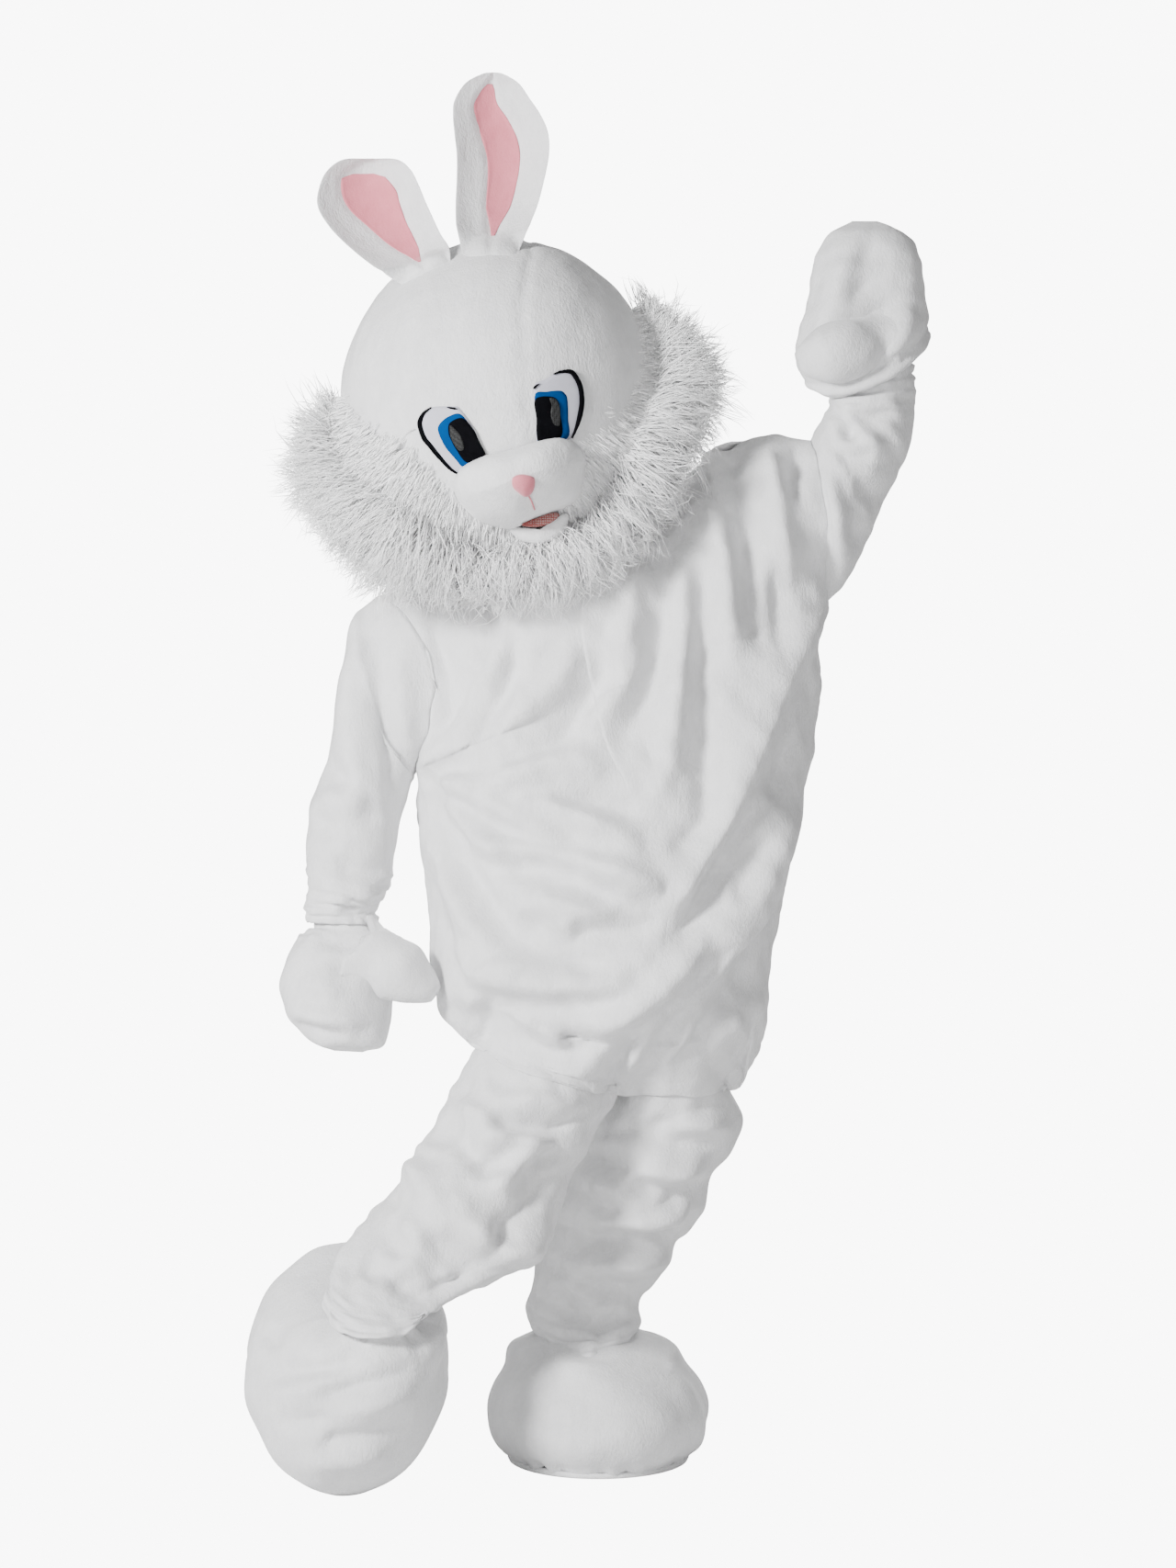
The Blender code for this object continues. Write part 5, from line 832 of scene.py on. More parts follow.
def shoulder_curve(share, side):
    """The top edge of the front (side -1) or back (side 1), from right arm to left."""
    neck_from, neck_to = NECK_SHARE
    angle = np.clip((share - neck_from) / (neck_to - neck_from), 0, 1) * math.pi
    points = neck_point(angle, NECK_RADIUS, 0.0)
    points[:, 1] *= -side
    neck_right, neck_left = (tuple(neck_point(end, NECK_RADIUS, 0.0)) for end in (0.0, math.pi))
    right_end = [(x, 0.0, z) for x, z in SHOULDER_RIGHT] + [neck_right]
    left_end = [neck_left] + [(x, 0.0, z) for x, z in SHOULDER_LEFT]
    for ends, mask, part in (
        (right_end, share < neck_from, share / neck_from),
        (left_end, share > neck_to, (share - neck_to) / (1 - neck_to)),
    ):
        path = smooth(ends, part * (len(ends) - 1))
        path[:, 1] = 0.0
        points[mask] = path[mask]
    return points


def turn_matrix(pitch, yaw, roll):
    """Toe down by pitch, then rolled about Y, then turned by yaw."""
    cp, sp, cy, sy = math.cos(pitch), math.sin(pitch), math.cos(yaw), math.sin(yaw)
    cr, sr = math.cos(roll), math.sin(roll)
    tip = np.array([[1, 0, 0], [0, cp, -sp], [0, sp, cp]])
    lean = np.array([[cr, 0, sr], [0, 1, 0], [-sr, 0, cr]])
    spin = np.array([[cy, -sy, 0], [sy, cy, 0], [0, 0, 1]])
    return spin @ lean @ tip


def gusset_edge(over):
    """Half width of the centre strip at each angle over the crown."""
    table = columns(GUSSET, GUSSET_ROWS)
    return np.radians(np.interp(np.degrees(over), table["over"], table["half_width"]))


def unwrap(over):
    """Angles over the crown counted on from below the face to the back of the neck."""
    return np.radians((np.degrees(over) + 90) % 360 - 90)


def closed_outline(points, count):
    """A smooth closed outline through the given points."""
    points = np.array(points, dtype=float)
    looped = np.concatenate([points[-2:], points, points[:3]])
    return smooth(looped, 2 + np.arange(count) * len(points) / count)


def face_disc(points, count, rings):
    """Rings of an outline shrinking to its middle, as across and up."""
    outline = closed_outline(points, count)
    middle = outline.mean(axis=0)
    part = np.linspace(0, 1, rings + 1)[:, None, None]
    return outline[None] + (middle - outline[None]) * part


def on_plane(flat, forward):
    """Face places at a distance ahead of the head's centre."""
    ahead = np.broadcast_to(forward, flat.shape[:2])[..., None]
    across, up = flat[..., :1], flat[..., 1:]
    return HEAD_CENTRE + across * HEAD_ACROSS + up * HEAD_UP + ahead * HEAD_FORWARD


def on_ball(flat, lift):
    """Face places moved onto the ball, lifted off it."""
    ahead = np.sqrt(np.maximum(HEAD_RADIUS ** 2 - (flat ** 2).sum(axis=-1), 1e-6))
    share = np.asarray(1 + lift / HEAD_RADIUS)[..., None]
    return HEAD_CENTRE + (on_plane(flat, ahead) - HEAD_CENTRE) * share


def mirrored(points, sign):
    return tuple((sign * across, up) for across, up in points)


def at_angle(angle):
    return np.array((math.cos(angle), math.sin(angle)))


def ruff_section(around_face, reach, forward, root):
    """One section of the ruff in the plane of its angle, from root to tips."""
    out = np.array((math.cos(around_face), 0.0, math.sin(around_face)))
    behind = RUFF_BACK
    while True:
        beside, ahead = at_angle(math.radians(behind))
        if np.dot(beside * out + ahead * HEAD_FORWARD, HOLE_AXIS) < RUFF_HOLE_LIMIT:
            break
        behind += 1
    angles = np.radians(np.linspace(behind, max(root, behind + RUFF_BAND), 5))
    near = HEAD_RADIUS + RUFF_CLEAR
    inner = [near * at_angle(angle) for angle in angles]
    tip = np.array((reach, forward))
    across = unit(np.array((-forward, reach)))
    first, last = ((near + RUFF_ROOT) * at_angle(angles[end]) for end in (-1, 0))
    outer = [
        first,
        first + (tip - first) * RUFF_FULL_AT + across * RUFF_FULLNESS,
        tip + across * RUFF_TIP,
        tip - across * RUFF_TIP,
        last + (tip - last) * RUFF_FULL_AT - across * RUFF_FULLNESS,
        last,
    ]
    return np.stack([HEAD_CENTRE + a * out + b * HEAD_FORWARD for a, b in inner + outer])


def front_plan(points):
    """Where points lie on the folds' plan."""
    nearer = (PLAN_Y - LOOK_FROM[1]) / (points[..., 1] - LOOK_FROM[1])
    return LOOK_FROM[[0, 2]] + (points[..., (0, 2)] - LOOK_FROM[[0, 2]]) * nearer[..., None]


def fold_rise(flat, folds):
    """Height of all the folds at flat places: ridges up, troughs down.

    Each is lower and narrower toward its ends. One that leans is wider on one side, and a
    crisp one comes to more of an edge.
    """
    shape = flat.shape[:-1]
    flat = flat.reshape(-1, 2)
    total = np.zeros(len(flat))
    for height, width, lean, crisp, path in folds:
        line = smooth_line(path, 14 * (len(path) - 1) + 1)
        reach = 3 * width
        low, high = line.min(axis=0) - reach, line.max(axis=0) + reach
        close = np.all((flat > low) & (flat < high), axis=1)
        if not close.any():
            continue
        away = flat[close][:, None, :] - line[None]
        apart = np.hypot(away[..., 0], away[..., 1])
        nearest = apart.argmin(axis=1)
        rows = np.arange(len(nearest))
        run = np.gradient(line, axis=0)[nearest]
        gap = away[rows, nearest]
        side = np.sign(run[:, 0] * gap[:, 1] - run[:, 1] * gap[:, 0])
        fade = np.sin(math.pi * nearest / (len(line) - 1)) ** 0.7
        spread = width * (1 + lean * side) * (0.6 + 0.4 * fade)
        profile = np.exp(-(apart[rows, nearest] / spread) ** (1.8 - 0.6 * crisp))
        total[close] += height * fade * profile
    return total.reshape(shape)


def grid_faces(rows, cols, closed=True):
    """Corners of the faces between the rows of a grid, joined up round a tube."""
    i, j = np.meshgrid(np.arange(rows - 1), np.arange(cols if closed else cols - 1), indexing="ij")
    k = (j + 1) % cols
    row, above = i * cols, (i + 1) * cols
    return np.stack([row + j, row + k, above + k, above + j], axis=-1).reshape(-1, 4)


def surface_of(*grids):
    """The tubes' surfaces, for laying other cloth on them."""
    points, faces, count = [], [], 0
    for grid in grids:
        points.append(grid.reshape(-1, 3))
        faces.append(grid_faces(*grid.shape[:2]) + count)
        count += len(points[-1])
    return BVHTree.FromPolygons(np.concatenate(points).tolist(), np.concatenate(faces).tolist())


def tuck_hem(grid, legs, look_from):
    """The body's lower edge comes in to lie on the legs, and sinks in between them."""
    share = np.clip(1 - edge_distance(grid, 0) / HEM_TUCK_REACH, 0, 1)
    beside = np.minimum(edge_distance(grid, 1), edge_distance(grid, 1, True))
    share = share ** 2 * (3 - 2 * share) * np.clip(beside / HEM_TUCK_ASIDE, 0, 1) ** 1.5
    ways = unit(grid - look_from)
    depth = np.zeros(grid.shape[:2])
    for i in range(np.count_nonzero(share.max(axis=1) > 0)):
        for j in range(grid.shape[1]):
            hit = legs.ray_cast(Vector(look_from), Vector(ways[i, j]))[3]
            if hit is not None:
                depth[i, j] = hit - np.linalg.norm(grid[i, j] - look_from) - HEM_CLEAR
            else:
                depth[i, j] = depth[i - 1, j] if i else HEM_SINK
    blur = np.hanning(11)[1:-1]
    rows = np.pad(depth, ((0, 0), (4, 4)), mode="edge")
    depth = np.stack([np.convolve(row, blur / blur.sum(), mode="valid") for row in rows])
    return moved_out(grid, ways, np.clip(depth, *HEM_TUCK_LIMITS) * share)


def small_folds(seed, count, low, high, way, height=0.0032, width=0.010, length=0.075):
    """Seeded low folds for cloth that is nowhere flat, as rows of a fold table."""
    draw = np.random.default_rng(seed)
    rows = []
    for k in range(count):
        middle = draw.uniform(low, high)
        turn = math.radians(way) + draw.normal(0, 0.4)
        half = length * draw.uniform(0.5, 1.3) / 2 * at_angle(turn)
        bend = np.array((-half[1], half[0])) * draw.normal(0, 0.25)
        rise = height * draw.uniform(0.5, 1.2) * (1 if k % 2 else -1)
        path = (middle - half, middle + bend, middle + half)
        rows.append((rise, width * draw.uniform(0.7, 1.3), 0, 0, path))
    return rows


def ripple(points, seed, size, height):
    """Low uneven swelling of soft cloth, as a seeded sum of waves."""
    draw = np.random.default_rng(seed)
    total = np.zeros(points.shape[:-1])
    for _ in range(9):
        way = unit(draw.normal(size=3)) * draw.uniform(0.6, 1.6) * 2 * math.pi / size
        total += np.sin(points @ way + draw.uniform(0, 2 * math.pi))
    return total * height / 3


def edge_distance(grid, axis, from_end=False):
    """Distance of each point from the first (or last) row or column, over the cloth."""
    steps = np.linalg.norm(np.diff(grid, axis=axis), axis=-1)
    pad = [(0, 0), (0, 0)]
    pad[axis] = (1, 0)
    run = np.cumsum(np.pad(steps, pad), axis=axis)
    return run.take([-1], axis=axis) - run if from_end else run


def seam_dip(distance, points, seed, kind):
    """How far cloth is drawn in beside a sewn seam, with uneven puckers."""
    depth, reach = SEAM[kind]
    pucker = 1 + ripple(points, seed, 0.030, 0.6)
    return -depth * np.clip(pucker, 0.2, 2) * bump(distance, reach)


def held_to(limit, rise):
    """Heights that level off, so that folds that cross don't add up to pits and peaks."""
    return limit * np.tanh(rise / limit)


def softened(rise, closed, passes=3):
    """Heights evened out between neighbouring points."""
    for _ in range(passes):
        beside = np.roll(rise, 1, axis=1) + np.roll(rise, -1, axis=1)
        if not closed:
            beside[:, 0], beside[:, -1] = 2 * rise[:, 1], 2 * rise[:, -2]
        above = np.concatenate([rise[:1], rise[:-1]]) + np.concatenate([rise[1:], rise[-1:]])
        rise = rise * 0.4 + (beside + above) * 0.15
    return rise


def shape_cloth(grid, kind, seed, front, back, creases, outward=None):
    """A panel that faces outward, or else a tube, with its folds and its swelling."""
    soft, wrap, strength = WORKED[kind]
    closed = outward is None
    normals = ring_normals(grid) if closed else panel_normals(grid, outward)
    turned = normals[..., 1] * TURNING_FADE
    ahead, behind = np.clip(wrap - turned, 0, 1), np.clip(turned - wrap, 0, 1)
    front_at, back_at = front_plan(grid), grid[..., (0, 2)]
    rise = fold_rise(front_at, front) * ahead + fold_rise(back_at, back) * behind
    rise = held_to(FOLD_LIMIT, rise * strength)
    small = fold_rise(front_at, creases) * ahead + fold_rise(back_at, creases) * behind
    rise = softened(rise + held_to(CREASE_LIMIT, small), closed)
    rise += ripple(grid, seed, 0.11, soft) + ripple(grid, seed + 1, 0.040, soft * 0.5)
    return moved_out(grid, normals, rise)


def sheet_mesh(name, skins, closed, finish):
    """A closed wall between an outer and an inner grid of points."""
    rows, cols = skins[0].shape[:2]
    skin = rows * cols
    face = grid_faces(rows, cols, closed)
    start = np.arange(cols if closed else cols - 1)
    following = (start + 1) % cols
    top = skin - cols
    faces = [
        face,
        skin + face[:, ::-1],
        np.stack([following, start, skin + start, skin + following], axis=-1),
        np.stack([top + start, top + following, skin + top + following, skin + top + start], -1),
    ]
    if not closed:
        up = np.arange(rows - 1) * cols
        faces.append(np.stack([up, up + cols, skin + up + cols, skin + up], axis=-1))
        up = up + cols - 1
        faces.append(np.stack([up + cols, up, skin + up, skin + up + cols], axis=-1))
    points = np.concatenate([side.reshape(-1, 3) for side in skins])
    return add_mesh(name, points, np.concatenate(faces), finish)


def add_mesh(name, points, faces, finish):
    """A piece from points and faces, turned so that its faces look outward."""
    corners = points[faces]
    first = corners[:, 0]
    volume = 0.0
    for k in range(1, corners.shape[1] - 1):
        volume += np.einsum("ij,ij->i", first, np.cross(corners[:, k], corners[:, k + 1])).sum()
    if volume < 0:
        faces = faces[:, ::-1]
    mesh = bpy.data.meshes.new(name)
    mesh.from_pydata(points.tolist(), [], faces.tolist())
    mesh.update()
    mesh.shade_smooth()
    mesh.materials.append(finish)
    piece = bpy.data.objects.new(name, mesh)
    bpy.context.scene.collection.objects.link(piece)
    return piece


def dress(piece, slot, *nodes, held=None, fill=None):
    """A finished piece takes its solids' place under the root, with the solids hidden; held and
    fill are not used.
    """
    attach(piece, "root")
    if nodes:
        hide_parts(*nodes)


def wall(name, outer, normals, thickness, closed, finish):
    """A wall of cloth, thinner toward its first edge, where it's turned under."""
    thin = thickness * np.clip(edge_distance(outer, 0) / 0.02, 0.25, 1)[..., None]
    return sheet_mesh(name, (outer, outer - normals * thin), closed, finish)


def yoke(low, side, dense):
    """The body above the armpits: arched between the armpit hoop and the shoulders."""
    share = np.linspace(0, 1, dense)
    top = shoulder_curve(share, side)
    rise = np.linspace(0, 1, YOKE_ROWS + 1)
    edge = columns(ARMHOLE, ARMHOLE_EDGE)
    edge = {name: smooth_line(value, len(rise)) for name, value in edge.items()}
    depth = ARMHOLE_HALF_DEPTH * np.sin(rise * math.pi) ** 0.8 * side
    right = np.stack([edge["right_x"], depth, edge["right_z"]], axis=-1)
    left = np.stack([edge["left_x"], depth, edge["left_z"]], axis=-1)
    near_right = (1 - share)[:, None] ** YOKE_EDGE_POWER
    near_left = share[:, None] ** YOKE_EDGE_POWER
    rows = []
    for part, right_end, left_end in zip(rise, right, left):
        turn = part * math.pi / 2
        mix = np.array([part, 1 - math.cos(turn), math.sin(turn)])
        base = low * (1 - mix) + top * mix
        rows.append(base + near_right * (right_end - base[0]) + near_left * (left_end - base[-1]))
    return np.stack(rows)


def body_half(side, dense=289):
    """Front (side -1) or back (side 1) of the body, hem to shoulders, right to left."""
    turns = np.linspace(0, math.pi, dense) * -side
    lower = tube(BODY_HOOPS, LOWER_ROWS, turns, BODY_SQUARENESS)[::-1]
    return np.concatenate([lower, yoke(lower[-1], side, dense)[1:]])


def place_columns(dense, shares):
    """Columns of a dense half at the given shares of each row."""
    even = np.linspace(0, 1, dense.shape[1])
    return np.stack([
        np.stack([np.interp(share, even, row[:, k]) for k in range(3)], axis=-1)
        for row, share in zip(dense, shares)
    ])


def front_shares(dense):
    """Column places on the front, with close columns under the closure's flap."""
    line = columns(CLOSURE, CLOSURE_LINE)
    even = np.linspace(0, 1, dense.shape[1])
    line_x, line_z = smooth_line(line["x"], 120), smooth_line(line["z"], 120)
    shares = []
    for row in dense:
        off = row[:, 0] - np.interp(-row[:, 2], -line_z, line_x)
        cross = int(np.argmax((off[:-1] < 0) & (off[1:] >= 0)))
        part = even[cross] - off[cross] / (off[cross + 1] - off[cross]) * even[1]
        half = FLAP_HALF_WIDTH / np.linalg.norm(np.diff(row, axis=0), axis=1).sum()
        shares.append(np.concatenate([
            np.linspace(0, part - half, FRONT_COLUMNS),
            np.linspace(part - half, part + half, FLAP_COLUMNS)[1:-1],
            np.linspace(part + half, 1, FRONT_COLUMNS),
        ]))
    return shares


def fold_suit(legs):
    """The front and back of the suit with their folds, joined along the side seams."""
    front = body_half(-1)
    front = place_columns(front, front_shares(front))
    back = body_half(1)
    back = place_columns(back, [np.linspace(0, 1, BACK_COLUMNS)] * len(back))
    low, high = (-0.15, -0.66), (0.33, -0.02)
    creases = small_folds(11, 30, low, high, 62) + small_folds(12, 22, low, (0.20, -0.30), 8)
    front = shape_cloth(front, "front", 21, BODY_FOLDS, NO_FOLDS, creases, AHEAD)
    creases = small_folds(13, 30, low, high, 118) + small_folds(14, 16, low, (0.25, -0.30), 4)
    back = shape_cloth(back, "back", 21, NO_FOLDS, BODY_BACK_FOLDS, creases, -AHEAD)
    front = tuck_hem(front, legs, LOOK_FROM)
    back = tuck_hem(back, legs, LOOK_FROM * np.array((1.0, -1.0, 1.0)))
    for end in (0, -1):
        side_seam = (front[:LOWER_ROWS + 1, end] + back[:LOWER_ROWS + 1, end]) / 2
        front[:LOWER_ROWS + 1, end] = side_seam
        back[:LOWER_ROWS + 1, end] = side_seam
    return front, back


def draw_in_seams(grid, outward):
    """A suit half drawn in along its side seams, armholes and shoulders, and its normals."""
    normals = panel_normals(grid, outward)
    armhole = np.zeros(grid.shape[:2])
    armhole[LOWER_ROWS:] = 1
    dip = np.zeros(grid.shape[:2])
    for from_end in (False, True):
        run = edge_distance(grid, 1, from_end)
        dip += seam_dip(run, grid, 31, "armhole") * armhole
        dip += seam_dip(run, grid, 32, "side") * (1 - armhole)
    dip += seam_dip(edge_distance(grid, 0, True), grid, 33, "shoulder")
    for edge in (normals[:, 0], normals[:, -1], normals[-1]):
        edge[:] = unit(edge * np.array((1.0, 0.0, 1.0)))
    grid = moved_out(grid, normals, dip)
    return grid, panel_normals(grid, outward)


def make_suit(legs, finish):
    """The suit's front, back, flap, collar and both sleeves."""
    front, back = fold_suit(legs)
    front, front_normals = draw_in_seams(front, AHEAD)
    back, back_normals = draw_in_seams(back, -AHEAD)
    make_sleeves(front, back, finish)
    split = FRONT_COLUMNS + FLAP_COLUMNS // 2 - 1
    for name, grid, normals, cut, nodes in (
        ("suit_front_right", front, front_normals, slice(0, split + 1), ("body_front_right",)),
        ("suit_front_left", front, front_normals, slice(split, None), ("body_front_left",)),
        ("suit_back", back, back_normals, slice(None), ("body_back_right", "body_back_left")),
    ):
        piece = wall(name, grid[:, cut], normals[:, cut], PLUSH_WALL, False, finish)
        dress(piece, "white_plush", *nodes, held="hung")
    under_flap = slice(3, -2), slice(FRONT_COLUMNS - 1, FRONT_COLUMNS + FLAP_COLUMNS - 1)
    make_flap(front[under_flap], front_normals[under_flap], finish)
    make_collar(finish)


def make_flap(face, normals, finish):
    """The flap sewn over the closure: it stands clear above the belly and sinks in below."""
    across = np.linspace(0, 1, face.shape[1])
    upper = np.clip((face[..., 2] - FLAP_CLEAR_FROM) / FLAP_CLEAR_OVER, 0, 1)
    rise = FLAP_RISE * upper * (1 - 0.85 * across) * np.clip(across / 0.08, 0, 1) ** 0.5
    tuck = np.abs(ripple(face, 41, 0.05, 0.0005))
    edge = np.clip(np.minimum(across, 1 - across) / 0.15, 0, 1)
    lift = rise + 0.0003 + tuck * upper * (1 - across) - 0.0006 * (1 - edge) * (1 - upper)
    lift = lift - 0.0007 * np.clip((across - 0.80) / 0.20, 0, 1)
    flap = sheet_mesh("front_flap", (moved_out(face, normals, lift), face - normals * 0.0012),
                      False, finish)
    dress(flap, "white_plush", "front_placket", held="hung")


def make_collar(finish):
    """A low stand collar with a rolled edge."""
    turns = np.linspace(0, 2 * math.pi, 72, endpoint=False)
    ring = np.stack([neck_point(turns, NECK_RADIUS - 0.001 + 0.0012 * math.cos(lift * 190), lift)
                     for lift in np.linspace(0.0035, COLLAR_HEIGHT, 14)])
    outward = ring_normals(ring)
    ring = moved_out(ring, outward, ripple(ring, 43, 0.04, 0.0008))
    collar = wall("collar_stand", ring, outward, PLUSH_WALL, True, finish)
    dress(collar, "white_plush", "collar", held="hung")


def waves_round(draw, cols, times, few, many):
    """Uneven waves round a ring, each with from few to many crests."""
    turns = around(cols)
    return sum(np.sin(turns * draw.integers(few, many) + draw.uniform(0, 2 * math.pi))
               for _ in range(times))


def gathers(grid, seed, kind):
    """Cloth drawn up into uneven pleats where a tube ends."""
    rows, cols = grid.shape[:2]
    last_rows, depth, count = GATHERS[kind]
    wave = waves_round(np.random.default_rng(seed), cols, 5, count - 4, count + 5)
    fade = np.clip((np.arange(rows) - (rows - last_rows)) / last_rows, 0, 1) ** 1.5
    return depth * fade[:, None] * wave / 2.2


def scrunch(grid, seed, from_end, kind):
    """Cloth pushed up into uneven rings of wrinkles beside a hem."""
    depth, spacing, reach = SCRUNCH[kind]
    away = edge_distance(grid, 0, from_end)
    turns = around(grid.shape[1])
    draw = np.random.default_rng(seed)
    drift = sum(np.sin(turns * n + draw.uniform(0, 2 * math.pi)) * size
                for n, size in ((1, 1.3), (2, 0.9), (3, 0.7), (5, 0.4)))
    uneven = 0.6 + 0.4 * np.sin(turns * 2 + away * 60 + draw.uniform(0, 6))
    wave = np.sin(away / spacing * 2 * math.pi + drift)
    wave += 0.4 * np.sin(away / spacing * 3.7 * math.pi - drift)
    fade = np.clip(away / 0.006, 0, 1) * np.clip((reach - away) / (0.5 * reach), 0, 1)
    return depth * uneven * wave * fade


def plan_box(grid):
    """The lowest and highest places of a piece on the folds' plan."""
    flat = grid[..., (0, 2)]
    return flat.min(axis=(0, 1)), flat.max(axis=(0, 1))


def finish_limb(name, grid, finish):
    """A sleeve or leg from its outer points."""
    piece = wall(name, grid, ring_normals(grid), PLUSH_WALL, True, finish)
    dress(piece, "white_plush", f"{name}_front", f"{name}_back", held="hung")


def make_sleeves(front, back, finish):
    """Sleeves that start at the armholes and are gathered at the wrists."""
    for side, end, hoops, folds, back_folds, way, seed in (
        ("right", 0, SLEEVE_RIGHT_HOOPS, SLEEVE_RIGHT_FOLDS, SLEEVE_RIGHT_BACK_FOLDS, 12, 51),
        ("left", -1, SLEEVE_LEFT_HOOPS, SLEEVE_LEFT_FOLDS, SLEEVE_LEFT_BACK_FOLDS, 150, 55),
    ):
        loop = np.concatenate([front[LOWER_ROWS:, end], back[LOWER_ROWS + 1:-1, end][::-1]])
        turns = math.pi - np.arange(2 * YOKE_ROWS) * math.pi / YOKE_ROWS
        rings = np.stack([loop] + [hoop_ring(hoop, turns, LIMB_SQUARENESS) for hoop in hoops])
        base = smooth_line(rings, SLEEVE_ROWS + 1)
        creases = small_folds(seed, 22, *plan_box(base), way, 0.0042)
        grid = shape_cloth(base, "sleeve", seed, folds, back_folds, creases)
        row = np.arange(SLEEVE_ROWS + 1)
        inside = np.clip(row / 7, 0, 1) * np.clip((SLEEVE_ROWS - row) / 12, 0.1, 1)
        grid = base + (grid - base) * inside[:, None, None]
        lift = gathers(grid, seed + 2, "sleeve") + scrunch(grid, seed + 4, True, "sleeve")
        finish_limb(f"sleeve_{side}", moved_out(grid, ring_normals(grid), lift), finish)


def fill_thigh(grid, side):
    """The thigh swells at the front to carry on the line of the body above it."""
    ahead = np.clip(-ring_normals(grid)[..., 1], 0, 1)
    grid[..., 1] -= swell(grid[..., 2], *THIGH_SWELL[side]) * ahead
    return grid


def make_legs(finish):
    """Full trouser legs, drawn in over the foot covers."""
    legs = []
    for side, hoops, folds, back_folds, way, seed in (
        ("right", LEG_RIGHT_HOOPS, LEG_RIGHT_FOLDS, LEG_RIGHT_BACK_FOLDS, 20, 61),
        ("left", LEG_LEFT_HOOPS, LEG_LEFT_FOLDS, LEG_LEFT_BACK_FOLDS, 4, 65),
    ):
        grid = fill_thigh(tube(hoops, LEG_ROWS, around(LEG_COLUMNS)), side)
        box = plan_box(grid)
        creases = small_folds(seed, 26, *box, way, 0.0040)
        creases += small_folds(seed + 9, 30, *box, way, 0.0030, 0.0065, 0.05)
        grid = shape_cloth(grid, "leg", seed, folds, back_folds, creases)
        normals = ring_normals(grid)
        lift = gathers(grid, seed + 2, "leg") + scrunch(grid, seed + 4, True, "leg")
        lift *= 0.25 + 0.75 * np.clip(-normals[..., 1] * 1.5, 0, 1)
        grid = moved_out(grid, normals, lift)
        finish_limb(f"leg_{side}", grid, finish)
        legs.append(grid)
    return surface_of(*legs)


def make_mittens(finish):
    """Hands and their thumbs, sewn round the tips."""
    turns = around(MITTEN_COLUMNS)
    for side, hoops, thumb, folds, seed in (
        ("right", MITTEN_RIGHT_HOOPS, THUMB_RIGHT, MITTEN_RIGHT_FOLDS, 71),
        ("left", MITTEN_LEFT_HOOPS, THUMB_LEFT, MITTEN_LEFT_FOLDS, 75),
    ):
        base = tube(hoops, MITTEN_ROWS, turns)
        from_hem = edge_distance(base, 0)
        if side == "right":
            base = moved_out(base, from_ring_centres(base), swell(from_hem, *CUFF_SWELL))
        grid = shape_cloth(base, "mitten", seed, folds, NO_FOLDS, NO_FOLDS)
        below_tip = np.clip((MITTEN_ROWS - np.arange(len(base))) / 8, 0, 1)[:, None, None]
        grid = base + (grid - base) * below_tip
        normals = ring_normals(grid)
        if side == "left":
            palm = swell(grid[..., 0], *PALM_ACROSS) * swell(grid[..., 2], *PALM_UP)
            grid[..., 1] += palm * np.clip(-normals[..., 1], 0, 1)
            roll = swell(from_hem, *HEM_ROLL) + swell(from_hem, *HEM_HOLLOW)
            grid = moved_out(grid, normals, roll)
        else:
            grid = moved_out(grid, normals, scrunch(grid, seed + 4, False, "mitten"))
        from_seam = np.abs(np.sin(turns)) * 0.045
        grid = moved_out(grid, normals, seam_dip(from_seam, grid, seed + 1, "mitten"))
        grid[-1, :, 1] = grid[-1, :, 1].mean()
        centre = grid.mean(axis=1, keepdims=True)
        out = grid - centre
        size = np.linalg.norm(out, axis=-1, keepdims=True)
        inner = centre + out * np.clip(1 - PLUSH_WALL / np.maximum(size, 1e-6), 0.02, 1)
        piece = sheet_mesh(f"mitten_{side}", (grid, inner), True, finish)
        dress(piece, "white_plush", f"mitten_{side}_front", f"mitten_{side}_back", held="hung")
        make_thumb(side, thumb, surface_of(grid), finish)


def thumb_rings(rows):
    """Rings of a thumb from its spread root over its rounded tip, and the tip's way."""
    path = np.array(rows)
    run = unit(path[1, :3] - path[0, :3])
    root = np.append(path[0, :3] - run * THUMB_ROOT_RUN, path[0, 3] * THUMB_ROOT_SPREAD)
    tip_run = unit(path[-1, :3] - path[-2, :3])
    cap = np.append(path[-1, :3] + tip_run * path[-1, 3] * THUMB_CAP_RUN,
                    path[-1, 3] * THUMB_CAP_SIZE)
    line = smooth_line(np.concatenate([[root], path, [cap]]), THUMB_ROWS)
    ways = unit(np.gradient(line[:, :3], axis=0))
    turns = around(THUMB_COLUMNS)
    rings = []
    for row, ahead in zip(line, ways):
        across = unit(np.cross(ahead, (0.3, 1.0, 0.2)))
        up = np.cross(across, ahead)
        ring = np.outer(np.cos(turns), across) + np.outer(np.sin(turns), up)
        rings.append(row[:3] + row[3] * ring)
    last = rings[-1] - line[-1, :3]
    tip = line[-1, :3] + ways[-1] * line[-1, 3] * THUMB_TIP_RUN
    for share in (0.72, 0.38, 0.0):
        rings.append(tip + last * share - ways[-1] * 0.003 * share)
    return np.stack(rings), ways[-1]


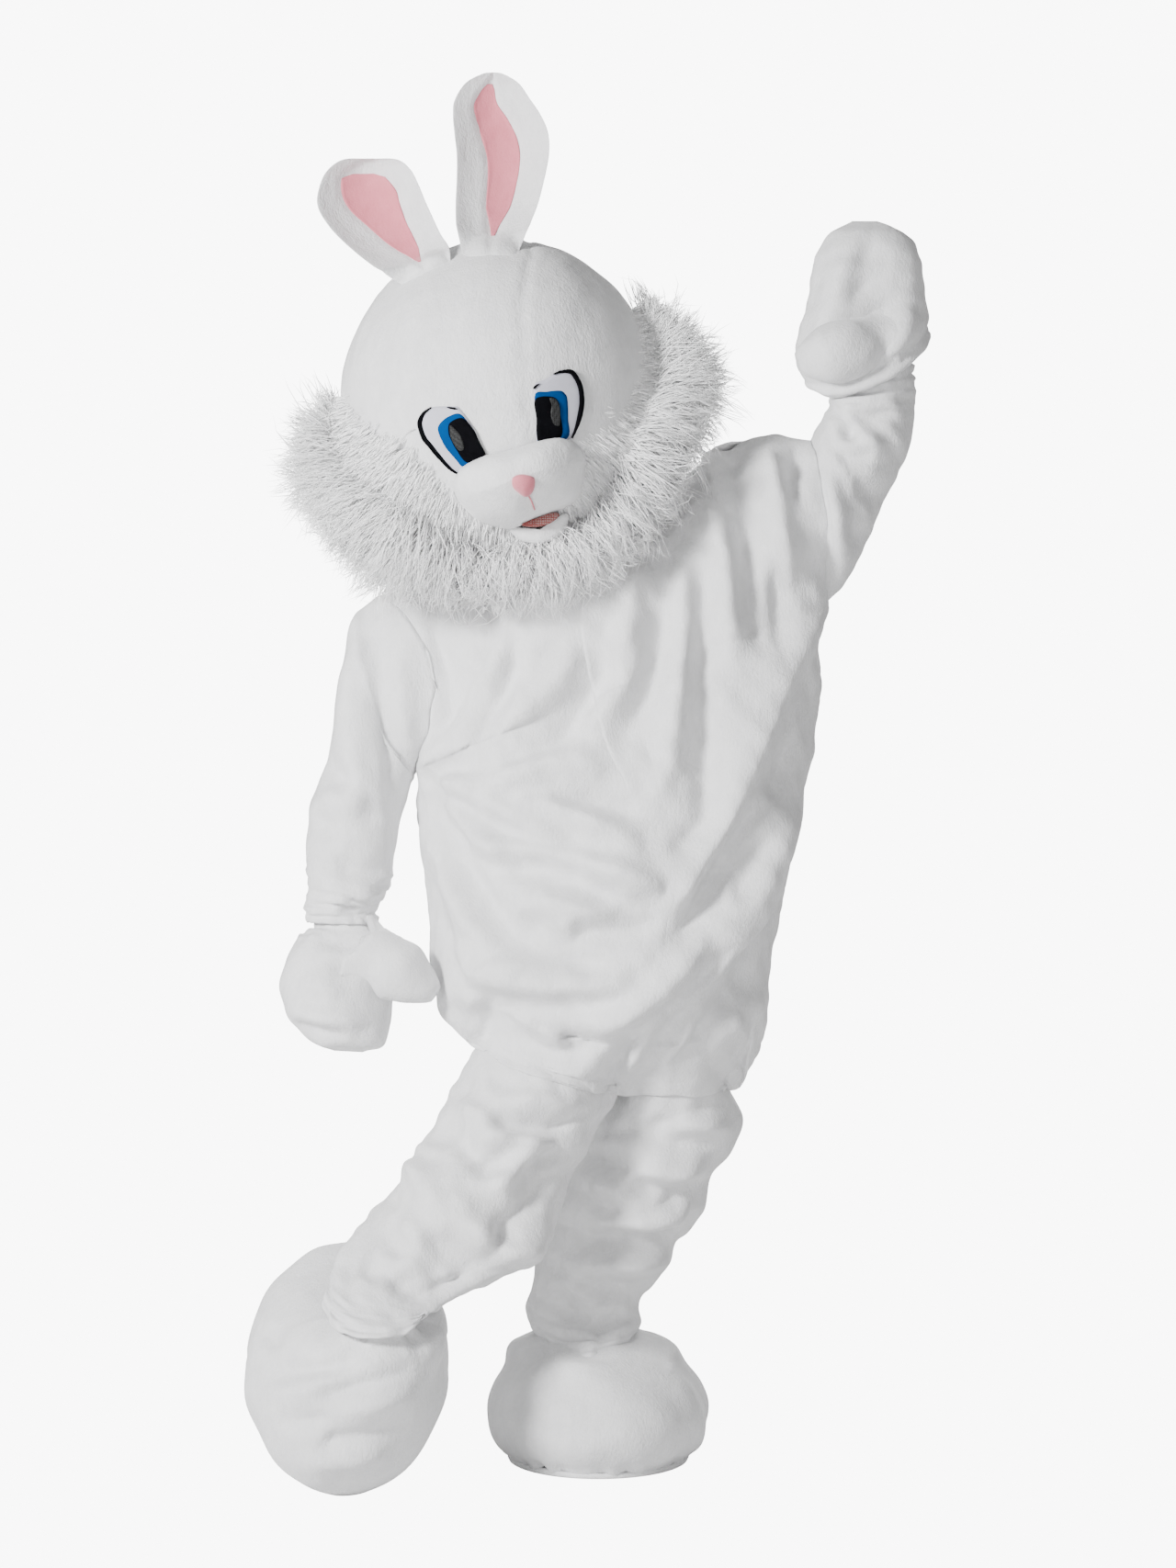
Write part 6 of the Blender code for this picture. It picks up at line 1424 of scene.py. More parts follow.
def make_thumb(side, rows, hand, finish):
    """A rounded thumb that spreads where it is sewn to the hand."""
    grid, tip_way = thumb_rings(rows)
    spread = np.clip(1 - np.arange(len(grid)) / (0.42 * len(grid)), 0, 1) ** 1.6
    for i, share in enumerate(spread):
        for j in range(THUMB_COLUMNS if share > 0 else 0):
            place, normal = hand.find_nearest(Vector(grid[i, j]))[:2]
            sunk = np.array(place) - np.array(normal) * THUMB_ROOT_SINK
            grid[i, j] += (sunk - grid[i, j]) * share
    normals = ring_normals(grid)
    normals[-1] = tip_way
    grid = moved_out(grid, normals, ripple(grid, 81, 0.05, 0.0010))
    inner = grid - from_ring_centres(grid) * 0.10 - tip_way * 0.002
    grid = moved_out(grid, normals, 0.0008 * (1 - spread[:, None]))
    piece = sheet_mesh(f"thumb_{side}", (grid, inner), True, finish)
    dress(piece, "white_plush", f"mitten_{side}_thumb", held="hung")


def foot_cover(aside, back, lean, spread):
    """A foot cover's rings from the sole up, its ankle set aside, back and leaning."""
    turns = around(FOOT_COLUMNS)
    table = smooth_table(FOOT, FOOT_RINGS, FOOT_ROWS)
    rows = []
    for height, share, wide, long in zip(*table.values()):
        tilt = math.radians(lean) * share
        ahead = long * np.sin(turns)
        rows.append(np.stack([
            aside * share - wide * spread * np.cos(turns),
            back * share - ahead * math.cos(tilt),
            height + ahead * math.sin(tilt),
        ], axis=-1))
    return np.stack(rows)


def place_foot(side):
    """Rings of a foot's cover and of its sole, where the foot stands or hangs."""
    aside, back, lean, spread = FOOT_ANKLE[side]
    turns = around(FOOT_COLUMNS)
    wide, long = FOOT_RINGS[0][2] + SOLE_EDGE, FOOT_RINGS[0][3] + SOLE_EDGE
    outline = np.stack([-wide * spread * np.cos(turns), -long * np.sin(turns), 0 * turns], -1)
    sole = np.stack([outline * share + np.array((0, 0, lift)) for share, lift in SOLE_ROWS])
    rings = foot_cover(aside, back, lean, spread)
    if side == "left":
        return rings + np.array(FOOT_LEFT_PLACE), sole + np.array(FOOT_LEFT_PLACE)
    turned = turn_matrix(FOOT_RIGHT_PITCH, FOOT_RIGHT_YAW, FOOT_RIGHT_ROLL).T
    rings, sole = rings @ turned, sole @ turned
    every = np.concatenate([rings.reshape(-1, 3), sole.reshape(-1, 3)])
    place = np.array(FOOT_RIGHT_TOE) - every[every[:, 2].argmin()]
    return rings + place, sole + place


def make_feet(finish):
    """Padded covers on soft soles: the left stands flat, the right hangs toe down."""
    for side, folds, seed in (("left", FOOT_LEFT_FOLDS, 91), ("right", FOOT_RIGHT_FOLDS, 95)):
        rings, sole = place_foot(side)
        normals = ring_normals(rings)
        height = edge_distance(rings, 0)
        rise = FOOT_FOLD_STRENGTH * fold_rise(front_plan(rings), folds)
        rise *= np.clip(-normals[..., 1] * TURNING_FADE, 0, 1)
        rise += ripple(rings, seed, 0.10, 0.0022) * np.clip(height / 0.03, 0, 1)
        pucker = waves_round(np.random.default_rng(seed), FOOT_COLUMNS, 4, 17, 30)
        rise += pucker * swell(height, *SOLE_PUCKER)
        rise += seam_dip(height, rings, seed + 1, "sole")
        rise += seam_dip(np.abs(np.sin(around(FOOT_COLUMNS))) * 0.11, rings, seed + 2, "foot")
        rise += gathers(rings, seed + 3, "foot")
        rings = moved_out(rings, normals, rise)
        cover = wall(f"foot_{side}_cover", rings, ring_normals(rings), FOOT_WALL, True, finish)
        dress(cover, "white_plush", f"foot_{side}_vamp", f"foot_{side}_heel", fill=0.9)
        pad = solid_rings(f"foot_{side}_underside", sole, finish)
        dress(pad, "white_plush", f"foot_{side}_sole", fill=0.9)


def solid_rings(name, rings, finish):
    """A solid through closed rings whose first and last close to a point or a flat end."""
    rows, cols = rings.shape[:2]
    ends = [rings[0].mean(axis=0), rings[-1].mean(axis=0)]
    points = np.concatenate([rings.reshape(-1, 3), ends])
    quads = grid_faces(rows, cols)
    j = np.arange(cols)
    k = (j + 1) % cols
    top = (rows - 1) * cols
    first = np.stack([k, j, np.full(cols, rows * cols)], axis=-1)
    last = np.stack([top + j, top + k, np.full(cols, rows * cols + 1)], axis=-1)
    triangles = np.concatenate([quads[:, :3], quads[:, [0, 2, 3]], first, last])
    return add_mesh(name, points, triangles, finish)


def make_head(finish):
    """One padded ball, open at the neck, with its sewn seams drawn in."""
    polar = np.linspace(NECK_HOLE_ANGLE, math.pi - 0.004, HEAD_ROWS)[:, None, None]
    turns = around(HEAD_COLUMNS)[:, None]
    beside = np.cross(HOLE_AXIS, HEAD_ACROSS)
    way = (np.cos(polar) * HOLE_AXIS + np.sin(polar) * np.cos(turns) * HEAD_ACROSS
           + np.sin(polar) * np.sin(turns) * beside)
    across = np.arcsin(np.clip(way @ HEAD_ACROSS, -1, 1))
    over = unwrap(np.arctan2(way @ HEAD_UP, way @ HEAD_FORWARD))
    from_seam = (np.abs(across) - gusset_edge(over)) * HEAD_RADIUS
    from_crown = (over - math.radians(CROWN_SEAM)) * HEAD_RADIUS * np.cos(across)
    from_crown = np.where(from_seam < 0, np.abs(from_crown), 1.0)
    points = HEAD_CENTRE + HEAD_RADIUS * way
    shown = np.where((across > 0) | (over > math.radians(CROWN_SEAM)), 1.0, 0.3)
    lift = ripple(points, 103, 0.13, 0.0012) + ripple(points, 104, 0.05, 0.0004)
    for distance, seed in ((np.abs(from_seam), 101), (from_crown, 102)):
        lift += seam_dip(distance, points, seed, "head") * shown
        lift += swell(distance, *SEAM_EDGE_SWELL) * shown
    points = moved_out(points, way, lift)
    head = sheet_mesh("head_cover", (points, points - way * HEAD_WALL), True, finish)
    dress(head, "white_plush", "head_gusset_front", "head_gusset_back", "head_side_left",
          "head_side_right", fill=0.95)


def raised(flat, height):
    """Face places stood off the ball, forward and a little down."""
    way = unit(HEAD_FORWARD - MUZZLE_DROP * HEAD_UP)
    return moved_out(on_ball(flat, 0.0005), way, np.asarray(height))


def muzzle_height(flat, part):
    """Two cheeks with the groove between them."""
    aside, up = flat[..., 0], flat[..., 1]
    rise = MUZZLE_RISE * dome(1 - part, 3) * (0.72 + 0.28 * np.clip((-0.086 - up) / 0.035, 0, 1))
    cheeks = swell(np.abs(aside), *CHEEK_SWELL) * part
    low = np.clip((-0.138 - up) / 0.018, 0, 1)
    return MUZZLE_EDGE + rise + cheeks - PHILTRUM_DEPTH * bump(aside, 0.011) * low * np.sqrt(part)


def face_patch(name, outline, size, top, under, slot, finishes, *nodes, **kept):
    """A piece sewn to the face: its domed top and its underside, over rings of its outline."""
    count, rings = size
    flat = face_disc(outline, count, rings)
    part = np.linspace(0, 1, rings + 1)[:, None] * np.ones(count)
    piece = sheet_mesh(name, (top(flat, part), under(flat)), True, finishes[slot])
    dress(piece, slot, *nodes, **kept)


def stroke(path, half_width, steps):
    """A strip along a path, narrowing to its ends, as a grid of flat places."""
    line = smooth_line(path, steps)
    run = unit(np.gradient(line, axis=0))
    side = np.stack([-run[:, 1], run[:, 0]], axis=-1)
    share = np.linspace(0, 1, steps)
    wide = half_width * np.clip(np.minimum(share, 1 - share) / 0.28, 0.12, 1) ** 0.6
    across = np.linspace(-1, 1, 7)
    return line[:, None] + side[:, None] * (wide[:, None] * across)[..., None], across


def make_eye(side, sign, outlines, finishes):
    """An eye laid on in layers, and the black line round it."""
    lift = EYE_LIFT
    for part_name, slot in EYE_LAYERS.items():
        def top(flat, part):
            return on_ball(flat, lift + FELT_WALL * np.clip(part / 0.06, 0, 1) ** 0.5)

        def under(flat):
            return on_ball(flat, lift - FELT_GAP)

        nodes = () if part_name == "mesh" else (f"eye_{side}_{part_name}",)
        face_patch(f"eye_{side}_{part_name}_cloth", mirrored(outlines[part_name], sign), (56, 7),
                   top, under, slot, finishes, *nodes, held="stretched")
        lift += FELT_WALL + FELT_GAP
    bands = []
    for part_name, half, steps in (("line", EYE_LINE_HALF, 90), ("corner", EYE_CORNER_HALF, 16)):
        flat, across = stroke(mirrored(outlines[part_name], sign), half, steps)
        skins = (on_ball(flat, 0.0026 + 0.0018 * dome(across)), on_ball(flat, 0.0008))
        bands.append(sheet_mesh(f"eye_{side}_{part_name}", skins, False, finishes["black_felt"]))
    dress(join(*bands), "black_felt", f"eye_{side}_edge", held="stretched")


def make_nose(finishes):
    """The nose and the stitched line that runs down from it into the groove."""
    base = MUZZLE_EDGE + MUZZLE_RISE

    def top(flat, part):
        return raised(flat, base + NOSE_RISE * dome(1 - part, 2.4))

    flat = face_disc(NOSE_OUTLINE, 48, 14)
    part = np.linspace(0, 1, 15)[:, None] * np.ones(48)
    nose = sheet_mesh("nose_button", (top(flat, part), raised(flat, base - 0.001)), True,
                      finishes["pink_plush"])
    across = np.linspace(-1, 1, 7)
    aside = across[:, None] * np.array((PHILTRUM_HALF, 0.0))
    flat = smooth_line(PHILTRUM_PATH, 24)[:, None] + aside
    height = muzzle_height(flat, 1 - 0.93 * np.clip((-0.1435 - flat[..., 1]) / 0.022, 0, 1))
    crown = 0.0016 + 0.0016 * dome(across)
    stitch = sheet_mesh("nose_stitch", (raised(flat, height + crown), raised(flat, height)), False,
                        finishes["pink_plush"])
    dress(join(nose, stitch), "pink_plush", "nose", fill=1.0)


def make_face(finishes):
    """Eyes, muzzle, nose, mouth and lower lip."""
    make_eye("left", 1, EYE_LEFT, finishes)
    make_eye("right", -1, EYE_RIGHT, finishes)

    def muzzle_top(flat, part):
        top = raised(flat, muzzle_height(flat, part))
        return moved_out(top, HEAD_FORWARD, ripple(top, 111, 0.05, 0.0008))

    def muzzle_under(flat):
        return on_ball(flat, EYE_LIFT)

    def mouth_top(flat, part):
        return on_plane(flat, MOUTH_FRONT + MOUTH_RISE * part)

    def mouth_under(flat):
        return on_plane(flat, MOUTH_BACK)

    def lip_top(flat, part):
        return on_plane(flat, LIP_BACK + LIP_EDGE + LIP_RISE * dome(1 - part, 2.2))

    def lip_under(flat):
        return on_plane(flat, LIP_BACK)

    face_patch("muzzle_pillow", MUZZLE_OUTLINE, (96, 34), muzzle_top, muzzle_under,
               "white_plush", finishes, "muzzle", fill=0.95)
    make_nose(finishes)
    face_patch("mouth_mesh", MOUTH_OUTLINE, (56, 10), mouth_top, mouth_under,
               "red_mesh", finishes, "mouth", held="stretched")
    face_patch("lip_pad", LIP_OUTLINE, (72, 16), lip_top, lip_under,
               "white_plush", finishes, "lower_lip", fill=0.9)


def ear_table(rows):
    """An ear's rows from its root in the ball to its closed tip."""
    first, second, last = (np.array(row) for row in (rows[0], rows[1], rows[-1]))
    root = first.copy()
    root[:4] -= (second[:4] - first[:4]) * EAR_ROOT_RUN
    middle = (last[:4] + last[[2, 3, 0, 1]]) / 2
    tip = np.concatenate([middle + (last[:4] - middle) * EAR_TIP_SHARE, last[4:]])
    tip[[1, 3]] += EAR_TIP_RUN
    table = smooth_table(EAR, [root, *rows, tip], EAR_ROWS)
    return np.stack(list(table.values()), -1)


def ear_skins(shape, share):
    """The front and back of a plump, cupped ear, before it's set on the ball."""
    bow = 1 - (2 * share - 1) ** 2
    fronts, backs = [], []
    for row, values in enumerate(shape):
        left_x, left_z, right_x, right_z, mid_y, lining_left, lining_right = values
        wide = math.hypot(right_x - left_x, right_z - left_z) / EAR_USUAL_WIDTH
        narrow = EAR_ROOT_WIDTH + (1 - EAR_ROOT_WIDTH) * min(row / EAR_WIDE_ROWS, 1)
        x = left_x + (right_x - left_x) * share
        z = left_z + (right_z - left_z) * share
        x, z = x.mean() + (x - x.mean()) * narrow, z.mean() + (z - z.mean()) * narrow
        y = mid_y + EAR_CUP * wide * (bow - 0.3) * min((EAR_ROWS + 1 - row) / EAR_TIP_ROWS, 1)
        thick = (EAR_EDGE + EAR_PADDING * np.sqrt(bow) * wide) * dome(2 * share - 1, 8)
        inner = np.clip(np.minimum(share - lining_left, lining_right - share) / 0.10, -1, 1)
        near_tip = min((EAR_ROWS - row) / EAR_TIP_ROWS, 1)
        rim = EAR_RIM * near_tip * np.clip(-inner * 1.4 + 0.3, 0, 1) * np.sqrt(bow)
        fronts.append(np.stack([x, y - rim, z], axis=-1))
        backs.append(np.stack([x, y + thick, z], axis=-1))
    return np.stack(fronts), np.stack(backs)


def ball_front(points, radius):
    """How far back the ball's front is at points of the front view, and where it is at all."""
    left_over = radius ** 2 - ((points[..., (0, 2)] - HEAD_CENTRE[[0, 2]]) ** 2).sum(axis=-1)
    return HEAD_CENTRE[1] - np.sqrt(np.maximum(left_over, 0)), left_over > 0


def set_on_ball(front, back):
    """An ear's skins moved clear of the ball, their roots sunk into its cover."""
    face, over_ball = ball_front(back, HEAD_RADIUS + EAR_CLEAR)
    push = np.where(over_ball, np.maximum(back[..., 1] - face, 0), 0)
    front[..., 1] -= push
    back[..., 1] -= push
    skin = ball_front(front, HEAD_RADIUS)[0] + EAR_ROOT_SINK
    blend = 1 - np.clip((np.arange(EAR_ROWS + 1) - 1) / EAR_SET_ROWS, 0.0, 1)[:, None] ** 1.3
    front[..., 1] += (skin - front[..., 1]) * blend
    back[..., 1] += (skin + EAR_ROOT_SINK - back[..., 1]) * blend
    soft = ripple(front, 121, 0.06, 0.0010)
    front[..., 1] += soft
    back[..., 1] += soft


def make_lining(side, front, shape, share, finish):
    """Pink cloth laid into an ear's front, short of its tip."""
    middle_line = front[:, EAR_COLUMNS // 2]
    below_tip = np.linalg.norm(middle_line - middle_line[-1], axis=-1)
    stop = int(np.argmax(below_tip < PINK_BELOW_TIP[side]))
    across = np.linspace(-1, 1, PINK_COLUMNS)
    patch = []
    for k in range(PINK_FIRST_ROW, stop):
        fade = min((k + 1 - PINK_FIRST_ROW) / 8, (stop - k) / 3, 1) ** 0.5
        left, right = shape[k, 5:]
        at = (left + right) / 2 + (right - left) / 2 * fade * across
        patch.append(np.stack([np.interp(at, share, front[k, :, axis]) for axis in range(3)], -1))
    patch = np.stack(patch)
    lift = PINK_EDGE + PINK_RISE * dome(across, 6) + ripple(patch, 123, 0.03, 0.0004)
    skins = (moved_out(patch, AHEAD, lift), patch - AHEAD * PINK_SINK)
    lining = sheet_mesh(f"ear_{side}_pink", skins, False, finish)
    dress(lining, "pink_plush", f"ear_{side}_lining", held="stretched")


def make_ears(finishes):
    """Plump cupped ears with pink set into their fronts."""
    share = (1 - np.cos(np.linspace(0, math.pi, EAR_COLUMNS))) / 2
    for side, rows in (("left", EAR_LEFT_ROWS), ("right", EAR_RIGHT_ROWS)):
        shape = ear_table(rows)
        front, back = ear_skins(shape, share)
        set_on_ball(front, back)
        rings = np.concatenate([front, back[:, -2:0:-1]], axis=1)
        ear = solid_rings(f"ear_{side}_pad", rings, finishes["white_plush"])
        dress(ear, "white_plush", f"ear_{side}", fill=0.8)
        make_lining(side, front, shape, share, finishes["pink_plush"])


def read_ruff(places, angle, *names):
    """The ruff's measures at an angle round the face."""
    return (np.interp(angle, places["around"], places[name]) for name in names)


def make_ruff(finish):
    """Long pile round the face: a soft body under thousands of strands."""
    table = columns(RUFF, RUFF_ROWS)
    order = np.argsort(table["around"])
    places = {name: smooth_line(table[name][order], 200) for name in RUFF}
    draw = np.random.default_rng(131)
    for name, start, stop in RUFF_PARTS:
        angles = np.linspace(start, stop, int(abs(stop - start) / 1.5) + 1)
        rings = []
        for angle in angles:
            reach, forward, root = read_ruff(places, angle, *RUFF[1:])
            body = HEAD_RADIUS + (reach - HEAD_RADIUS) * RUFF_BODY_SHARE
            section = ruff_section(math.radians(angle), body, forward * RUFF_BODY_SHARE, root)
            rings.append(closed_outline(section, 33))
        rings = np.stack(rings)
        normals = ring_normals(rings)
        rings = moved_out(rings, normals, ripple(rings, 133, 0.035, 0.0022))
        pile = solid_rings(f"{name}_pile", rings, finish)
        fringe = ring_strands(angles, rings, normals, places, draw)
        cheek = cheek_strands(start, stop, places, draw)
        strands = [np.concatenate(pair) for pair in zip(fringe, cheek)]
        dress(join(pile, strand_mesh(name, strands, draw, finish)), "long_pile", name, fill=0.5)


def join(piece, other):
    """Two meshes made into one piece."""
    with bpy.context.temp_override(active_object=piece, selected_editable_objects=[piece, other]):
        bpy.ops.object.join()
    return piece


def round_ways(angles):
    return np.stack([np.cos(angles), np.zeros_like(angles), np.sin(angles)], axis=-1)


def ring_strands(angles, rings, normals, places, draw):
    """Roots, ways and lengths of the strands that grow over the ruff's soft body."""
    rows, cols = rings.shape[:2]
    row = draw.uniform(0, rows - 1.001, RING_STRANDS)
    col = draw.uniform(cols * PILE_FROM, cols * PILE_TO, RING_STRANDS)
    i, j = row.astype(int), col.astype(int)
    k = (j + 1) % cols
    u, v = (row - i)[:, None], (col - j)[:, None]
    roots, lean = (
        (field[i, j] * (1 - u) + field[i + 1, j] * u) * (1 - v)
        + (field[i, k] * (1 - u) + field[i + 1, k] * u) * v
        for field in (rings, normals)
    )
    angle = np.interp(row, np.arange(rows), angles)
    reach, forward = read_ruff(places, angle, "reach", "forward")
    uneven = 1 + 0.035 * (np.sin(np.radians(angle) * 9 + 1) + np.sin(np.radians(angle) * 23) * 0.8
                          + np.sin(np.radians(angle) * 41 + 2) * 0.6)
    out = round_ways(np.radians(angle + draw.normal(0, STRAY_DEGREES, RING_STRANDS)))
    tips = HEAD_CENTRE + out * (reach * uneven)[:, None] + HEAD_FORWARD * forward[:, None]
    to_tip = tips - roots
    apart = np.linalg.norm(to_tip, axis=-1)
    way = unit(unit(to_tip) + unit(lean) * STRAND_LEAN + draw.normal(0, STRAY, roots.shape))
    length = apart * draw.uniform(SHORTEST_SHARE, 1.0, RING_STRANDS)
    length += draw.exponential(0.010, RING_STRANDS)
    return roots, way, unit(lean), np.minimum(length, LONGEST_STRAND)


def cheek_strands(start, stop, places, draw):
    """Roots, ways and lengths of the strands sewn to the ball, short beside the face."""
    inner = columns(CHEEK, CHEEK_ROWS)
    order = np.argsort(inner["around"])
    angle = draw.uniform(min(start, stop), max(start, stop), CHEEK_STRANDS)
    edge = np.interp(angle, inner["around"][order], inner["ahead"][order])
    (root,) = read_ruff(places, angle, "root")
    root = root - 2
    part = draw.uniform(0, 1.06, CHEEK_STRANDS) ** 0.8
    spread = (np.maximum(edge, root + 4) - root) * part
    ahead = np.radians(root + spread + draw.normal(0, 1.2 + 2.6 * part))
    out = round_ways(np.radians(angle))
    lean = out * np.cos(ahead)[:, None] + HEAD_FORWARD * np.sin(ahead)[:, None]
    over = out * np.sin(ahead)[:, None] - HEAD_FORWARD * np.cos(ahead)[:, None]
    roots = HEAD_CENTRE + lean * HEAD_RADIUS
    flat_down = part[:, None]
    way = unit(over * (0.5 + 0.35 * flat_down) + out * (0.6 - 0.3 * flat_down) + lean * 0.1
               + draw.normal(0, 0.13, roots.shape))
    length = (CHEEK_LENGTH - CHEEK_SHORTER * part) * draw.uniform(0.6, 1.25, CHEEK_STRANDS)
    return roots, way, lean, length


def strand_mesh(name, strands, draw, finish):
    """Tapering strands that droop, bend and draw together into locks."""
    roots, way, lean, length = strands
    count = len(roots)
    ends = roots + way * length[:, None]
    ends[:, 2] -= length * STRAND_DROOP
    centres = ends[draw.choice(count, count // STRANDS_PER_LOCK, replace=False)]
    nearest = np.empty(count, dtype=int)
    for part in np.array_split(np.arange(count), 40):
        nearest[part] = np.linalg.norm(ends[part][:, None] - centres[None], axis=-1).argmin(axis=1)
    ends += (centres[nearest] - ends) * draw.uniform(0.15, 0.75, count)[:, None]
    across = unit(np.cross(way, draw.normal(size=roots.shape)))
    other = np.cross(way, across)
    bend = draw.normal(0, STRAND_BEND, count) * length
    points = []
    for station, size in STRAND_STATIONS:
        bow = 4 * station * (1 - station)
        middle = roots - way * STRAND_FOOT + (ends - roots) * station
        middle += lean * (length * STRAND_BOW * bow)[:, None] + across * (bend * bow)[:, None]
        if size == 0:
            points.append(middle[:, None])
            break
        ring = [middle + (across * math.cos(t) + other * math.sin(t)) * (size * STRAND_RADIUS)
                for t in np.arange(3) * 2 * math.pi / 3]
        points.append(np.stack(ring, axis=1))
    points = np.concatenate(points, axis=1)
    corners = []
    for level in (0, 3):
        for k in range(3):
            a, b = level + k, level + (k + 1) % 3
            corners += [(a, b, b + 3), (a, b + 3, a + 3)]
    corners += [(6 + k, 6 + (k + 1) % 3, 9) for k in range(3)] + [(0, 2, 1)]
    faces = np.array(corners)[None] + (np.arange(count) * 10)[:, None, None]
    return add_mesh(f"{name}_strands", points.reshape(-1, 3), faces.reshape(-1, 3), finish)


class Thread:
    """A value in a finish's maths: arithmetic on it adds the Math nodes."""

    def __init__(self, finish, socket):
        self.finish, self.socket = finish, socket

    def _maths(self, operation, first, second):
        return self.finish.node("ShaderNodeMath", {"operation": operation}, {0: first, 1: second})

    def __add__(self, other):
        return self._maths("ADD", self, other)

    __radd__ = __add__

    def __sub__(self, other):
        return self._maths("SUBTRACT", self, other)

    def __rsub__(self, other):
        return self._maths("SUBTRACT", other, self)

    def __mul__(self, other):
        return self._maths("MULTIPLY", self, other)

    __rmul__ = __mul__

    def __truediv__(self, other):
        return self._maths("DIVIDE", self, other)

    def __pow__(self, other):
        return self._maths("POWER", self, other)

    def __rpow__(self, other):
        return self._maths("POWER", other, self)


class Finish:
    """A procedural finish for one kind of cloth."""

    def __init__(self, name, **constants):
        self.material = bpy.data.materials.new(name)
        self.material.use_nodes = True
        self.tree = self.material.node_tree
        self.shader = self.tree.nodes["Principled BSDF"]
        for socket, value in constants.items():
            self.shader.inputs[socket.replace("_", " ")].default_value = value
        self.place = self.node("ShaderNodeTexCoord", {}, {}, "Object")

    def node(self, kind, settings, sockets, output=0):
        """A node of any kind, its settings first and then its sockets."""
        made = self.tree.nodes.new(kind)
        for key, value in settings.items():
            if key == "stops":
                for stop, (position, colour) in zip(made.color_ramp.elements, value):
                    stop.position, stop.color = position, (*colour, 1.0)
            else:
                setattr(made, key, value)
        for key, value in sockets.items():
            self.feed(made.inputs[key], value)
        return Thread(self, made.outputs[output])

    def feed(self, socket, value):
        if isinstance(value, Thread):
            self.tree.links.new(value.socket, socket)
        elif hasattr(socket.default_value, "__len__") and len(value) < len(socket.default_value):
            socket.default_value = (*value, 1.0)
        else:
            socket.default_value = value

    def noise(self, scale, detail=2.0, rough=0.5, place=None):
        return self.node("ShaderNodeTexNoise", {}, {
            "Vector": place or self.place, "Scale": scale, "Detail": detail, "Roughness": rough,
        })

    def stretched(self, scale):
        """Places stretched along one way, for brushed pile."""
        settings = {"operation": "MULTIPLY"}
        return self.node("ShaderNodeVectorMath", settings, {0: self.place, 1: scale})

    def blend(self, share, first, second):
        return self.node("ShaderNodeMix", {"data_type": "RGBA"}, {
            "Factor": share, 6: first, 7: second,
        }, 2)

    def finish_with(self, colour, height, depth, roughness=None):
        self.feed(self.shader.inputs["Base Color"], colour)
        if roughness is not None:
            self.feed(self.shader.inputs["Roughness"], roughness)
        sockets = {"Height": height, "Distance": depth, "Strength": 1.0}
        relief = self.node("ShaderNodeBump", {}, sockets)
        self.feed(self.shader.inputs["Normal"], relief)
        return self.material


def clamped(value):
    """A value held between 0 and 1."""
    return value.finish.node("ShaderNodeClamp", {}, {0: value})


def pile_finish(name, light, dark, fine, lay, depth):
    """Plush: brushed mottling, clumped pile and single hairs, with a soft sheen."""
    finish = Finish(name, Roughness=0.95, Sheen_Weight=0.35, Sheen_Roughness=0.45,
                    Specular_IOR_Level=0.15)
    brushed = finish.noise(9.0, 3.0, 0.6)
    clumps = finish.noise(fine * 0.22, 3.0, 0.62, finish.stretched(lay))
    hairs = finish.noise(fine, 2.0, 0.7, finish.stretched(lay))
    mottle = clamped((brushed - 0.35) * 0.9 + (clumps - 0.5) * 0.9 + (hairs - 0.5) * 0.5 + 0.25)
    colour = finish.blend(mottle, light, dark)
    height = clumps * 0.6 + hairs * 0.4
    rough = 0.88 + clumps * 0.12
    return finish.finish_with(colour, height, depth, rough)


def felt_finish(name, light, dark, rough, sheen, depth=0.0004):
    finish = Finish(name, Roughness=rough, Sheen_Weight=sheen, Specular_IOR_Level=sheen)
    blotch = finish.noise(60.0, 3.0, 0.6)
    fibres = finish.noise(900.0, 2.0, 0.7)
    share = clamped((blotch - 0.4) * 1.4 + (fibres - 0.5) * 0.8)
    colour = finish.blend(share, light, dark)
    height = fibres * 0.5 + blotch * 0.5
    return finish.finish_with(colour, height, depth, rough - 0.05 + 0.1 * fibres)


def mesh_finish(name, thread, hole, pitch):
    """Knitted mesh: dark holes in rows between paler threads."""
    finish = Finish(name, Roughness=0.6, Specular_IOR_Level=0.3)
    apart = finish.node("ShaderNodeTexVoronoi", {"feature": "F1", "voronoi_dimensions": "3D"}, {
        "Vector": finish.place, "Scale": 1 / pitch, "Randomness": 0.15,
    })
    share = clamped((apart - 0.30) * 6.0)
    colour = finish.blend(share, hole, thread)
    return finish.finish_with(colour, share, 0.0005)


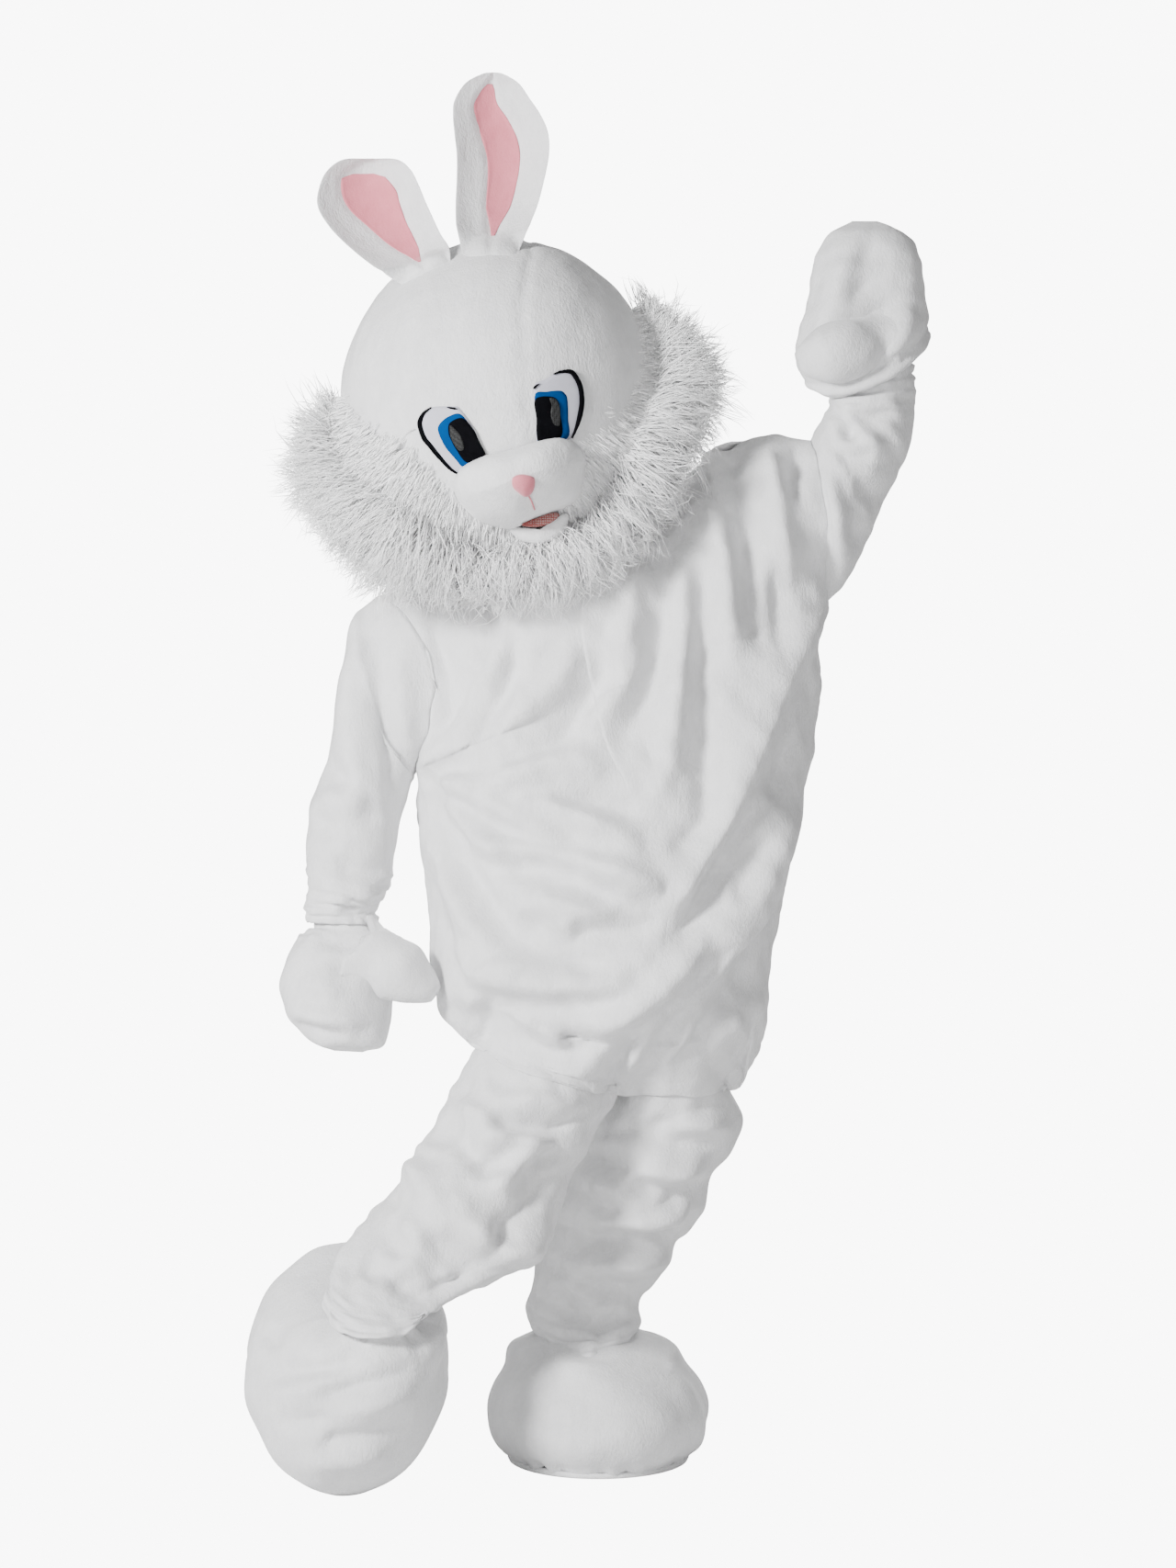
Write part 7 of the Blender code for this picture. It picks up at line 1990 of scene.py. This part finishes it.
def make_finishes():
    """Every finish by name: how it's made, its two colours, then its own measures."""
    return {name: made(name, *measures) for made, name, *measures in (
        (pile_finish, "white_plush", (0.78, 0.78, 0.785), (0.62, 0.62, 0.63), 300.0,
         (1.0, 1.0, 0.55), 0.0026),
        (pile_finish, "long_pile", (1.0, 1.0, 1.0), (0.96, 0.96, 0.96), 420.0,
         (1.0, 1.0, 0.4), 0.0004),
        (pile_finish, "pink_plush", (0.64, 0.205, 0.245), (0.54, 0.15, 0.19), 420.0,
         (1.0, 1.0, 0.6), 0.0010),
        (felt_finish, "white_felt", (0.48, 0.48, 0.54), (0.40, 0.40, 0.47), 0.6, 0.05),
        (felt_finish, "blue_felt", (0.0005, 0.045, 0.17), (0.0005, 0.032, 0.13), 0.85, 0.0),
        (felt_finish, "black_felt", (0.004, 0.004, 0.005), (0.001, 0.001, 0.001), 0.9, 0.0),
        (mesh_finish, "dark_mesh", (0.020, 0.021, 0.021), (0.002, 0.002, 0.002), 0.0022),
        (mesh_finish, "red_mesh", (0.20, 0.045, 0.04), (0.30, 0.19, 0.18), 0.0030),
    )}


def show_bright(tree, lit, end, glow_kind):
    """Sets a surface behind the costume to show as bright paper that casts no light on it."""
    glow = tree.nodes.new(glow_kind)
    glow.inputs["Color"].default_value = (1.0, 1.0, 1.0, 1.0)
    glow.inputs["Strength"].default_value = PAPER_GLOW
    ray = tree.nodes.new("ShaderNodeLightPath")
    mix = tree.nodes.new("ShaderNodeMixShader")
    tree.links.new(ray.outputs["Is Camera Ray"], mix.inputs[0])
    tree.links.new(lit.outputs[0], mix.inputs[1])
    tree.links.new(glow.outputs[0], mix.inputs[2])
    tree.links.new(mix.outputs[0], tree.nodes[end].inputs["Surface"])


def stage_set():
    """A wide pale floor, soft light all round and the camera."""
    corners = ((-1, -1), (1, -1), (1, 1), (-1, 1))
    points = np.array([(x * FLOOR_HALF, y * FLOOR_HALF, FLOOR_Z) for x, y in corners])
    faces = np.array([(0, 1, 2, 3)])
    finish = Finish("backdrop", Roughness=1.0, Specular_IOR_Level=0.0)
    finish.feed(finish.shader.inputs["Base Color"], (0.85, 0.85, 0.85))
    show_bright(finish.tree, finish.shader, "Material Output", "ShaderNodeEmission")
    floor = add_mesh("floor", points, faces, finish.material)

    world = bpy.data.worlds.new("studio")
    world.use_nodes = True
    shade = world.node_tree.nodes["Background"]
    shade.inputs["Color"].default_value = (1.0, 1.0, 1.0, 1.0)
    shade.inputs["Strength"].default_value = SKY_STRENGTH
    show_bright(world.node_tree, shade, "World Output", "ShaderNodeBackground")
    bpy.context.scene.world = world
    for name, place, size, power in LIGHTS:
        lamp = bpy.data.lights.new(name, "AREA")
        lamp.shape, lamp.size, lamp.energy = "DISK", size, power
        holder = bpy.data.objects.new(name, lamp)
        holder.location = place
        aim = Vector(LIGHTS_AIM) - Vector(place)
        holder.rotation_euler = aim.to_track_quat("-Z", "Y").to_euler()
        bpy.context.scene.collection.objects.link(holder)

    lens = bpy.data.cameras.new("camera")
    lens.lens, lens.sensor_width, lens.sensor_fit = LENS, SENSOR_WIDTH, "AUTO"
    lens.clip_end = 50.0
    camera = bpy.data.objects.new("camera", lens)
    camera.location = tuple(LOOK_FROM)
    camera.rotation_euler = (math.pi / 2, 0.0, 0.0)
    bpy.context.scene.collection.objects.link(camera)
    bpy.context.scene.camera = camera


def main():
    finishes = make_finishes()
    white = finishes["white_plush"]
    make_suit(make_legs(white), white)
    make_mittens(white)
    make_feet(white)
    make_head(white)
    make_face(finishes)
    make_ears(finishes)
    make_ruff(finishes["long_pile"])
    stage_set()


main()
